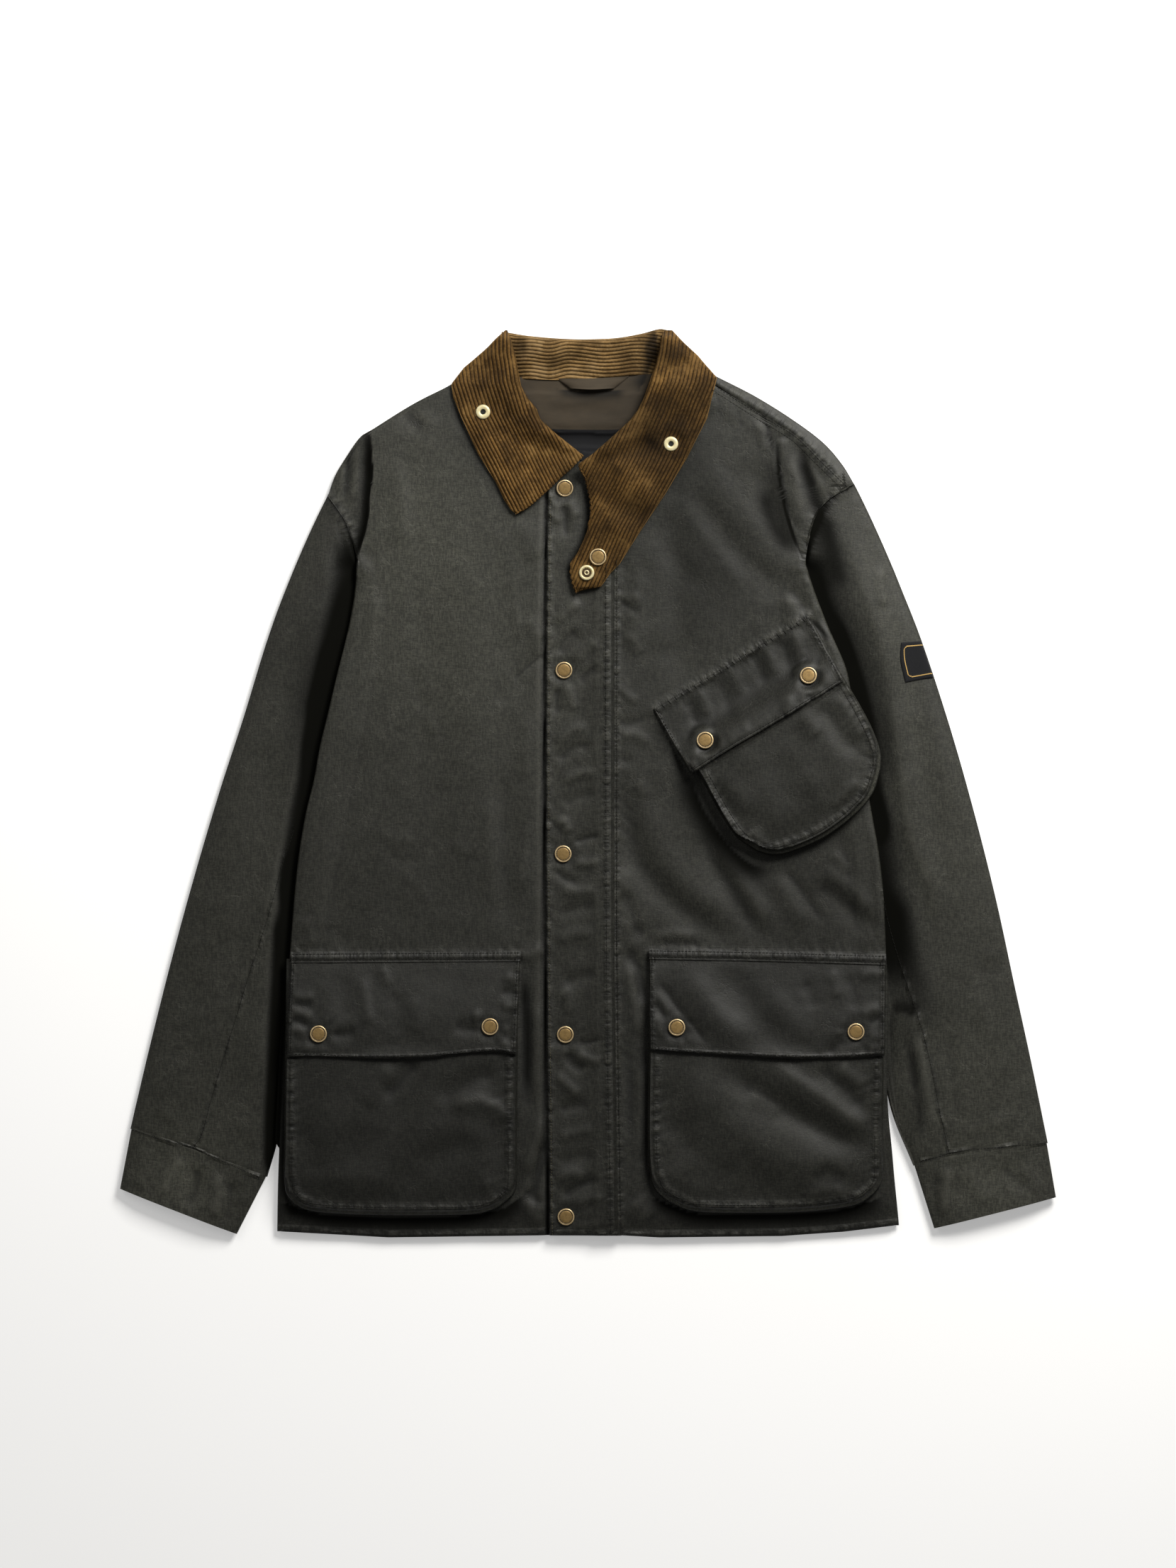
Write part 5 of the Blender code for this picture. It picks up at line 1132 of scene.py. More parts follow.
def makeFrontSide(side, part):
    ys = np.concatenate([np.arange(-398.0, 352.9, 2.3), [353.0]])
    if side == "left":
        outer = straightAt(curveList(bodyEdges["shoulderLeft"]) + curveList(bodyEdges["armholeLeft"])[1:]
                           + curveList(bodyEdges["sideLeft"])[1:], ys)
        inner = straightAt(bodyEdges["neckLeft"] + [(12.5, -402.0)], ys)
    else:
        outer = straightAt(curveList(bodyEdges["shoulderSeam"]) + curveList(bodyEdges["armholeRight"])[1:]
                           + curveList(bodyEdges["sideRight"])[1:], ys)
        inner = straightAt(bodyEdges["neckRight"] + [(10.0, -402.0)], ys)
    sign = 1.0 if side == "left" else -1.0
    sewn = ease(268, 262, ys) * ease(190, 205, ys)  # where the sleeve is sewn on there is no fold
    if side == "right":
        sewn = ease(190, 200, ys)
    curl = (part["curl"] * (1 - sewn) + 0.4 * sewn)[:, None]
    width = np.abs(inner - outer)
    fold = np.array(part["fold" + side.title()])[::-1]
    gap = np.clip(sign * (np.interp(ys, fold[:, 1], fold[:, 0]) - outer), 3.0, 40.0)
    folded = ease(fold[0, 1] - 12, fold[0, 1], ys) * ease(fold[-1, 1] + 4, fold[-1, 1] - 20, ys)
    gap = mix(9.0, gap, folded)[:, None]
    margins = np.hstack([gap * np.array(part["foldShares"]), gap + np.array(part["foldMargins"])])
    closure = part["closureMargins"]
    cells = int(width.max() / 3.0) - 18
    if side == "left":
        x = spread(outer + curl[:, 0], inner, margins, closure, cells)
    else:
        x = spread(inner, outer - curl[:, 0], closure, margins, cells)
    y = ys[:, None] + hemShift(x, ys[:, None]) + 0 * x
    rest = drape(7, 8)
    inward = np.abs(x - outer[:, None])
    low = part["rollWidth"]
    base = sampleGround(rest, x, y) + part["wall"] + 0.4
    loft = np.clip(part["plateau"] - base, 1.6, part["loft"]) * ease(-2, low, inward)
    loft *= (0.55 + 0.45 * ease(0, 24, ys[:, None] + 398.0)) * (1 - 0.5 * ease(300, 350, y))
    z = base + loft
    if side == "left":
        seamed = ease(186, 206, ys)[:, None] * ease(290, 268, ys)[:, None] * ease(60, 25, inward)
    else:
        seamed = ease(186, 206, ys)[:, None] * ease(60, 25, inward) * ease(362, 335, ys)[:, None]
    z = mix(z, 8.9 + 0.6 * ease(0, 24, inward), seamed)
    z += 0.9 * drift(x, y, 85, 61, 1.8, 0.2) + 0.32 * drift(x, y, 30, 62, 1.3, 0.7)
    z += 0.13 * drift(x, y, 11, 63, 1.0, 0.3)
    z += creaseSum(frontCreases, x, y) + puckerSum(frontPuckers, x, y)
    if side == "right":
        z += 1.6 * ease(60, 24, x)
    floor = sampleGround(swell(ground["height"], 2), x, y) + part["wall"] + 0.2
    z = np.maximum(z, floor * ease(0.62, 0.38, seamed))
    hemRise = 0.8 * ease(0, 3, ys[:, None] + 398.0)
    z += hemRise - 0.8
    # the rolled edge comes back under itself
    angles = np.radians([90, 112, 135, 158, 180, 202, 225, 248, 270])[None, :]
    column = 0 if side == "left" else -1
    topX, topY, topZ = x[:, column][:, None], y[:, column][:, None], z[:, column][:, None]
    base = sampleGround(ground["height"], topX, topY) + part["wall"] * 0.6
    centre, half = (topZ + base) / 2, np.maximum((topZ - base) / 2, 0.3)
    rollX = topX + sign * curl * np.cos(angles)
    rollZ = centre + half * np.sin(angles)
    rollY = topY + 0 * rollX
    upper = slice(8, None) if side == "left" else slice(0, -8)
    x, y, z = joinRoll((x, y, z), (rollX, rollY, rollZ), side == "left")
    clothPiece(f"front{side.title()}", x, y, z, part["wall"], "waxedBodyHemShaded", [f"front_{side}"])
    return x[:, upper], y[:, upper], z[:, upper]


def curveList(points):
    return [tuple(point) for point in curve(points, 5)]


laid = [makeFrontSide(side, fronts) for side in ("left", "right")]
for sheet in laid:
    layDown(*sheet)
print("fronts laid")


def makeShoulder(part):  # the strip beyond the right shoulder seam
    vs = np.linspace(0, 1, 70)
    sx, sy = alongLine(bodyEdges["shoulderSeam"], vs)
    ox, oy = alongLine(bodyEdges["shoulderRight"], vs)
    margins = np.concatenate([[-0.06, 0.03, 0.08], np.linspace(0.16, 0.8, 7)])
    x = sx[:, None] + (ox - sx)[:, None] * margins[None]
    y = sy[:, None] + (oy - sy)[:, None] * margins[None]
    meet = sampleGround(ground["height"], sx - 1.6, sy - 2.4)[:, None] + 0.15
    away = sampleGround(drape(4, 4), ox, oy)[:, None] + part["wall"] + 2.0
    z = mix(meet, np.minimum(away, meet), ease(0.2, 1, margins)[None])
    z += puckerSum([(0.5, 8, 6, 0.5, 0.3, 71, bodyEdges["shoulderSeam"])], x, y)
    z -= 0.25 * ease(0.07, -0.02, margins)[None]
    angles = np.radians([112, 135, 158, 180, 202, 225, 248, 270])[None, :]
    topZ, base = z[:, -1:], 2.2
    centre, half = (topZ + base) / 2, (topZ - base) / 2
    reach = np.stack([ox - x[:, -1], oy - y[:, -1]], 1)
    rollX = x[:, -1:] - reach[:, :1] * np.cos(angles)
    rollY = y[:, -1:] - reach[:, 1:] * np.cos(angles)
    rollZ = centre + half * np.sin(angles)
    x, y, z = np.hstack([x, rollX]), np.hstack([y, rollY]), np.hstack([z, rollZ])
    # painted shade: the strip made a little darker
    clothPiece("shoulderStrip", x, y, z, part["wall"], "waxedBodyHemShaded", ["shoulder_right"],
               {"rub": 0.4 * rubAndDipShadeMark(z), "shade": 0.95})
    layDown(x[:, :10], y[:, :10], z[:, :10])


makeShoulder({"wall": 1.4})

placket = {
    "wall": 1.5,
    "left": [(-35.3, 254.1), (-36.2, 190.9), (-36.9, 65.9), (-36.9, -90.3), (-35.6, -246.6),
        (-33.8, -398.4)],
    "right": [(26.2, 259.7), (26.2, 65.9), (26.2, -121.6), (27.5, -246.6), (29.4, -398.4)], "leftRow": 2.4,
    "rightRows": [(15.9, 197.2), (15.9, 65.9), (16.2, -121.6), (17.5, -246.6), (20, -398.4)],
}
placketCreases = [
    (1.4, 4.0, 4.8, [-18.8, 252.2, -15, 243.4, -9.4, 233.4]),
    (1.4, 4.0, 4.8, [-27.5, 250.3, -28.8, 239.7, -26.2, 228.4]),
    (-1.4, 4.0, 4.0, [-20.6, 248.4, -20, 234.7, -18.8, 215.9]),
    (1.5, 4.8, 5.6, [-28.1, 140.9, -18.8, 152.2, -5, 162.2]),
    (-1.8, 5.6, 6.4, [-27.5, 112.8, -17.5, 127.2, -6.2, 135.9]),
    (1.4, 4.8, 5.6, [-11.2, 106.6, -2.5, 119.1, 9.4, 128.4]),
    (-1.1, 4.0, 4.8, [-9.4, 87.8, 1.2, 98.4, 11.2, 103.4]),
    (1.2, 4.0, 4.8, [-20, 89.7, -15, 75.3, -11.2, 62.8]),
    (-1.1, 3.2, 4.0, [-26.2, 87.2, -27.5, 72.2, -25, 59.7]),
    (1.1, 4.8, 5.6, [-30, 34.7, -15, 47.2, 3.1, 49.7]),
    (-1.2, 4.8, 5.6, [-28.8, 19.1, -12.5, 31.6, 6.2, 34.7]),
    (1.2, 4.0, 4.8, [-25, 0.3, -9.4, 8.4, 9.4, 10.9]),
    (-0.8, 5.6, 5.6, [-25, -18.4, -9.4, -12.2, 9.4, -7.8]),
    (1.6, 4.0, 4.0, [-28.8, -37.2, -21.2, -32.8, -16.9, -45.3]),
    (-2.0, 3.2, 4.0, [-13.8, -51.6, -1.2, -47.8, 12.5, -45.3], "sharp"),
    (1.4, 4.0, 4.0, [-13.8, -68.4, -2.5, -70.3, 11.2, -66.6]),
    (-1.2, 4.0, 4.0, [-30, -72.8, -21.2, -82.8, -7.5, -87.8]),
    (1.4, 4.8, 5.6, [-25, -90.3, -9.4, -95.3, 9.4, -91.6]),
    (-1.1, 5.6, 6.4, [-28.1, -115.3, -11.2, -110.3, 9.4, -106.6]),
    (1.1, 5.6, 6.4, [-27.5, -140.3, -13.8, -132.8, 7.5, -131.6]),
    (-1.1, 5.6, 6.4, [-25, -174.7, -9.4, -171.6, 9.4, -165.3]),
    (1.1, 4.8, 5.6, [-26.2, -193.4, -18.8, -184.1, -15, -206.6]),
    (-2.0, 3.2, 4.0, [-11.2, -225.3, 1.2, -227.8, 13.8, -222.8], "sharp"),
    (1.6, 4.0, 4.8, [-11.2, -235.3, -1.2, -241.6, 12.5, -245.3]),
    (-1.8, 4.0, 4.8, [-18.8, -235.3, -13.8, -245.3, -2.5, -254.1]),
    (1.5, 4.8, 4.8, [-30, -254.1, -18.8, -265.3, -6.2, -276.6]),
    (-1.2, 5.6, 5.6, [-27.5, -287.2, -13.8, -284.1, 3.1, -282.8]),
    (1.1, 4.8, 5.6, [-28.1, -309.1, -15, -309.1, 6.2, -302.8]),
    (-1.1, 5.6, 6.4, [-28.8, -334.1, -12.5, -329.1, 9.4, -326.6]),
    (1.5, 5.6, 5.6, [-30, -349.7, -15, -343.4, 0, -346.6]),
    (-1.6, 4.8, 4.8, [-25, -365.3, -6.2, -354.1, 12.5, -347.8]),
    (1.2, 4.0, 4.0, [-11.2, -371.6, 1.2, -365.3, 15.6, -364.1]),
    (0.9, 4.0, 4.0, [-11.2, -387.2, 0, -390.3, 12.5, -385.3]),
    (0.9, 4.0, 4.0, [3.1, 190.9, 9.4, 183.4, 12.5, 172.2]),
    (-0.8, 4.0, 4.8, [3.1, 215.9, 7.5, 203.4, 12.5, 197.2]),
]


def makePlacket(part):
    ys = np.arange(-398.0, 292.1, 1.9)
    left, right = edgeAt(part["left"], ys), edgeAt(part["right"], ys)
    x = spread(left, right, [0, 0.5, 1.1, 1.8, 2.6, 3.6, 5], [0, 0.5, 1.2, 2.2, 3.4], 21)
    y = ys[:, None] + hemShift(x, ys[:, None]) + 0 * x
    z = sampleGround(drape(4, 4), x, y) + part["wall"] + 0.3
    inLeft, inRight = x - left[:, None], right[:, None] - x
    z -= 0.8 * ease(1.3, 0, inLeft) + 1.3 * ease(2.2, 0, inRight)
    z -= 0.5 * np.exp(-((inLeft - part["leftRow"]) / 0.8) ** 2)
    rowLine = curve(part["rightRows"], 4)
    z -= 0.5 * np.exp(-(toLine(rowLine, x, y)[0] / 0.9) ** 2)
    z += puckerSum([(0.75, 17, 7, 0.5, -1.1, 81, part["left"]), (0.4, 9, 3, 0.5, -0.8, 82, part["left"]),
                    (0.55, 6, 4.5, 5, 0.25, 83, part["rightRows"])], x, y)
    z += creaseSum(placketCreases, x, y) + 0.25 * drift(x, y, 18, 84)
    z = np.maximum(z, sampleGround(swell(ground["height"], 1), x, y) + 0.5)
    z = seatSnaps(metalSpots["placket"], x, y, z, 85)
    # painted light: the placket made a little lighter
    clothPiece("placketStrip", x, y, z, part["wall"], "waxedBodyHemShaded", ["placket"],
               {"shade": 1.04})
    layDown(x, y, z)


makePlacket(placket)
print("placket laid")

chestAxes = {"corner": (57.5, 65.9), "tilt": math.radians(31.5)}


def fromChest(along, down):
    corner, tilt = chestAxes["corner"], chestAxes["tilt"]
    return (corner[0] + along * math.cos(tilt) + down * math.sin(tilt),
            corner[1] + along * math.sin(tilt) - down * math.cos(tilt))


# shade and flapShade below are painted light and shade for each bag and flap
pockets = {
    "wall": 1.2, "flapWall": 1.5,
    "lowerLeft": {
        "left": [(-265.6, -154.1), (-266.2, -184.1), (-266.9, -246.6), (-267.8, -309.1), (-268.1, -340.3),
            (-266.2, -360.3), (-258.8, -370.3)],
        "bottom": [(-258.8, -370.3), (-248.8, -375.3), (-228.8, -378.4), (-181.2, -380.3), (-131.2, -380.3),
            (-98.8, -379.1), (-81.2, -374.1), (-71.2, -367.2)],
        "right": [(-61.9, -154.1), (-61.9, -184.1), (-61.9, -246.6), (-62.5, -309.1), (-62.5, -346.6),
            (-64.4, -359.7), (-71.2, -367.2)],
        "top": [(-266.2, -154.1), (-61.9, -154.1)], "skirt": 4.8, "puff": 3.0, "height": 6.0,
        "front": "left", "swellOver": 78.0, "cut": (0.24, 0.24, 0.048), "shade": 0.95, "flapShade": 0.90,
        "flap": {
            "top": [(-261.2, -148.4), (-162.5, -147.8), (-59.4, -147.2)],
            "left": [(-261.2, -148.4), (-263.1, -196.6), (-264.4, -240.3)],
            "bottom": [(-264.4, -240.3), (-237.5, -239.7), (-206.2, -241.6), (-143.8, -240.9),
                (-118.8, -238.4), (-85, -235.9), (-63.1, -238.4)],
            "right": [(-59.4, -147.2), (-61.2, -196.6), (-63.1, -238.4)],
        },
        "creases": [
            (-1.8, 6, 10, [-147.5, -241.6, -165, -261.6, -181.2, -279.1]),
            (1.6, 9, 12, [-168.8, -246.6, -185, -265.3, -198.8, -284.1]),
            (2.2, 6, 10, [-123.8, -285.3, -101.2, -279.1, -80, -285.3, -63.8, -297.8]),
            (-2.2, 10, 10, [-136.2, -281.6, -112.5, -265.3, -76.2, -251.6]),
            (1.2, 18, 20, [-225, -371.6, -168.8, -315.3, -118.8, -284.1]),
            (-1.2, 14, 18, [-175, -359.1, -143.8, -334.1, -87.5, -315.3]),
            (0.8, 16, 20, [-250, -309.1, -206.2, -290.3, -168.8, -296.6]),
            (-0.9, 16, 18, [-218.8, -334.1, -168.8, -321.6, -118.8, -334.1]),
            (1.2, 10, 14, [-243.8, -352.8, -206.2, -346.6, -168.8, -354.1]),
            (-1.0, 9, 9, [-256.2, -296.6, -246.2, -321.6, -237.5, -346.6]),
            (1.0, 5, 5, [-91.2, -346.6, -86.2, -359.1, -87.5, -370.3]),
            (0.9, 12, 10, [-143.8, -309.1, -112.5, -302.8, -81.2, -315.3]),
        ],
        "flapCreases": [
            (1.1, 4, 4, [-261.2, -184.1, -251.2, -187.8, -240, -185.3]),
            (-1.0, 4, 4, [-261.2, -191.6, -250, -195.3, -240, -194.1]),
            (1.3, 4, 4, [-261.9, -199.1, -251.2, -201.6, -241.2, -206.6]),
            (-1.1, 3, 4, [-262.5, -207.8, -253.8, -209.1, -246.2, -214.1]),
            (1.2, 4, 4, [-262.5, -215.3, -253.8, -216.6, -246.2, -220.3]),
            (0.9, 4, 4, [-262.5, -227.8, -252.5, -231.6, -241.2, -230.3]),
            (-1.4, 5, 6, [-226.2, -219.1, -216.2, -220.3, -203.1, -216.6]),
            (1.2, 5, 6, [-198.8, -166.6, -196.2, -190.3, -191.2, -215.3]),
            (0.9, 4, 5, [-183.8, -160.3, -178.1, -168.4, -175, -179.1]),
            (-0.8, 7, 8, [-212.5, -166.6, -215, -190.3, -211.2, -209.1]),
            (-1.6, 6, 7, [-96.2, -212.8, -106.2, -215.3, -118.8, -211.6]),
            (1.3, 4, 4, [-101.2, -199.1, -97.5, -205.3, -93.8, -209.1]),
            (1.2, 4, 5, [-73.8, -166.6, -67.5, -171.6, -60.6, -172.8]),
            (-1.0, 4, 4, [-77.5, -181.6, -70, -184.1, -61.2, -182.8]),
            (1.2, 4, 4, [-76.2, -196.6, -68.8, -195.3, -61.2, -197.8]),
            (1.3, 5, 5, [-77.5, -225.3, -71.2, -231.6, -63.8, -234.1]),
            (0.8, 8, 9, [-153.1, -184.1, -150, -202.8, -151.2, -222.8]),
            (-0.7, 9, 9, [-168.8, -180.9, -165.6, -202.8, -167.5, -224.7]),
        ],
        "bandPuckers": 91,
    },
    "lowerRight": {
        "left": [(53.8, -152.8), (53.8, -184.1), (53.1, -246.6), (52.5, -309.7), (54.4, -341.6),
            (58.8, -357.2), (67.5, -365.9)],
        "bottom": [(67.5, -365.9), (78.1, -371.6), (96.9, -377.2), (143.8, -378.4), (193.8, -377.2),
            (228.8, -372.8), (242.5, -368.4), (252.5, -360.9)],
        "right": [(260.6, -155.3), (260.6, -184.1), (260.6, -246.6), (260, -309.1), (260, -343.4),
            (257.5, -354.1), (252.5, -360.9)],
        "top": [(53.8, -152.8), (260.6, -155.3)], "skirt": 4.8, "puff": 3.0, "height": 6.0,
        "front": "right", "swellOver": 78.0, "cut": (0.24, 0.24, 0.048), "shade": 1.15, "flapShade": 0.87,
        "flap": {
            "top": [(53.8, -145.3), (156.2, -147.2), (262.5, -150.3)],
            "left": [(53.8, -145.3), (53.8, -190.3), (54.4, -234.1)],
            "bottom": [(54.4, -234.1), (101.2, -237.8), (153.8, -240.3), (206.9, -241.6), (261.2, -239.1)],
            "right": [(262.5, -150.3), (261.9, -190.3), (261.2, -239.1)],
        },
        "creases": [
            (3.2, 8, 15, [155, -244.1, 180, -259.1, 203.8, -275.3, 228.8, -292.8, 253.8, -312.8]),
            (-3.2, 12, 12, [112.5, -242.8, 143.8, -267.8, 171.2, -286.6, 206.2, -304.1, 255, -326.6]),
            (2.8, 22, 22, [76.2, -240.3, 102.5, -271.6, 133.8, -304.1, 178.8, -330.3, 237.5, -347.8]),
            (1.2, 5, 8, [138.8, -271.6, 156.2, -281.6, 171.2, -291.6]),
            (-1.0, 18, 14, [57.5, -259.1, 75, -296.6, 97.5, -334.1]),
            (-1.5, 7, 8, [200, -246.6, 218.8, -262.8, 233.8, -276.6, 245, -294.1]),
            (1.5, 6, 7, [218.8, -246.6, 231.2, -257.8, 246.2, -266.6]),
            (-1.2, 10, 12, [62.5, -284.1, 82.5, -309.1, 106.2, -334.1, 143.8, -354.1]),
            (1.1, 10, 10, [62.5, -334.1, 81.2, -351.6, 106.2, -365.3]),
            (-1.3, 6, 7, [193.8, -349.1, 211.2, -341.6, 231.2, -351.6]),
            (1.5, 6, 7, [187.5, -365.3, 210, -357.8, 237.5, -362.8]),
            (-1.0, 12, 12, [131.2, -321.6, 150, -346.6, 162.5, -365.3]),
        ],
        "flapCreases": [
            (-2.2, 4, 6, [60, -170.3, 70, -184.1, 82.5, -201.6, 96.2, -216.6, 107.5, -232.8], "sharp"),
            (2.2, 12, 13, [80, -162.8, 100, -184.1, 118.8, -209.1, 147.5, -235.3]),
            (-2.0, 12, 14, [112.5, -160.3, 133.8, -184.1, 152.5, -206.6, 175, -231.6]),
            (1.0, 4, 4, [57.5, -181.6, 66.2, -191.6, 71.2, -204.1]),
            (-1.2, 3, 4, [57.5, -191.6, 65, -200.3, 68.8, -211.6]),
            (1.1, 4, 4, [57.5, -202.8, 62.5, -212.8, 66.2, -225.3]),
            (1.0, 10, 12, [156.2, -184.1, 178.8, -206.6, 200, -229.1]),
            (-0.9, 7, 7, [191.2, -171.6, 195, -184.1, 200, -200.3]),
            (-0.9, 5, 6, [228.8, -166.6, 233.8, -184.1, 233.8, -201.6]),
            (1.0, 6, 6, [212.5, -162.8, 217.5, -176.6, 220, -190.3]),
            (1.2, 4, 5, [240, -205.3, 247.5, -199.1, 258.8, -196.6]),
            (-1.1, 4, 4, [245, -211.6, 252.5, -207.8, 260.6, -206.6]),
            (1.1, 4, 4, [245, -222.8, 252.5, -224.1, 260.6, -221.6]),
            (1.4, 4, 5, [245, -232.8, 252.5, -231.6, 260, -234.1]),
            (-1.5, 5, 5, [228.8, -222.8, 218.8, -230.3, 211.2, -240.3]),
            (1.1, 5, 6, [237.5, -169.1, 250, -166.6, 260.6, -169.1]),
        ],
        "bandPuckers": 92,
    },
}
# shade and flapShade below are painted light and shade for the bag and flap
chestPocket = {
    "left": [(3, 52), (4.2, 70), (3, 95), (2.4, 115), (4, 135), (12, 154)],
    "bottom": [(12, 154), (22, 164.5), (38, 171), (70, 175.5), (104, 172), (126, 164.5), (143, 150)],
    "right": [(157.5, 52), (157.5, 70), (157.3, 92), (155.5, 116), (151, 137), (143, 150)],
    "top": [(3, 52), (157, 52)], "skirt": 5.0, "puff": 3.2, "height": 11.5, "front": "right",
    "swellOver": 10.0, "cut": (0.18, 0.15, 0.021), "shade": 1.0, "flapShade": 0.90,
    "flap": {
        "top": [(0, 0), (80, 0.5), (160, 0)], "left": [(0, 0), (-1, 30), (-2, 66)],
        "bottom": [(-2, 66), (40, 65), (80, 66), (120, 66.5), (156, 66)],
        "right": [(160, 0), (158.5, 33), (156, 66)],
    },
    "creases": [
        (-1.6, 7, 9, [200, 75.3, 211.2, 59.7, 222.5, 40.9, 240.6, 23.4]),
        (1.6, 6, 7, [216.2, 81.6, 231.2, 59.7, 245, 35.9]),
        (-1.0, 3, 4, [233.8, 27.2, 243.8, 24.7, 255, 21.6], "sharp"),
        (1.3, 7, 8, [185, 63.4, 193.8, 53.4, 201.2, 39.7]),
        (1.4, 6, 7, [142.5, -39.1, 148.8, -47.8, 155, -57.8]),
        (-1.0, 8, 8, [106.2, 6.6, 118.8, -15.3, 136.2, -37.8]),
        (1.2, 10, 10, [115.6, 12.8, 131.2, -9.1, 147.5, -27.8]),
        (-0.9, 12, 12, [162.5, 28.4, 175, 3.4, 181.2, -27.8]),
        (1.0, 10, 10, [187.5, 15.9, 200, -2.8, 206.2, -27.8]),
        (1.2, 5, 5, [212.5, -21.6, 225, -9.1, 241.2, 4.7]),
    ],
    "flapCreases": [
        (1.7, 6, 7, [151.2, 133.4, 158.8, 114.7, 168.8, 89.7]),
        (-1.2, 6, 6, [142.5, 125.3, 150, 103.4, 158.8, 84.7]),
        (1.4, 5, 6, [180, 138.4, 185, 123.4, 190, 107.2]),
        (-1.2, 5, 5, [172.5, 128.4, 176.2, 109.7, 181.2, 94.1]),
        (1.2, 5, 6, [96.2, 85.9, 102.5, 72.2, 106.2, 57.2]),
        (-1.0, 5, 5, [86.2, 75.3, 92.5, 62.8, 96.2, 48.4]),
        (1.4, 5, 6, [173.8, 81.6, 176.2, 69.1, 178.8, 55.9]),
        (-1.2, 4, 4, [195, 81.6, 195, 72.2, 197.5, 64.7]),
        (1.0, 6, 6, [125, 104.7, 132.5, 87.8, 137.5, 75.3]),
        (-0.9, 6, 7, [113.8, 94.1, 122.5, 75.3, 128.8, 53.4]),
        (1.0, 5, 6, [205, 125.3, 212.5, 112.8, 218.8, 100.3]),
        (1.0, 6, 8, [118.8, 40.9, 131.2, 47.2, 143.8, 52.2]),
    ],
}


def turned(lines):  # a chest table in the body's own directions
    return [fromChest(*point) for point in lines]


def pocketLines(part, turn):
    lines = {key: (turned(part[key]) if turn else part[key]) for key in ("bottom", "right", "top", "left")}
    lines["left"], lines["right"] = lines["left"][::-1], lines["right"][::-1]
    return lines


def makeBag(name, part, shared, node, turn=None):
    lines = pocketLines(part, turn)
    margins = [0, 0.5, 1.2, 2.0, 3.0, 4.0, 4.9, 5.9, 7.2, 8.6, 10.2]
    us = graded(200.0, margins, 2.3)
    vs = graded(220.0 if not turn else 125.0, margins, 2.3)
    x, y = patch(lines["bottom"], lines["right"], lines["top"], lines["left"], us, vs)
    outline = np.vstack([curve(lines["left"][::-1], 6), curve(lines["bottom"], 6)[1:],
                         curve(lines["right"], 6)[1:]])
    inward = np.abs(toLine(outline, x, y)[0])
    bottomInward = np.abs(toLine(curve(lines["bottom"], 6), x, y)[0])
    skirt = 1.6 + (part["skirt"] - 1.6) * ease(26, 6, bottomInward)
    climb = np.clip(inward / skirt, 0, 1)
    height = part["height"] * (0.55 * ease(0, 0.22, climb) + 0.23 * climb + 0.22 * ease(0.84, 1.0, climb))
    inside = np.maximum(inward - skirt, 0)
    height += 0.15 * np.exp(-(inside / 1.0) ** 2) * ease(0.75, 1, climb)
    height -= 0.45 * np.exp(-((inside - 2.6) / 0.8) ** 2)
    height += part["puff"] * ease(3, 45, inside)
    topInward = np.abs(toLine(curve(lines["top"], 6), x, y)[0])
    height = 0.6 + (height - 0.6) * ease(-4, part["swellOver"], topInward) ** 0.9
    base = np.maximum(sampleGround(drape(12, 10), x, y), sampleGround(drape(3, 2), x, y))
    z = base + shared["wall"] + 0.2 + height
    calm = ease(0.5, 7, inside)
    z += calm * creaseSum(part["creases"], x, y) + ease(0, 3, inside) * (
        0.55 * drift(x, y, 42, 94) + 0.2 * drift(x, y, 16, 95))
    z += puckerSum([(0.85, 10, 0.1, 11, 0.4, 96, outline[::4]), (0.85, 10, 11, 0.1, 0.4, 96, outline[::4])],
                   x, y) * ease(-0.5, 2.5, inside - 1)
    rub = rubAndDipShadeMark(z) * (1 - 0.8 * ease(4.0, 1.5, inside))
    # painted light: the gusset walls made lighter where they face away from the light
    shade = 1 + 1.5 * ease(0.12, 0.4, climb) * ease(0.98, 0.7, climb) * ease(3, 6, skirt + 0 * climb)
    clothPiece(name, x, y, z, shared["wall"], "waxedPocketShaded", [node],
               {"rub": rub, "shade": part["shade"] * shade})
    layDown(x, y, z)


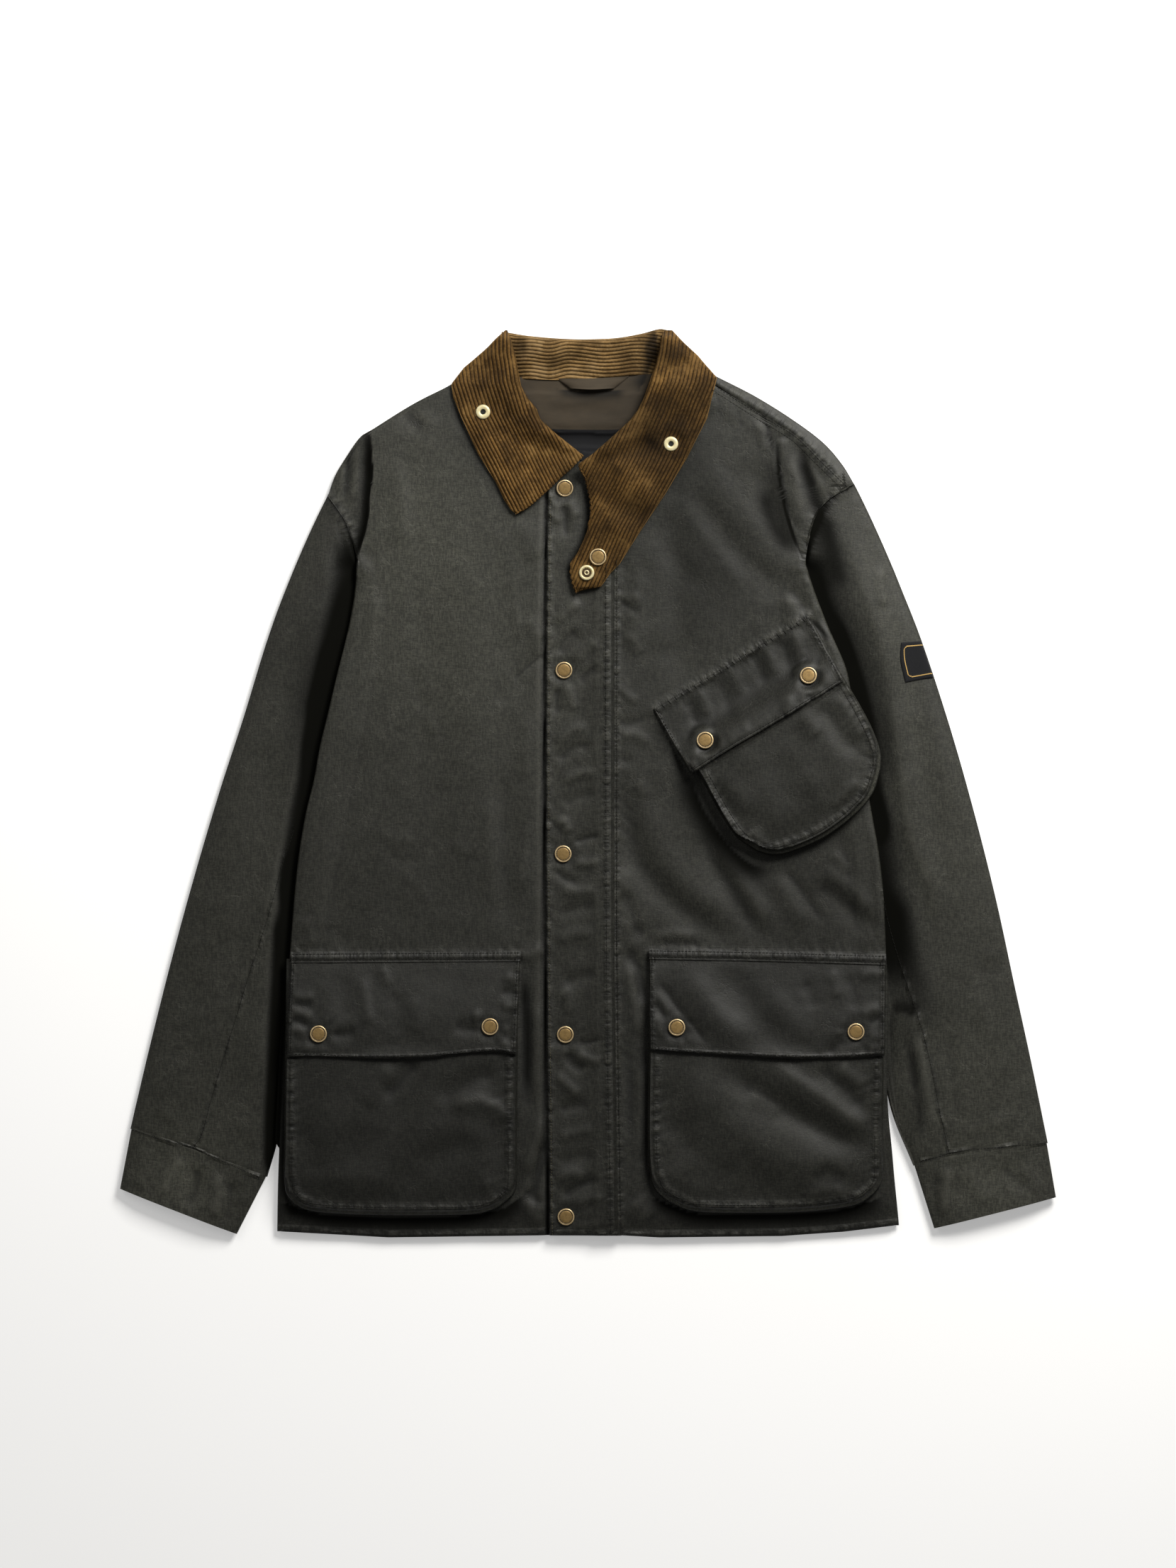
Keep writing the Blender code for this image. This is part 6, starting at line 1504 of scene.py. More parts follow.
def makeFlap(name, part, shared, node, spots, seed, turn=None, dashes=False):
    lines = pocketLines(part["flap"], turn)
    margins = [0, 0.5, 1.1, 1.8, 2.5, 3.3, 4.4, 6.0]
    wide = 204.0 if not turn else 160.0
    tall = 92.0 if not turn else 66.0
    us, vs = graded(wide, margins, 2.1), graded(tall, margins, 2.1)
    x, y = patch(lines["bottom"], lines["right"], lines["top"], lines["left"], us, vs)
    rim = np.vstack([curve(lines["left"][::-1], 6), curve(lines["bottom"], 6)[1:],
                     curve(lines["right"], 6)[1:]])
    inward = np.abs(toLine(rim, x, y)[0])
    below = np.abs(toLine(curve(lines["top"], 6), x, y)[0])
    z = sampleGround(drape(7, 7), x, y) + shared["flapWall"] + 0.4
    centre = np.abs(x - x.mean()) / (x.max() - x.min())
    z += 0.7 * ease(0, 18, below) + 1.3 * ease(14, 0, inward) * ease(10, 40, below) * ease(0.26, 0.04, centre)
    z -= 0.9 * ease(1.3, 0, inward) + 1.0 * ease(2.0, 0, below)
    z -= 0.4 * np.exp(-((inward - 2.6) / 0.8) ** 2)
    calm = ease(0, 7, below)
    z += calm * creaseSum(part["flapCreases"], x, y) + calm * (0.4 * drift(x, y, 34, seed)
                                                              + 0.2 * drift(x, y, 13, seed + 1))
    z += puckerSum([(0.7 if dashes else 0.6, 6.4 if dashes else 7, 8, 8, 0.1, seed + 2, lines["top"]),
                    (0.4, 9, 4, 4, 0.3, seed + 3, lines["bottom"])], x, y)
    z = np.maximum(z, sampleGround(swell(ground["height"], 1), x, y) + 0.6)
    z = seatSnaps(spots, x, y, z, seed + 4, 0.7, 0.8)
    clothPiece(name, x, y, z, shared["flapWall"], "waxedPocketShaded", [node],
               {"shade": part["flapShade"]})
    layDown(x, y, z)


def makeBand(name, part, shared, node):  # the stitched strip over a lower flap's seam
    top = np.array(part["flap"]["top"])
    us, vs = graded(204.0, [0, 0.6, 1.5, 2.6], 1.5), np.linspace(0, 1, 12)
    tx, ty = alongLine(top, us)
    x = tx[None, :] + 0 * vs[:, None]
    y = ty[None, :] + 0.6 + (vs[:, None] - 1) * 9.5
    rise = np.sin(math.pi * np.clip(vs, 0, 1)) ** 0.5
    z = sampleGround(drape(2, 2), x, y) + 0.25 + 0.14 * rise[:, None]
    rows = np.exp(-((vs - 0.20) / 0.09) ** 2) + np.exp(-((vs - 0.84) / 0.09) ** 2)
    z -= 0.42 * rows[:, None]
    z += 0.22 * unevenWave(x + 0.4 * y, 5.2, 97) * rise[:, None] + 0.3 * drift(x, y, 14, 98)
    # painted shade: the band made darker
    clothPiece(name, x, y, z, 0.7, "waxedPocketShaded", [node],
               {"rub": 0.3 * rubAndDipShadeMark(z), "shade": 0.92})
    layDown(x, y, z)


makeBag("bagLowerLeft", pockets["lowerLeft"], pockets, "bag_lower_left")
makeBag("bagLowerRight", pockets["lowerRight"], pockets, "bag_lower_right")
makeBag("bagChest", chestPocket, pockets, "bag_chest", turn=True)
makeFlap("flapLowerLeft", pockets["lowerLeft"], pockets, "flap_lower_left", metalSpots["lowerLeft"], 101)
makeFlap("flapLowerRight", pockets["lowerRight"], pockets, "flap_lower_right", metalSpots["lowerRight"], 111)
makeFlap("flapChest", chestPocket, pockets, "flap_chest", metalSpots["chest"], 121, turn=True, dashes=True)
makeBand("bandLowerLeft", pockets["lowerLeft"], pockets, "band_lower_left")
makeBand("bandLowerRight", pockets["lowerRight"], pockets, "band_lower_right")
print("pockets laid")

neck = {
    "facingWall": 0.8,
    "facingCreases": [
        (0.8, 5, 6, [-43.8, 340.9, -12.5, 337.2, 25, 343.4]),
        (-0.7, 6, 6, [-37.5, 327.2, -6.2, 329.7, 31.2, 325.9]),
    ],
    "facingTop": [(-78.1, 360.9), (-56.2, 359.1), (-18.8, 357.2), (25, 359.1), (65.6, 363.4)],
    "facingBottom": [(-46.9, 318.4), (-34.4, 314.1), (-23.1, 312.2), (0, 311.6), (23.8, 311.6),
        (37.5, 313.4), (53.1, 319.7)],
    "labelTop": [(-32.5, 313.4), (-18.8, 312.8), (25, 312.8), (37.5, 315.9)],
    "labelBottom": [(-18.8, 290.9), (-9.4, 285.9), (6.2, 284.7), (18.8, 290.9)],
    "loopTop": [(-27.5, 357.8), (3.1, 357.8), (36.2, 359.7)],
    "loopBottom": [(-16.2, 349.1), (3.1, 347.8), (23.1, 349.1)],
}


def strip(top, bottom, us, vs):
    tx, ty = alongLine(top, us)
    bx, by = alongLine(bottom, us)
    return (mix(bx[None, :], tx[None, :], vs[:, None]), mix(by[None, :], ty[None, :], vs[:, None]))


def makeNeck(part):
    x, y = strip(part["facingTop"], part["facingBottom"], np.linspace(0, 1, 70), np.linspace(0, 1, 28))
    z = sampleGround(drape(3, 1), x, y) + part["facingWall"] + 0.3 + 0.25 * (drift(x, y, 34, 131) + 1)
    z += 1.2 * ease(340, 356, y)
    z += creaseSum(part["facingCreases"], x, y)
    clothPiece("neckFacing", x, y, z, part["facingWall"], "lining", ["neck_facing"])
    layDown(x, y, z)
    x, y = strip(part["labelTop"], part["labelBottom"], np.linspace(0, 1, 40), np.linspace(0, 1, 26))
    z = sampleGround(drape(2, 1), x, y) + 0.7 + 0.15 * (drift(x, y, 22, 133) + 1)
    clothPiece("neckLabel", x, y, z, 0.5, "label", ["label"])
    layDown(x, y, z)
    us, vs = np.linspace(0, 1, 60), np.linspace(0, 1, 9)
    x, y = strip(part["loopTop"], part["loopBottom"], us, vs)
    hump = np.sin(math.pi * us)[None, :] ** 0.6
    z = sampleGround(drape(2, 2), x, y) + 0.9 + 5.6 * hump * (1.0 - 0.45 * vs[:, None])
    z -= 0.3 * (np.exp(-((vs - 0.15) / 0.1) ** 2) + np.exp(-((vs - 0.85) / 0.1) ** 2))[:, None]
    # painted light: the loop made lighter
    clothPiece("hangerLoop", x, y, z, 0.8, "lining", ["hanger_loop"],
               {"shade": 1.15})


makeNeck(neck)
print("neck laid")

collar = {
    "wall": 2.0,
    "standTop": [(-76.2, 395.9), (-67.5, 394.7), (-53.1, 392.2), (-28.1, 390), (-2.5, 389.1), (25, 390.3),
        (46.9, 394.1), (62.5, 398.4), (71.2, 397.2)],
    "standBottom": [(-67.5, 357.2), (-56.2, 357.8), (-18.8, 356.6), (25, 359.7), (53.1, 361.6),
        (62.5, 363.4)],
    "standCreases": [
        (-2.0, 4, 3, [22.5, 390.9, 17.5, 383.4, 12.5, 374.7], "sharp"),
        (1.2, 4, 6, [16.2, 392.2, 11.2, 384.7, 6.2, 375.9]),
    ],
    "standFoot": 5.4, "standHead": 15.5,
    "leaves": {
        "left": {
            "outer": [(-72.5, 400.9), (-87.5, 385.9), (-109.4, 367.8), (-120.6, 352.8), (-118.8, 340.9),
                (-111.2, 322.2), (-96.9, 290.9), (-81.2, 265.9), (-73.8, 250.3), (-68.1, 241.6),
                (-63.8, 238.4)],
            "inner": [(-71.2, 400.3), (-67.5, 390.9), (-64.4, 379.7), (-62.5, 369.1), (-58.8, 350.3),
                (-53.1, 339.7), (-45, 330.3), (-41.9, 320.9), (-28.1, 308.4), (-3.8, 289.1), (-5, 287.8),
                (-15.6, 277.2), (-25, 269.1), (-34.4, 259.7), (-50, 245.9), (-57.5, 240.9), (-63.1, 238.4)],
            "slope": [(-75, 400.9), (-75, 378.4), (-71.2, 353.4), (-62.5, 325.3), (-43.8, 287.8),
                (-18.8, 238.4)],
            "foldEnd": 289.0, "cutTop": 289.0, "lift": 8.5,
            "creases": [
                (1.6, 8, 10, [-67.5, 365.9, -71.2, 340.9, -65, 322.2]),
                (-1.3, 6, 7, [-81.2, 353.4, -73.8, 331.6, -59.4, 315.9]),
                (1.0, 12, 12, [-93.8, 309.7, -75, 290.9, -53.1, 275.3]),
                (-0.9, 8, 8, [-87.5, 315.9, -68.8, 303.4, -50, 290.9]),
                (0.8, 9, 9, [-81.2, 272.2, -62.5, 259.7, -43.8, 259.7]),
            ],
        },
        "right": {
            "outer": [(73.8, 400.9), (81.2, 392.2), (96.9, 378.4), (113.8, 358.4), (109.4, 340.9),
                (105, 322.2), (96.9, 306.6), (87.5, 287.8), (78.1, 272.2), (68.8, 256.6), (56.2, 237.8),
                (43.8, 219.1), (28.1, 194.1), (20, 185.9), (11.2, 173.4), (3.1, 172.2), (-6.2, 170.3),
                (-10, 168.4)],
            "inner": [(68.8, 400.9), (65.6, 397.2), (63.1, 384.7), (59.4, 369.1), (52.5, 350.3),
                (48.8, 339.7), (43.8, 329.7), (37.5, 320.9), (20, 304.7), (3.1, 289.7), (-8.1, 281.6),
                (-7.5, 277.2), (-2.5, 269.1), (1.9, 250.3), (2.5, 237.8), (0, 225.3), (-3.1, 214.7),
                (-9.4, 203.4), (-15, 194.1), (-15.6, 187.8), (-13.8, 177.2), (-10.6, 168.4)],
            "slope": [(75, 400.9), (71.9, 378.4), (66.2, 353.4), (55, 325.3), (37.5, 284.7), (6.2, 225.3),
                (-18.8, 168.4)],
            "foldEnd": 283.5, "cutTop": 281.0, "lift": 9.0,
            "creases": [
                (3.0, 11, 12, [23.8, 290.9, 31.2, 275.9, 46.9, 259.7, 62.5, 253.4]),
                (-3.0, 11, 12, [34.4, 304.7, 56.2, 294.7, 84.4, 290.9]),
                (-2.6, 10, 10, [5, 259.7, 25, 245.9, 46.9, 235.9, 65.6, 239.7]),
                (1.4, 9, 9, [12.5, 231.6, 31.2, 222.2, 43.8, 215.9]),
                (1.8, 7, 9, [59.4, 350.3, 71.9, 348.4, 90.6, 353.4]),
                (-1.8, 6, 7, [62.5, 367.2, 75, 365.9, 90.6, 375.3]),
                (-1.2, 9, 9, [62.5, 325.3, 75, 322.2, 90.6, 328.4]),
            ],
        },
    },
}


def makeStand(part):
    us = np.linspace(0, 1, 74)
    vs = np.linspace(0, 1, 54)
    x, y = strip(part["standTop"], part["standBottom"], us, vs)
    rise = mix(part["standFoot"], part["standHead"], ease(-0.15, 1.0, vs[:, None]) + 0 * x)
    ripple = 1.1 * np.sin(x / 9.5 + 0.7) * ease(40, -40, np.abs(x + 10) - 30) + 0.7 * drift(x, y, 16, 141)
    corner = 5.5 * ease(38, 64, x) + 3.5 * ease(-52, -66, x)
    z = rise + ripple * ease(0, 0.25, vs[:, None]) - corner
    z += creaseSum(part["standCreases"], x, y)
    z = np.maximum(z, part["wall"] + 0.8)
    wale = (y - 350.0) + 0.9 * np.sin(x / 9.5) + 0.9 * drift(x, y, 24, 142)
    wale += 1.0 * np.sin(x / 5.6 + 1.0) * ease(-2, -30, x) * ease(-78, -55, x)
    z += 0.35 * np.abs(np.sin(math.pi * wale / corduroyLook["pitch"]))
    # over the fold and down at the back
    angles = np.linspace(0, math.pi, 12)[1:]
    radius = 3.0
    base = 4.8
    topZ, topY = z[-1:], y[-1:]
    half = (topZ - base) / 2
    backZ = (topZ + base) / 2 + half * np.cos(angles)[:, None]
    backY = topY + radius * np.sin(angles)[:, None]
    backX = x[-1:] + 0 * backY
    waleBack = wale[-1:] + (angles * 4.5)[:, None]
    x, y, z = np.vstack([x, backX]), np.vstack([y, backY]), np.vstack([z, backZ])
    wale = np.vstack([wale, waleBack])
    # painted light: the stand made lighter
    clothPiece("collarStand", x, y, z, part["wall"], "corduroyStandLit", ["collar_stand"],
               {"wale": wale, "run": x, "rub": 0.4 * rubAndDipShadeMark(z), "shade": 1.07})
    layDown(x[:54], y[:54], z[:54])


def makeLeaf(side, part, shared):
    outer, inner = part["outer"], part["inner"]
    low = min(point[1] for point in outer)
    ys = [low]
    while ys[-1] < 400.0:  # closer rows where the cut edge has teeth
        ys.append(ys[-1] + (0.9 if ys[-1] < part["cutTop"] else 2.0))
    ys = np.array(ys[:-1] + [400.3])
    first, last = straightAt(outer, ys), straightAt(inner, ys)
    slope = np.array(sorted(part["slope"], key=lambda point: point[1]))
    lean = np.interp(ys, slope[:, 1], slope[:, 0])
    toothed = ease(part["cutTop"] + 2, part["cutTop"] - 3, ys)
    pitch = corduroyLook["pitch"]
    last = last + toothed * 0.9 * np.abs(np.sin(math.pi * (last - lean) / pitch / 0.92)) * (
        1.0 if side == "left" else -1.0)
    sign = 1.0 if side == "left" else -1.0
    margins = [0, 0.5, 1.2, 2.2]
    fold = ease(part["foldEnd"] - 2, part["foldEnd"] + 22, ys) * ease(400, 392, ys)
    radius = 0.6 + 3.2 * fold
    if side == "left":
        x = spread(first, last - radius, margins, [0, 0.6], 112)
    else:
        x = spread(last + radius, first, [0, 0.6], margins, 112)
    y = ys[:, None] + 0 * x
    inward = sign * (last[:, None] - x)
    outward = sign * (x - first[:, None])
    width = np.abs(last - first)[:, None]
    rest = np.maximum(sampleGround(drape(6, 6), x, y), 2.5)
    overFall = ease(352, 372, y)
    rest = mix(rest, np.minimum(rest, 6.0), overFall)
    lift = part["lift"] * fold[:, None] * ease(46, 3, inward) ** 1.2
    z = rest + shared["wall"] + 0.5 + lift
    z += 2.2 * ease(0, 14, outward) * ease(0, 10, inward + 4) + 1.4
    z -= 1.1 * ease(1.6, 0, outward)
    z += creaseSum(part["creases"], x, y) * ease(0, 5, outward) + 0.5 * drift(x, y, 30, 151)
    wale = (x - lean[:, None]) * 0.92 + 0.35 * drift(x, y, 22, 152)
    z += 0.42 * np.abs(np.sin(math.pi * wale / pitch)) - 0.3
    z = np.maximum(z, sampleGround(swell(ground["height"], 1), x, y) * (1 - overFall) + shared["wall"] + 0.2)
    z = seatSnaps(metalSpots["eyelets"], x, y, z, 153, 0.9, 0.5)
    z = seatSnaps(metalSpots["tab"] + metalSpots["socket"], x, y, z, 154, 0.3, 0.3)
    edge = -1 if side == "left" else 0
    angles = np.radians([0, 22, 45, 68, 90, 112, 135, 158, 180])[None, :]
    topX, topY, topZ = x[:, edge][:, None], y[:, edge][:, None], z[:, edge][:, None]
    base = np.maximum(topZ - 1.4 - (part["lift"] + 2.0) * fold[:, None], 2.4)
    centre, half = (topZ + base) / 2, (topZ - base) / 2
    rollX = topX + sign * radius[:, None] * np.sin(angles)
    rollZ = centre + half * np.cos(angles)
    rollY = topY + 0 * rollX
    rollWale = wale[:, edge][:, None] + sign * radius[:, None] * angles * 0.8
    upper = slice(0, -8) if side == "left" else slice(8, None)
    x, y, z, wale = joinRoll((x, y, z, wale), (rollX, rollY, rollZ, rollWale), side == "right")
    rub = 0.3 * rubAndDipShadeMark(z)
    rub = np.maximum(rub, 0.8 * ease(1.1, 0.3, np.abs(sign * (x - first[:, None]))))
    # painted shade: the right leaf made darker
    clothPiece(f"collarLeaf{side.title()}", x, y, z, shared["wall"], "corduroy", [f"collar_leaf_{side}"],
               {"wale": wale, "run": y, "rub": rub, "shade": 1.0 if side == "left" else 0.93})
    layDown(x[:, upper], y[:, upper], z[:, upper])


makeStand(collar)
for leafSide in ("left", "right"):
    makeLeaf(leafSide, collar["leaves"][leafSide], collar)
print("collar laid")

snapCap = {"radius": 7.4, "rim": 1.15, "height": 1.7, "dish": 0.45, "sides": 48, "beads": 34}


def startRound(name, radius, height, sides):
    bpy.ops.object.select_all(action="DESELECT")
    bpy.ops.mesh.primitive_cylinder_add(vertices=sides, radius=radius * mm, depth=height * mm,
                                        location=(0, 0, height * mm / 2))
    piece = bpy.context.object
    piece.name = piece.data.name = name
    bpy.ops.object.transform_apply(location=True, rotation=False, scale=False)
    pickFaces(piece, lambda face: face.normal.z > 0.9)
    return piece


def pickFaces(piece, wanted):
    bpy.ops.object.mode_set(mode="EDIT")
    bpy.ops.mesh.select_mode(type="FACE")
    bpy.ops.mesh.select_all(action="DESELECT")
    bpy.ops.object.mode_set(mode="OBJECT")
    for face in piece.data.polygons:
        face.select = wanted(face)
    bpy.ops.object.mode_set(mode="EDIT")


def insetBy(width, rise=0.0):
    bpy.ops.mesh.inset(thickness=width * mm, depth=0.0)
    if rise:
        bpy.ops.transform.translate(value=(0, 0, rise * mm))


def finishRound(piece, bevelWidth, looks, chooser):
    bpy.ops.object.mode_set(mode="OBJECT")
    for look in looks:
        piece.data.materials.append(materials[look])
    for face in piece.data.polygons:
        centre = face.center
        face.material_index = chooser(math.hypot(centre.x, centre.y) / mm, centre.z / mm)
    soft = piece.modifiers.new("edges", "BEVEL")
    soft.width = bevelWidth * mm
    soft.segments = 2
    soft.limit_method = "ANGLE"
    soft.angle_limit = math.radians(30)
    bpy.ops.object.modifier_apply(modifier="edges")
    bpy.ops.object.shade_smooth_by_angle(angle=math.radians(40))


def modelCap(part):
    piece = startRound("capModel", part["radius"], part["height"], part["sides"])
    insetBy(0.5, 0.25)
    insetBy(part["rim"] - 0.5, 0.0)
    insetBy(0.25, -part["dish"])
    insetBy(0.75, 0.0)
    insetBy(0.2, 0.18)
    insetBy(2.2, 0.05)
    # the groove ring is darker brass in its hollow; the cap's low outer side is painted dark as shadow at its
    # foot
    finishRound(piece, 0.12, ["brassFace", "brassRim", "brassHollowsAndBaseShadow"],
                lambda r, h: 1 if r > part["radius"] - part["rim"] - 0.1 and h > 0.9
                else (2 if r > part["radius"] - part["rim"] - 1.1 or h < 0.5 else 0))
    beads = []
    for index in range(part["beads"]):
        angle = 2 * math.pi * index / part["beads"]
        ring = part["radius"] - part["rim"] - 0.7
        place = (ring * mm * math.cos(angle), ring * mm * math.sin(angle),
                 (part["height"] + 0.25 - part["dish"]) * mm)
        bpy.ops.mesh.primitive_ico_sphere_add(subdivisions=1, radius=0.20 * mm, location=place)
        bead = bpy.context.object
        bead.data.materials.append(materials["brassRim"])
        beads.append(bead)
    bpy.ops.object.select_all(action="DESELECT")
    for bead in beads:
        bead.select_set(True)
    piece.select_set(True)
    bpy.context.view_layer.objects.active = piece
    bpy.ops.object.join()
    return piece


def modelSocket():
    piece = startRound("socketModel", 6.8, 1.1, 48)
    insetBy(0.5, 0.9)
    insetBy(1.2, 0.25)
    insetBy(0.9, -0.9)
    insetBy(0.3, -0.5)
    insetBy(1.6, 0.0)
    insetBy(0.2, 0.9)
    insetBy(0.5, 0.15)
    insetBy(0.35, -0.4)
    finishRound(piece, 0.14, ["paleRing", "brassHollowsAndBaseShadow"],
                lambda r, h: 1 if 2.2 < r < 4.4 and h < 1.2 or r < 0.7 else 0)
    return piece


def modelEyelet():
    piece = startRound("eyeletModel", 6.4, 0.6, 48)
    insetBy(0.6, 0.65)
    insetBy(1.5, 0.3)
    insetBy(1.5, -0.35)
    insetBy(0.5, -0.5)
    insetBy(0.3, -0.6)
    # painted shade: the middle is near-black for the shadow in the eyelet's hole
    finishRound(piece, 0.14, ["paleRing", "threadDarkAndHoleShade"], lambda r, h: 1 if r < 2.2 else 0)
    return piece


def placeCopy(model, name, node, spot):
    sx, sy = spot
    height = soften(ground["height"], 3)
    z = float(sampleGround(ground["height"], np.array([sx]), np.array([sy]))[0])
    reach = 6.0  # how far to each side the slope is taken
    aroundX, aroundY = sx + reach * np.array([1, -1, 0, 0]), sy + reach * np.array([0, 0, 1, -1])
    east, west, north, south = (float(value) for value in sampleGround(height, aroundX, aroundY))
    up = Vector((-(east - west) / (2 * reach), -(north - south) / (2 * reach), 1)).normalized()
    piece = model.copy()
    piece.data = model.data.copy()
    piece.name = piece.data.name = name
    bpy.context.scene.collection.objects.link(piece)
    turn = up.to_track_quat("Z", "Y").to_matrix().to_4x4()
    turn.translation = Vector((sx, sy, z + 0.05)) * mm
    piece.data.transform(turn)
    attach(piece, "root")
    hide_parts(node)
    return piece


def makeMetal():
    cap, socket, eyelet = modelCap(snapCap), modelSocket(), modelEyelet()
    for index, spot in enumerate(metalSpots["placket"]):
        placeCopy(cap, f"snapPlacket{index + 1}", f"snap_placket_{index + 1}", spot)
    for key, node in (("chest", "snap_chest"), ("lowerLeft", "snap_lower_left"),
                      ("lowerRight", "snap_lower_right")):
        for index, spot in enumerate(metalSpots[key]):
            placeCopy(cap, f"snap{key[0].upper()}{key[1:]}{index + 1}", f"{node}_{index + 1}", spot)
    placeCopy(cap, "snapTab", "snap_tab", metalSpots["tab"][0])
    placeCopy(socket, "snapSocket", "snap_socket_tab", metalSpots["socket"][0])
    for name, node, spot in zip(("eyeletLeft", "eyeletRight"), ("eyelet_left", "eyelet_right"),
                                metalSpots["eyelets"]):
        placeCopy(eyelet, name, node, spot)
    for model in (cap, socket, eyelet):
        bpy.data.objects.remove(model)


makeMetal()
print("metal set")

badge = {
    "outer": [(293.8, 125.9), (298.8, 110.9), (304.4, 94.1)],
    "inner": [(276.2, 124.7), (275.6, 109.7), (280, 89.7)], "wall": 1.0,
}


def makeBadge(part):
    us = np.concatenate([np.linspace(0, 1, 34), [1.04, 1.08, 1.11, 1.13]])
    vs = np.linspace(0, 1, 44)
    ox, oy = alongLine(part["outer"], vs)
    ix, iy = alongLine(part["inner"], vs)
    x = mix(ix[:, None], ox[:, None] - 1.4, np.minimum(us, 1.0)[None])
    y = mix(iy[:, None], oy[:, None], np.minimum(us, 1.0)[None])
    z = sampleGround(drape(2, 2), x, y) + part["wall"]
    over = np.clip(us - 1, 0, 1)[None] / 0.13
    x = x + 1.9 * np.sin(over * math.pi / 2)
    z = z - 2.6 * (1 - np.cos(over * math.pi / 2))
    along, down = us[None] * 21.0 + 0 * x, (1 - vs[:, None]) * 33.0 + 0 * x
    edge = np.minimum(np.minimum(along, down), 33.0 - down)
    z -= 0.5 * ease(1.0, 0, edge)
    corner = np.hypot(np.maximum(6.5 - along, 0), np.maximum(6.5 - np.minimum(down, 33.0 - down), 0))
    edge = np.where(corner > 0, np.minimum(edge, 6.5 - corner), edge)
    border = np.exp(-((edge - 3.6) / 0.5) ** 4)
    z += 0.22 * border
    piece = clothPiece("sleeveBadge", x, y, z, part["wall"], "label", ["sleeve_badge"],
                       {"rub": rubAndDipShadeMark(z)})
    piece.data.materials.append(materials["goldThread"])
    rows, columns = x.shape
    for face in piece.data.polygons:
        corners = [index % (rows * columns) for index in face.vertices]
        share = np.mean([border[index // columns, index % columns] for index in corners])
        face.material_index = 1 if share > 0.55 else 0


makeBadge(badge)

stitchLook = {"length": 2.3, "gap": 0.8, "thick": 0.55, "rise": 0.25}


def stitchRows(name, rows, look, thread="threadDarkAndHoleShade"):
    bpy.ops.object.select_all(action="DESELECT")
    bpy.ops.mesh.primitive_cylinder_add(vertices=4, radius=0.5, depth=1.0, rotation=(0, math.pi / 2, 0))
    model = bpy.context.object
    bpy.ops.object.transform_apply(location=False, rotation=True, scale=False)
    corners = np.array([vertex.co[:] for vertex in model.data.vertices])
    faces = [tuple(face.vertices) for face in model.data.polygons]
    corners[:, 1:] *= np.where(np.abs(corners[:, :1]) > 0.4, 0.8, 1.0)
    places, allFaces = [], []
    for points, inset in rows:
        line = curve(points, 8)
        lengths = np.concatenate([[0], np.cumsum(np.hypot(*np.diff(line, axis=0).T))])
        pitch = look["length"] + look["gap"]
        starts = np.arange(0.5, lengths[-1] - look["length"], pitch)
        for start in starts:
            ends = []
            for place in (start, start + look["length"]):
                x, y = np.interp(place, lengths, line[:, 0]), np.interp(place, lengths, line[:, 1])
                ends.append([x, y])
            ends = np.array(ends)
            away = ends[1] - ends[0]
            normal = np.array([-away[1], away[0]]) / np.hypot(*away)
            ends = ends + normal * inset
            heights = sampleGround(ground["height"], ends[:, 0], ends[:, 1]) + look["rise"] * 0.2
            a, b = np.append(ends[0], heights[0]), np.append(ends[1], heights[1])
            ahead = (b - a) / np.linalg.norm(b - a)
            across = np.append(normal, 0.0)
            up = np.cross(ahead, across)
            middle = (a + b) / 2
            body = (middle + corners[:, :1] * ahead * look["length"]
                    + corners[:, 1:2] * across * look["thick"] + corners[:, 2:3] * up * look["thick"])
            base = len(places) * len(corners)
            places.append(body)
            allFaces.extend(tuple(index + base for index in face) for face in faces)
    mesh = bpy.data.meshes.new(name)
    mesh.from_pydata((np.vstack(places) * mm).tolist(), [], allFaces)
    mesh.materials.append(materials[thread])
    piece = bpy.data.objects.new(name, mesh)
    bpy.context.scene.collection.objects.link(piece)
    bpy.data.objects.remove(model)
    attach(piece, "root")
    return piece


stitchRows("stitchesPlacketEdge", [(placket["left"], 2.4)],
           {"length": 1.2, "gap": 1.3, "thick": 0.45, "rise": 0.2}, "threadPale")
stitchRows("stitchesPlacket", [(placket["rightRows"], 0.0), (placket["rightRows"], 9.0)], stitchLook)
pocketRows = []
for key in ("lowerLeft", "lowerRight"):
    flap = pockets[key]["flap"]
    pocketRows += [(flap["top"], -1.4), (flap["top"], -6.6), (flap["left"], 2.6), (flap["bottom"], 2.6),
                   (flap["right"], -2.6)]
    bag = pockets[key]
    pocketRows += [(bag["left"][3:], 7.6), (bag["bottom"], 7.6), (bag["right"][3:], -7.6)]
flap = {key: turned(chestPocket["flap"][key]) for key in ("top", "left", "bottom", "right")}
pocketRows += [(flap["left"], 2.6), (flap["bottom"], 2.6), (flap["right"], -2.6)]
pocketRows += [(turned(chestPocket["left"][1:]), 7.4), (turned(chestPocket["bottom"]), 7.4),
               (turned(chestPocket["right"][1:]), -7.4)]
stitchRows("stitchesPockets", pocketRows, stitchLook)
stitchRows("stitchesSleeves", [(leftSeam, 0.0), (rightSeam, 0.0), (leftCuffSeam, 0.0), (rightCuffSeam, 0.0)],
           stitchLook)
bars = []  # short tacks across the chest flap's seam
for place in np.arange(2.0, 158.0, 6.6):
    bars.append(([fromChest(place, 0.4), fromChest(place + 0.5, 2.6), fromChest(place + 1.0, 5.0)], 0.0))
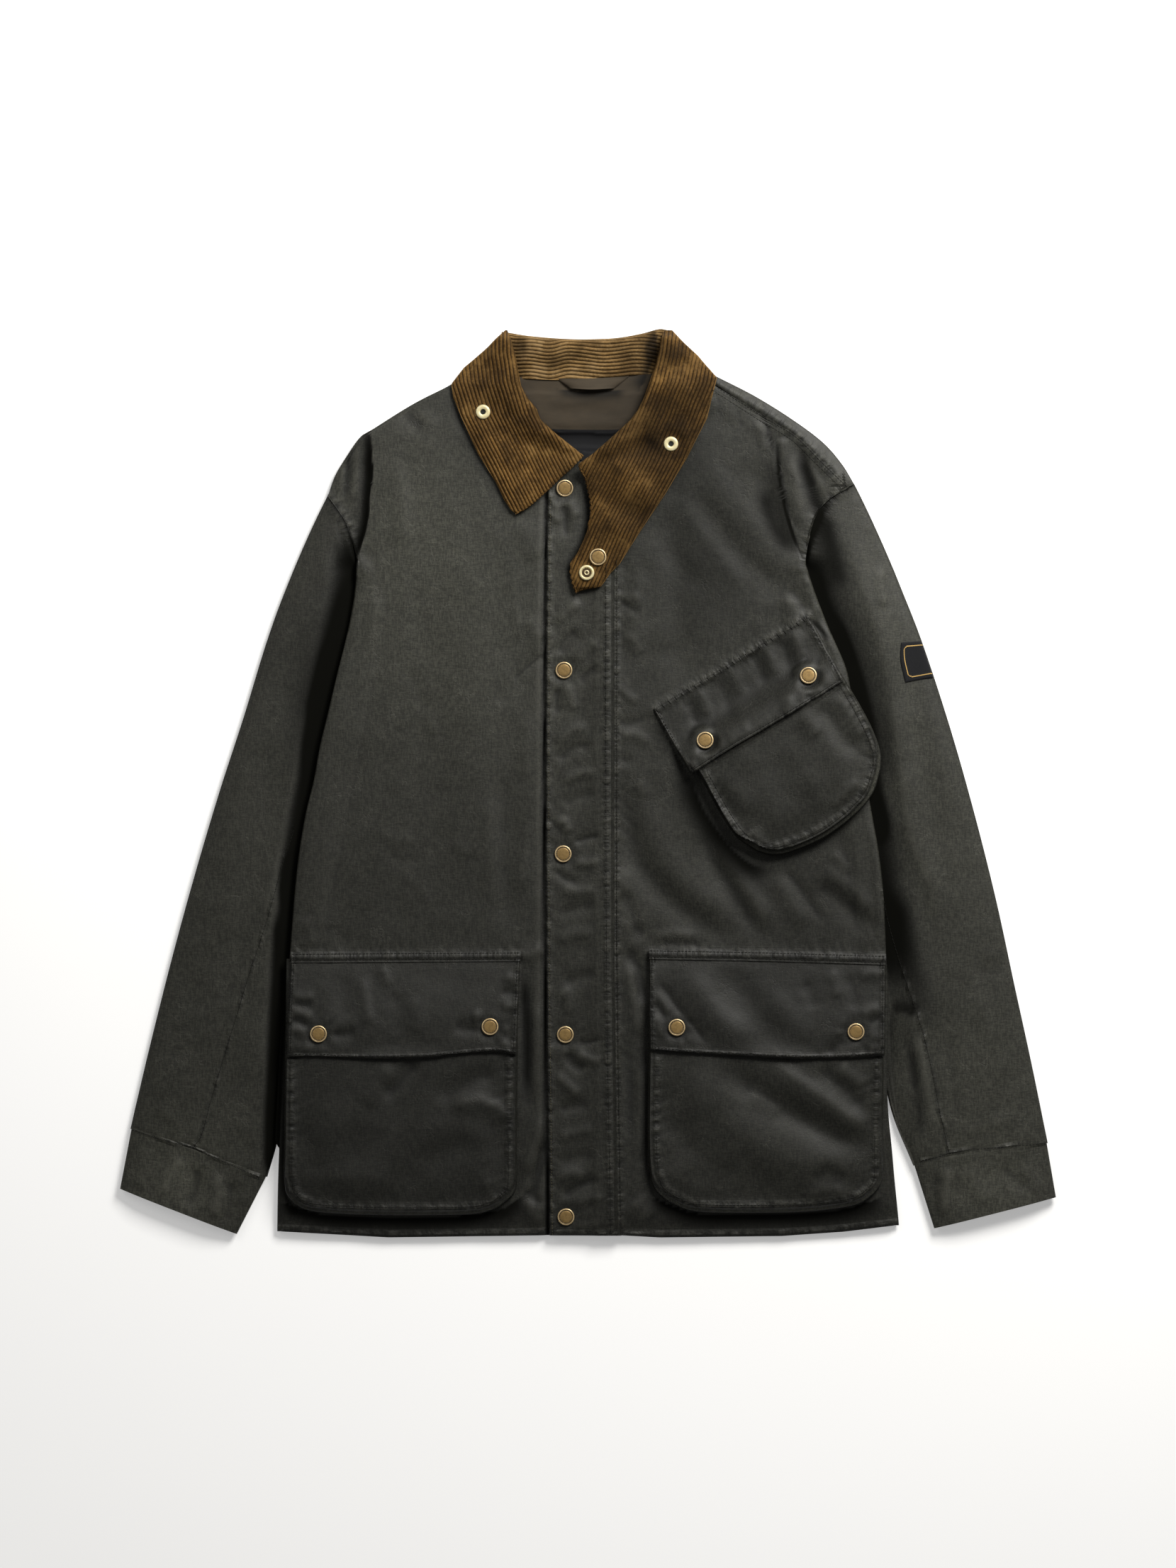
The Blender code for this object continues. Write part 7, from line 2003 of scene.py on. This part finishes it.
stitchRows("tacksChest", bars, {"length": 3.4, "gap": 0.4, "thick": 1.0, "rise": 0.3})
stitchRows("stitchesShoulder", [(bodyEdges["shoulderSeam"], inset) for inset in (-1.6, -6.0)], stitchLook)
print("stitches sewn")

studio = {
    "distance": 4.0, "viewHeight": 1.3862, "floor": (0.88, 0.88, 0.88), "glow": 0.34, "world": 0.12,
    "warmth": (1.0, 0.982, 0.945),
    "lights": [("keyLight", (0.85, 1.35, 1.25), 0.85, 58.0), ("fillLight", (-1.3, 1.2, 1.8), 1.4, 9.0)],
}


def makeStudio(part):
    bpy.ops.object.select_all(action="DESELECT")
    bpy.ops.mesh.primitive_plane_add(size=8, location=(0, 0, -0.0004))
    floor = bpy.context.object
    floor.name = "studioFloor"
    made, shader = startMaterial("paleFloor", {"Roughness": 0.9, "Specular IOR Level": 0.1,
                                               "Emission Strength": part["glow"]})
    shader.inputs["Emission Color"].default_value = (1, 1, 1, 1)
    speckle = noise(objectPlace(), 6.0, 2.0)
    feed(shader, "Base Color", blend(speckle, part["floor"], scaled(part["floor"], 0.99)))
    floor.data.materials.append(made)
    world = bpy.data.worlds.new("studioWorld")
    bpy.context.scene.world = world
    world.use_nodes = True
    world.node_tree.nodes["Background"].inputs["Color"].default_value = (1, 0.985, 0.955, 1)
    world.node_tree.nodes["Background"].inputs["Strength"].default_value = part["world"]
    for name, place, size, power in part["lights"]:
        bpy.ops.object.light_add(type="AREA", location=place)
        light = bpy.context.object
        light.name = name
        light.data.size = size
        light.data.energy = power
        light.data.color = part["warmth"]
        light.rotation_euler = (Vector((0, 0, 0)) - Vector(place)).to_track_quat("-Z", "Y").to_euler()
    bpy.ops.object.camera_add(location=(0, 0, part["distance"]), rotation=(0, 0, 0))
    camera = bpy.context.object
    half = math.atan(part["viewHeight"] / 2 / part["distance"])
    camera.data.sensor_fit = "AUTO"
    camera.data.lens = camera.data.sensor_width / 2 / math.tan(half)
    camera.data.clip_end = 100
    bpy.context.scene.camera = camera
    bpy.context.scene.view_settings.view_transform = "Standard"


makeStudio(studio)
print("studio ready")
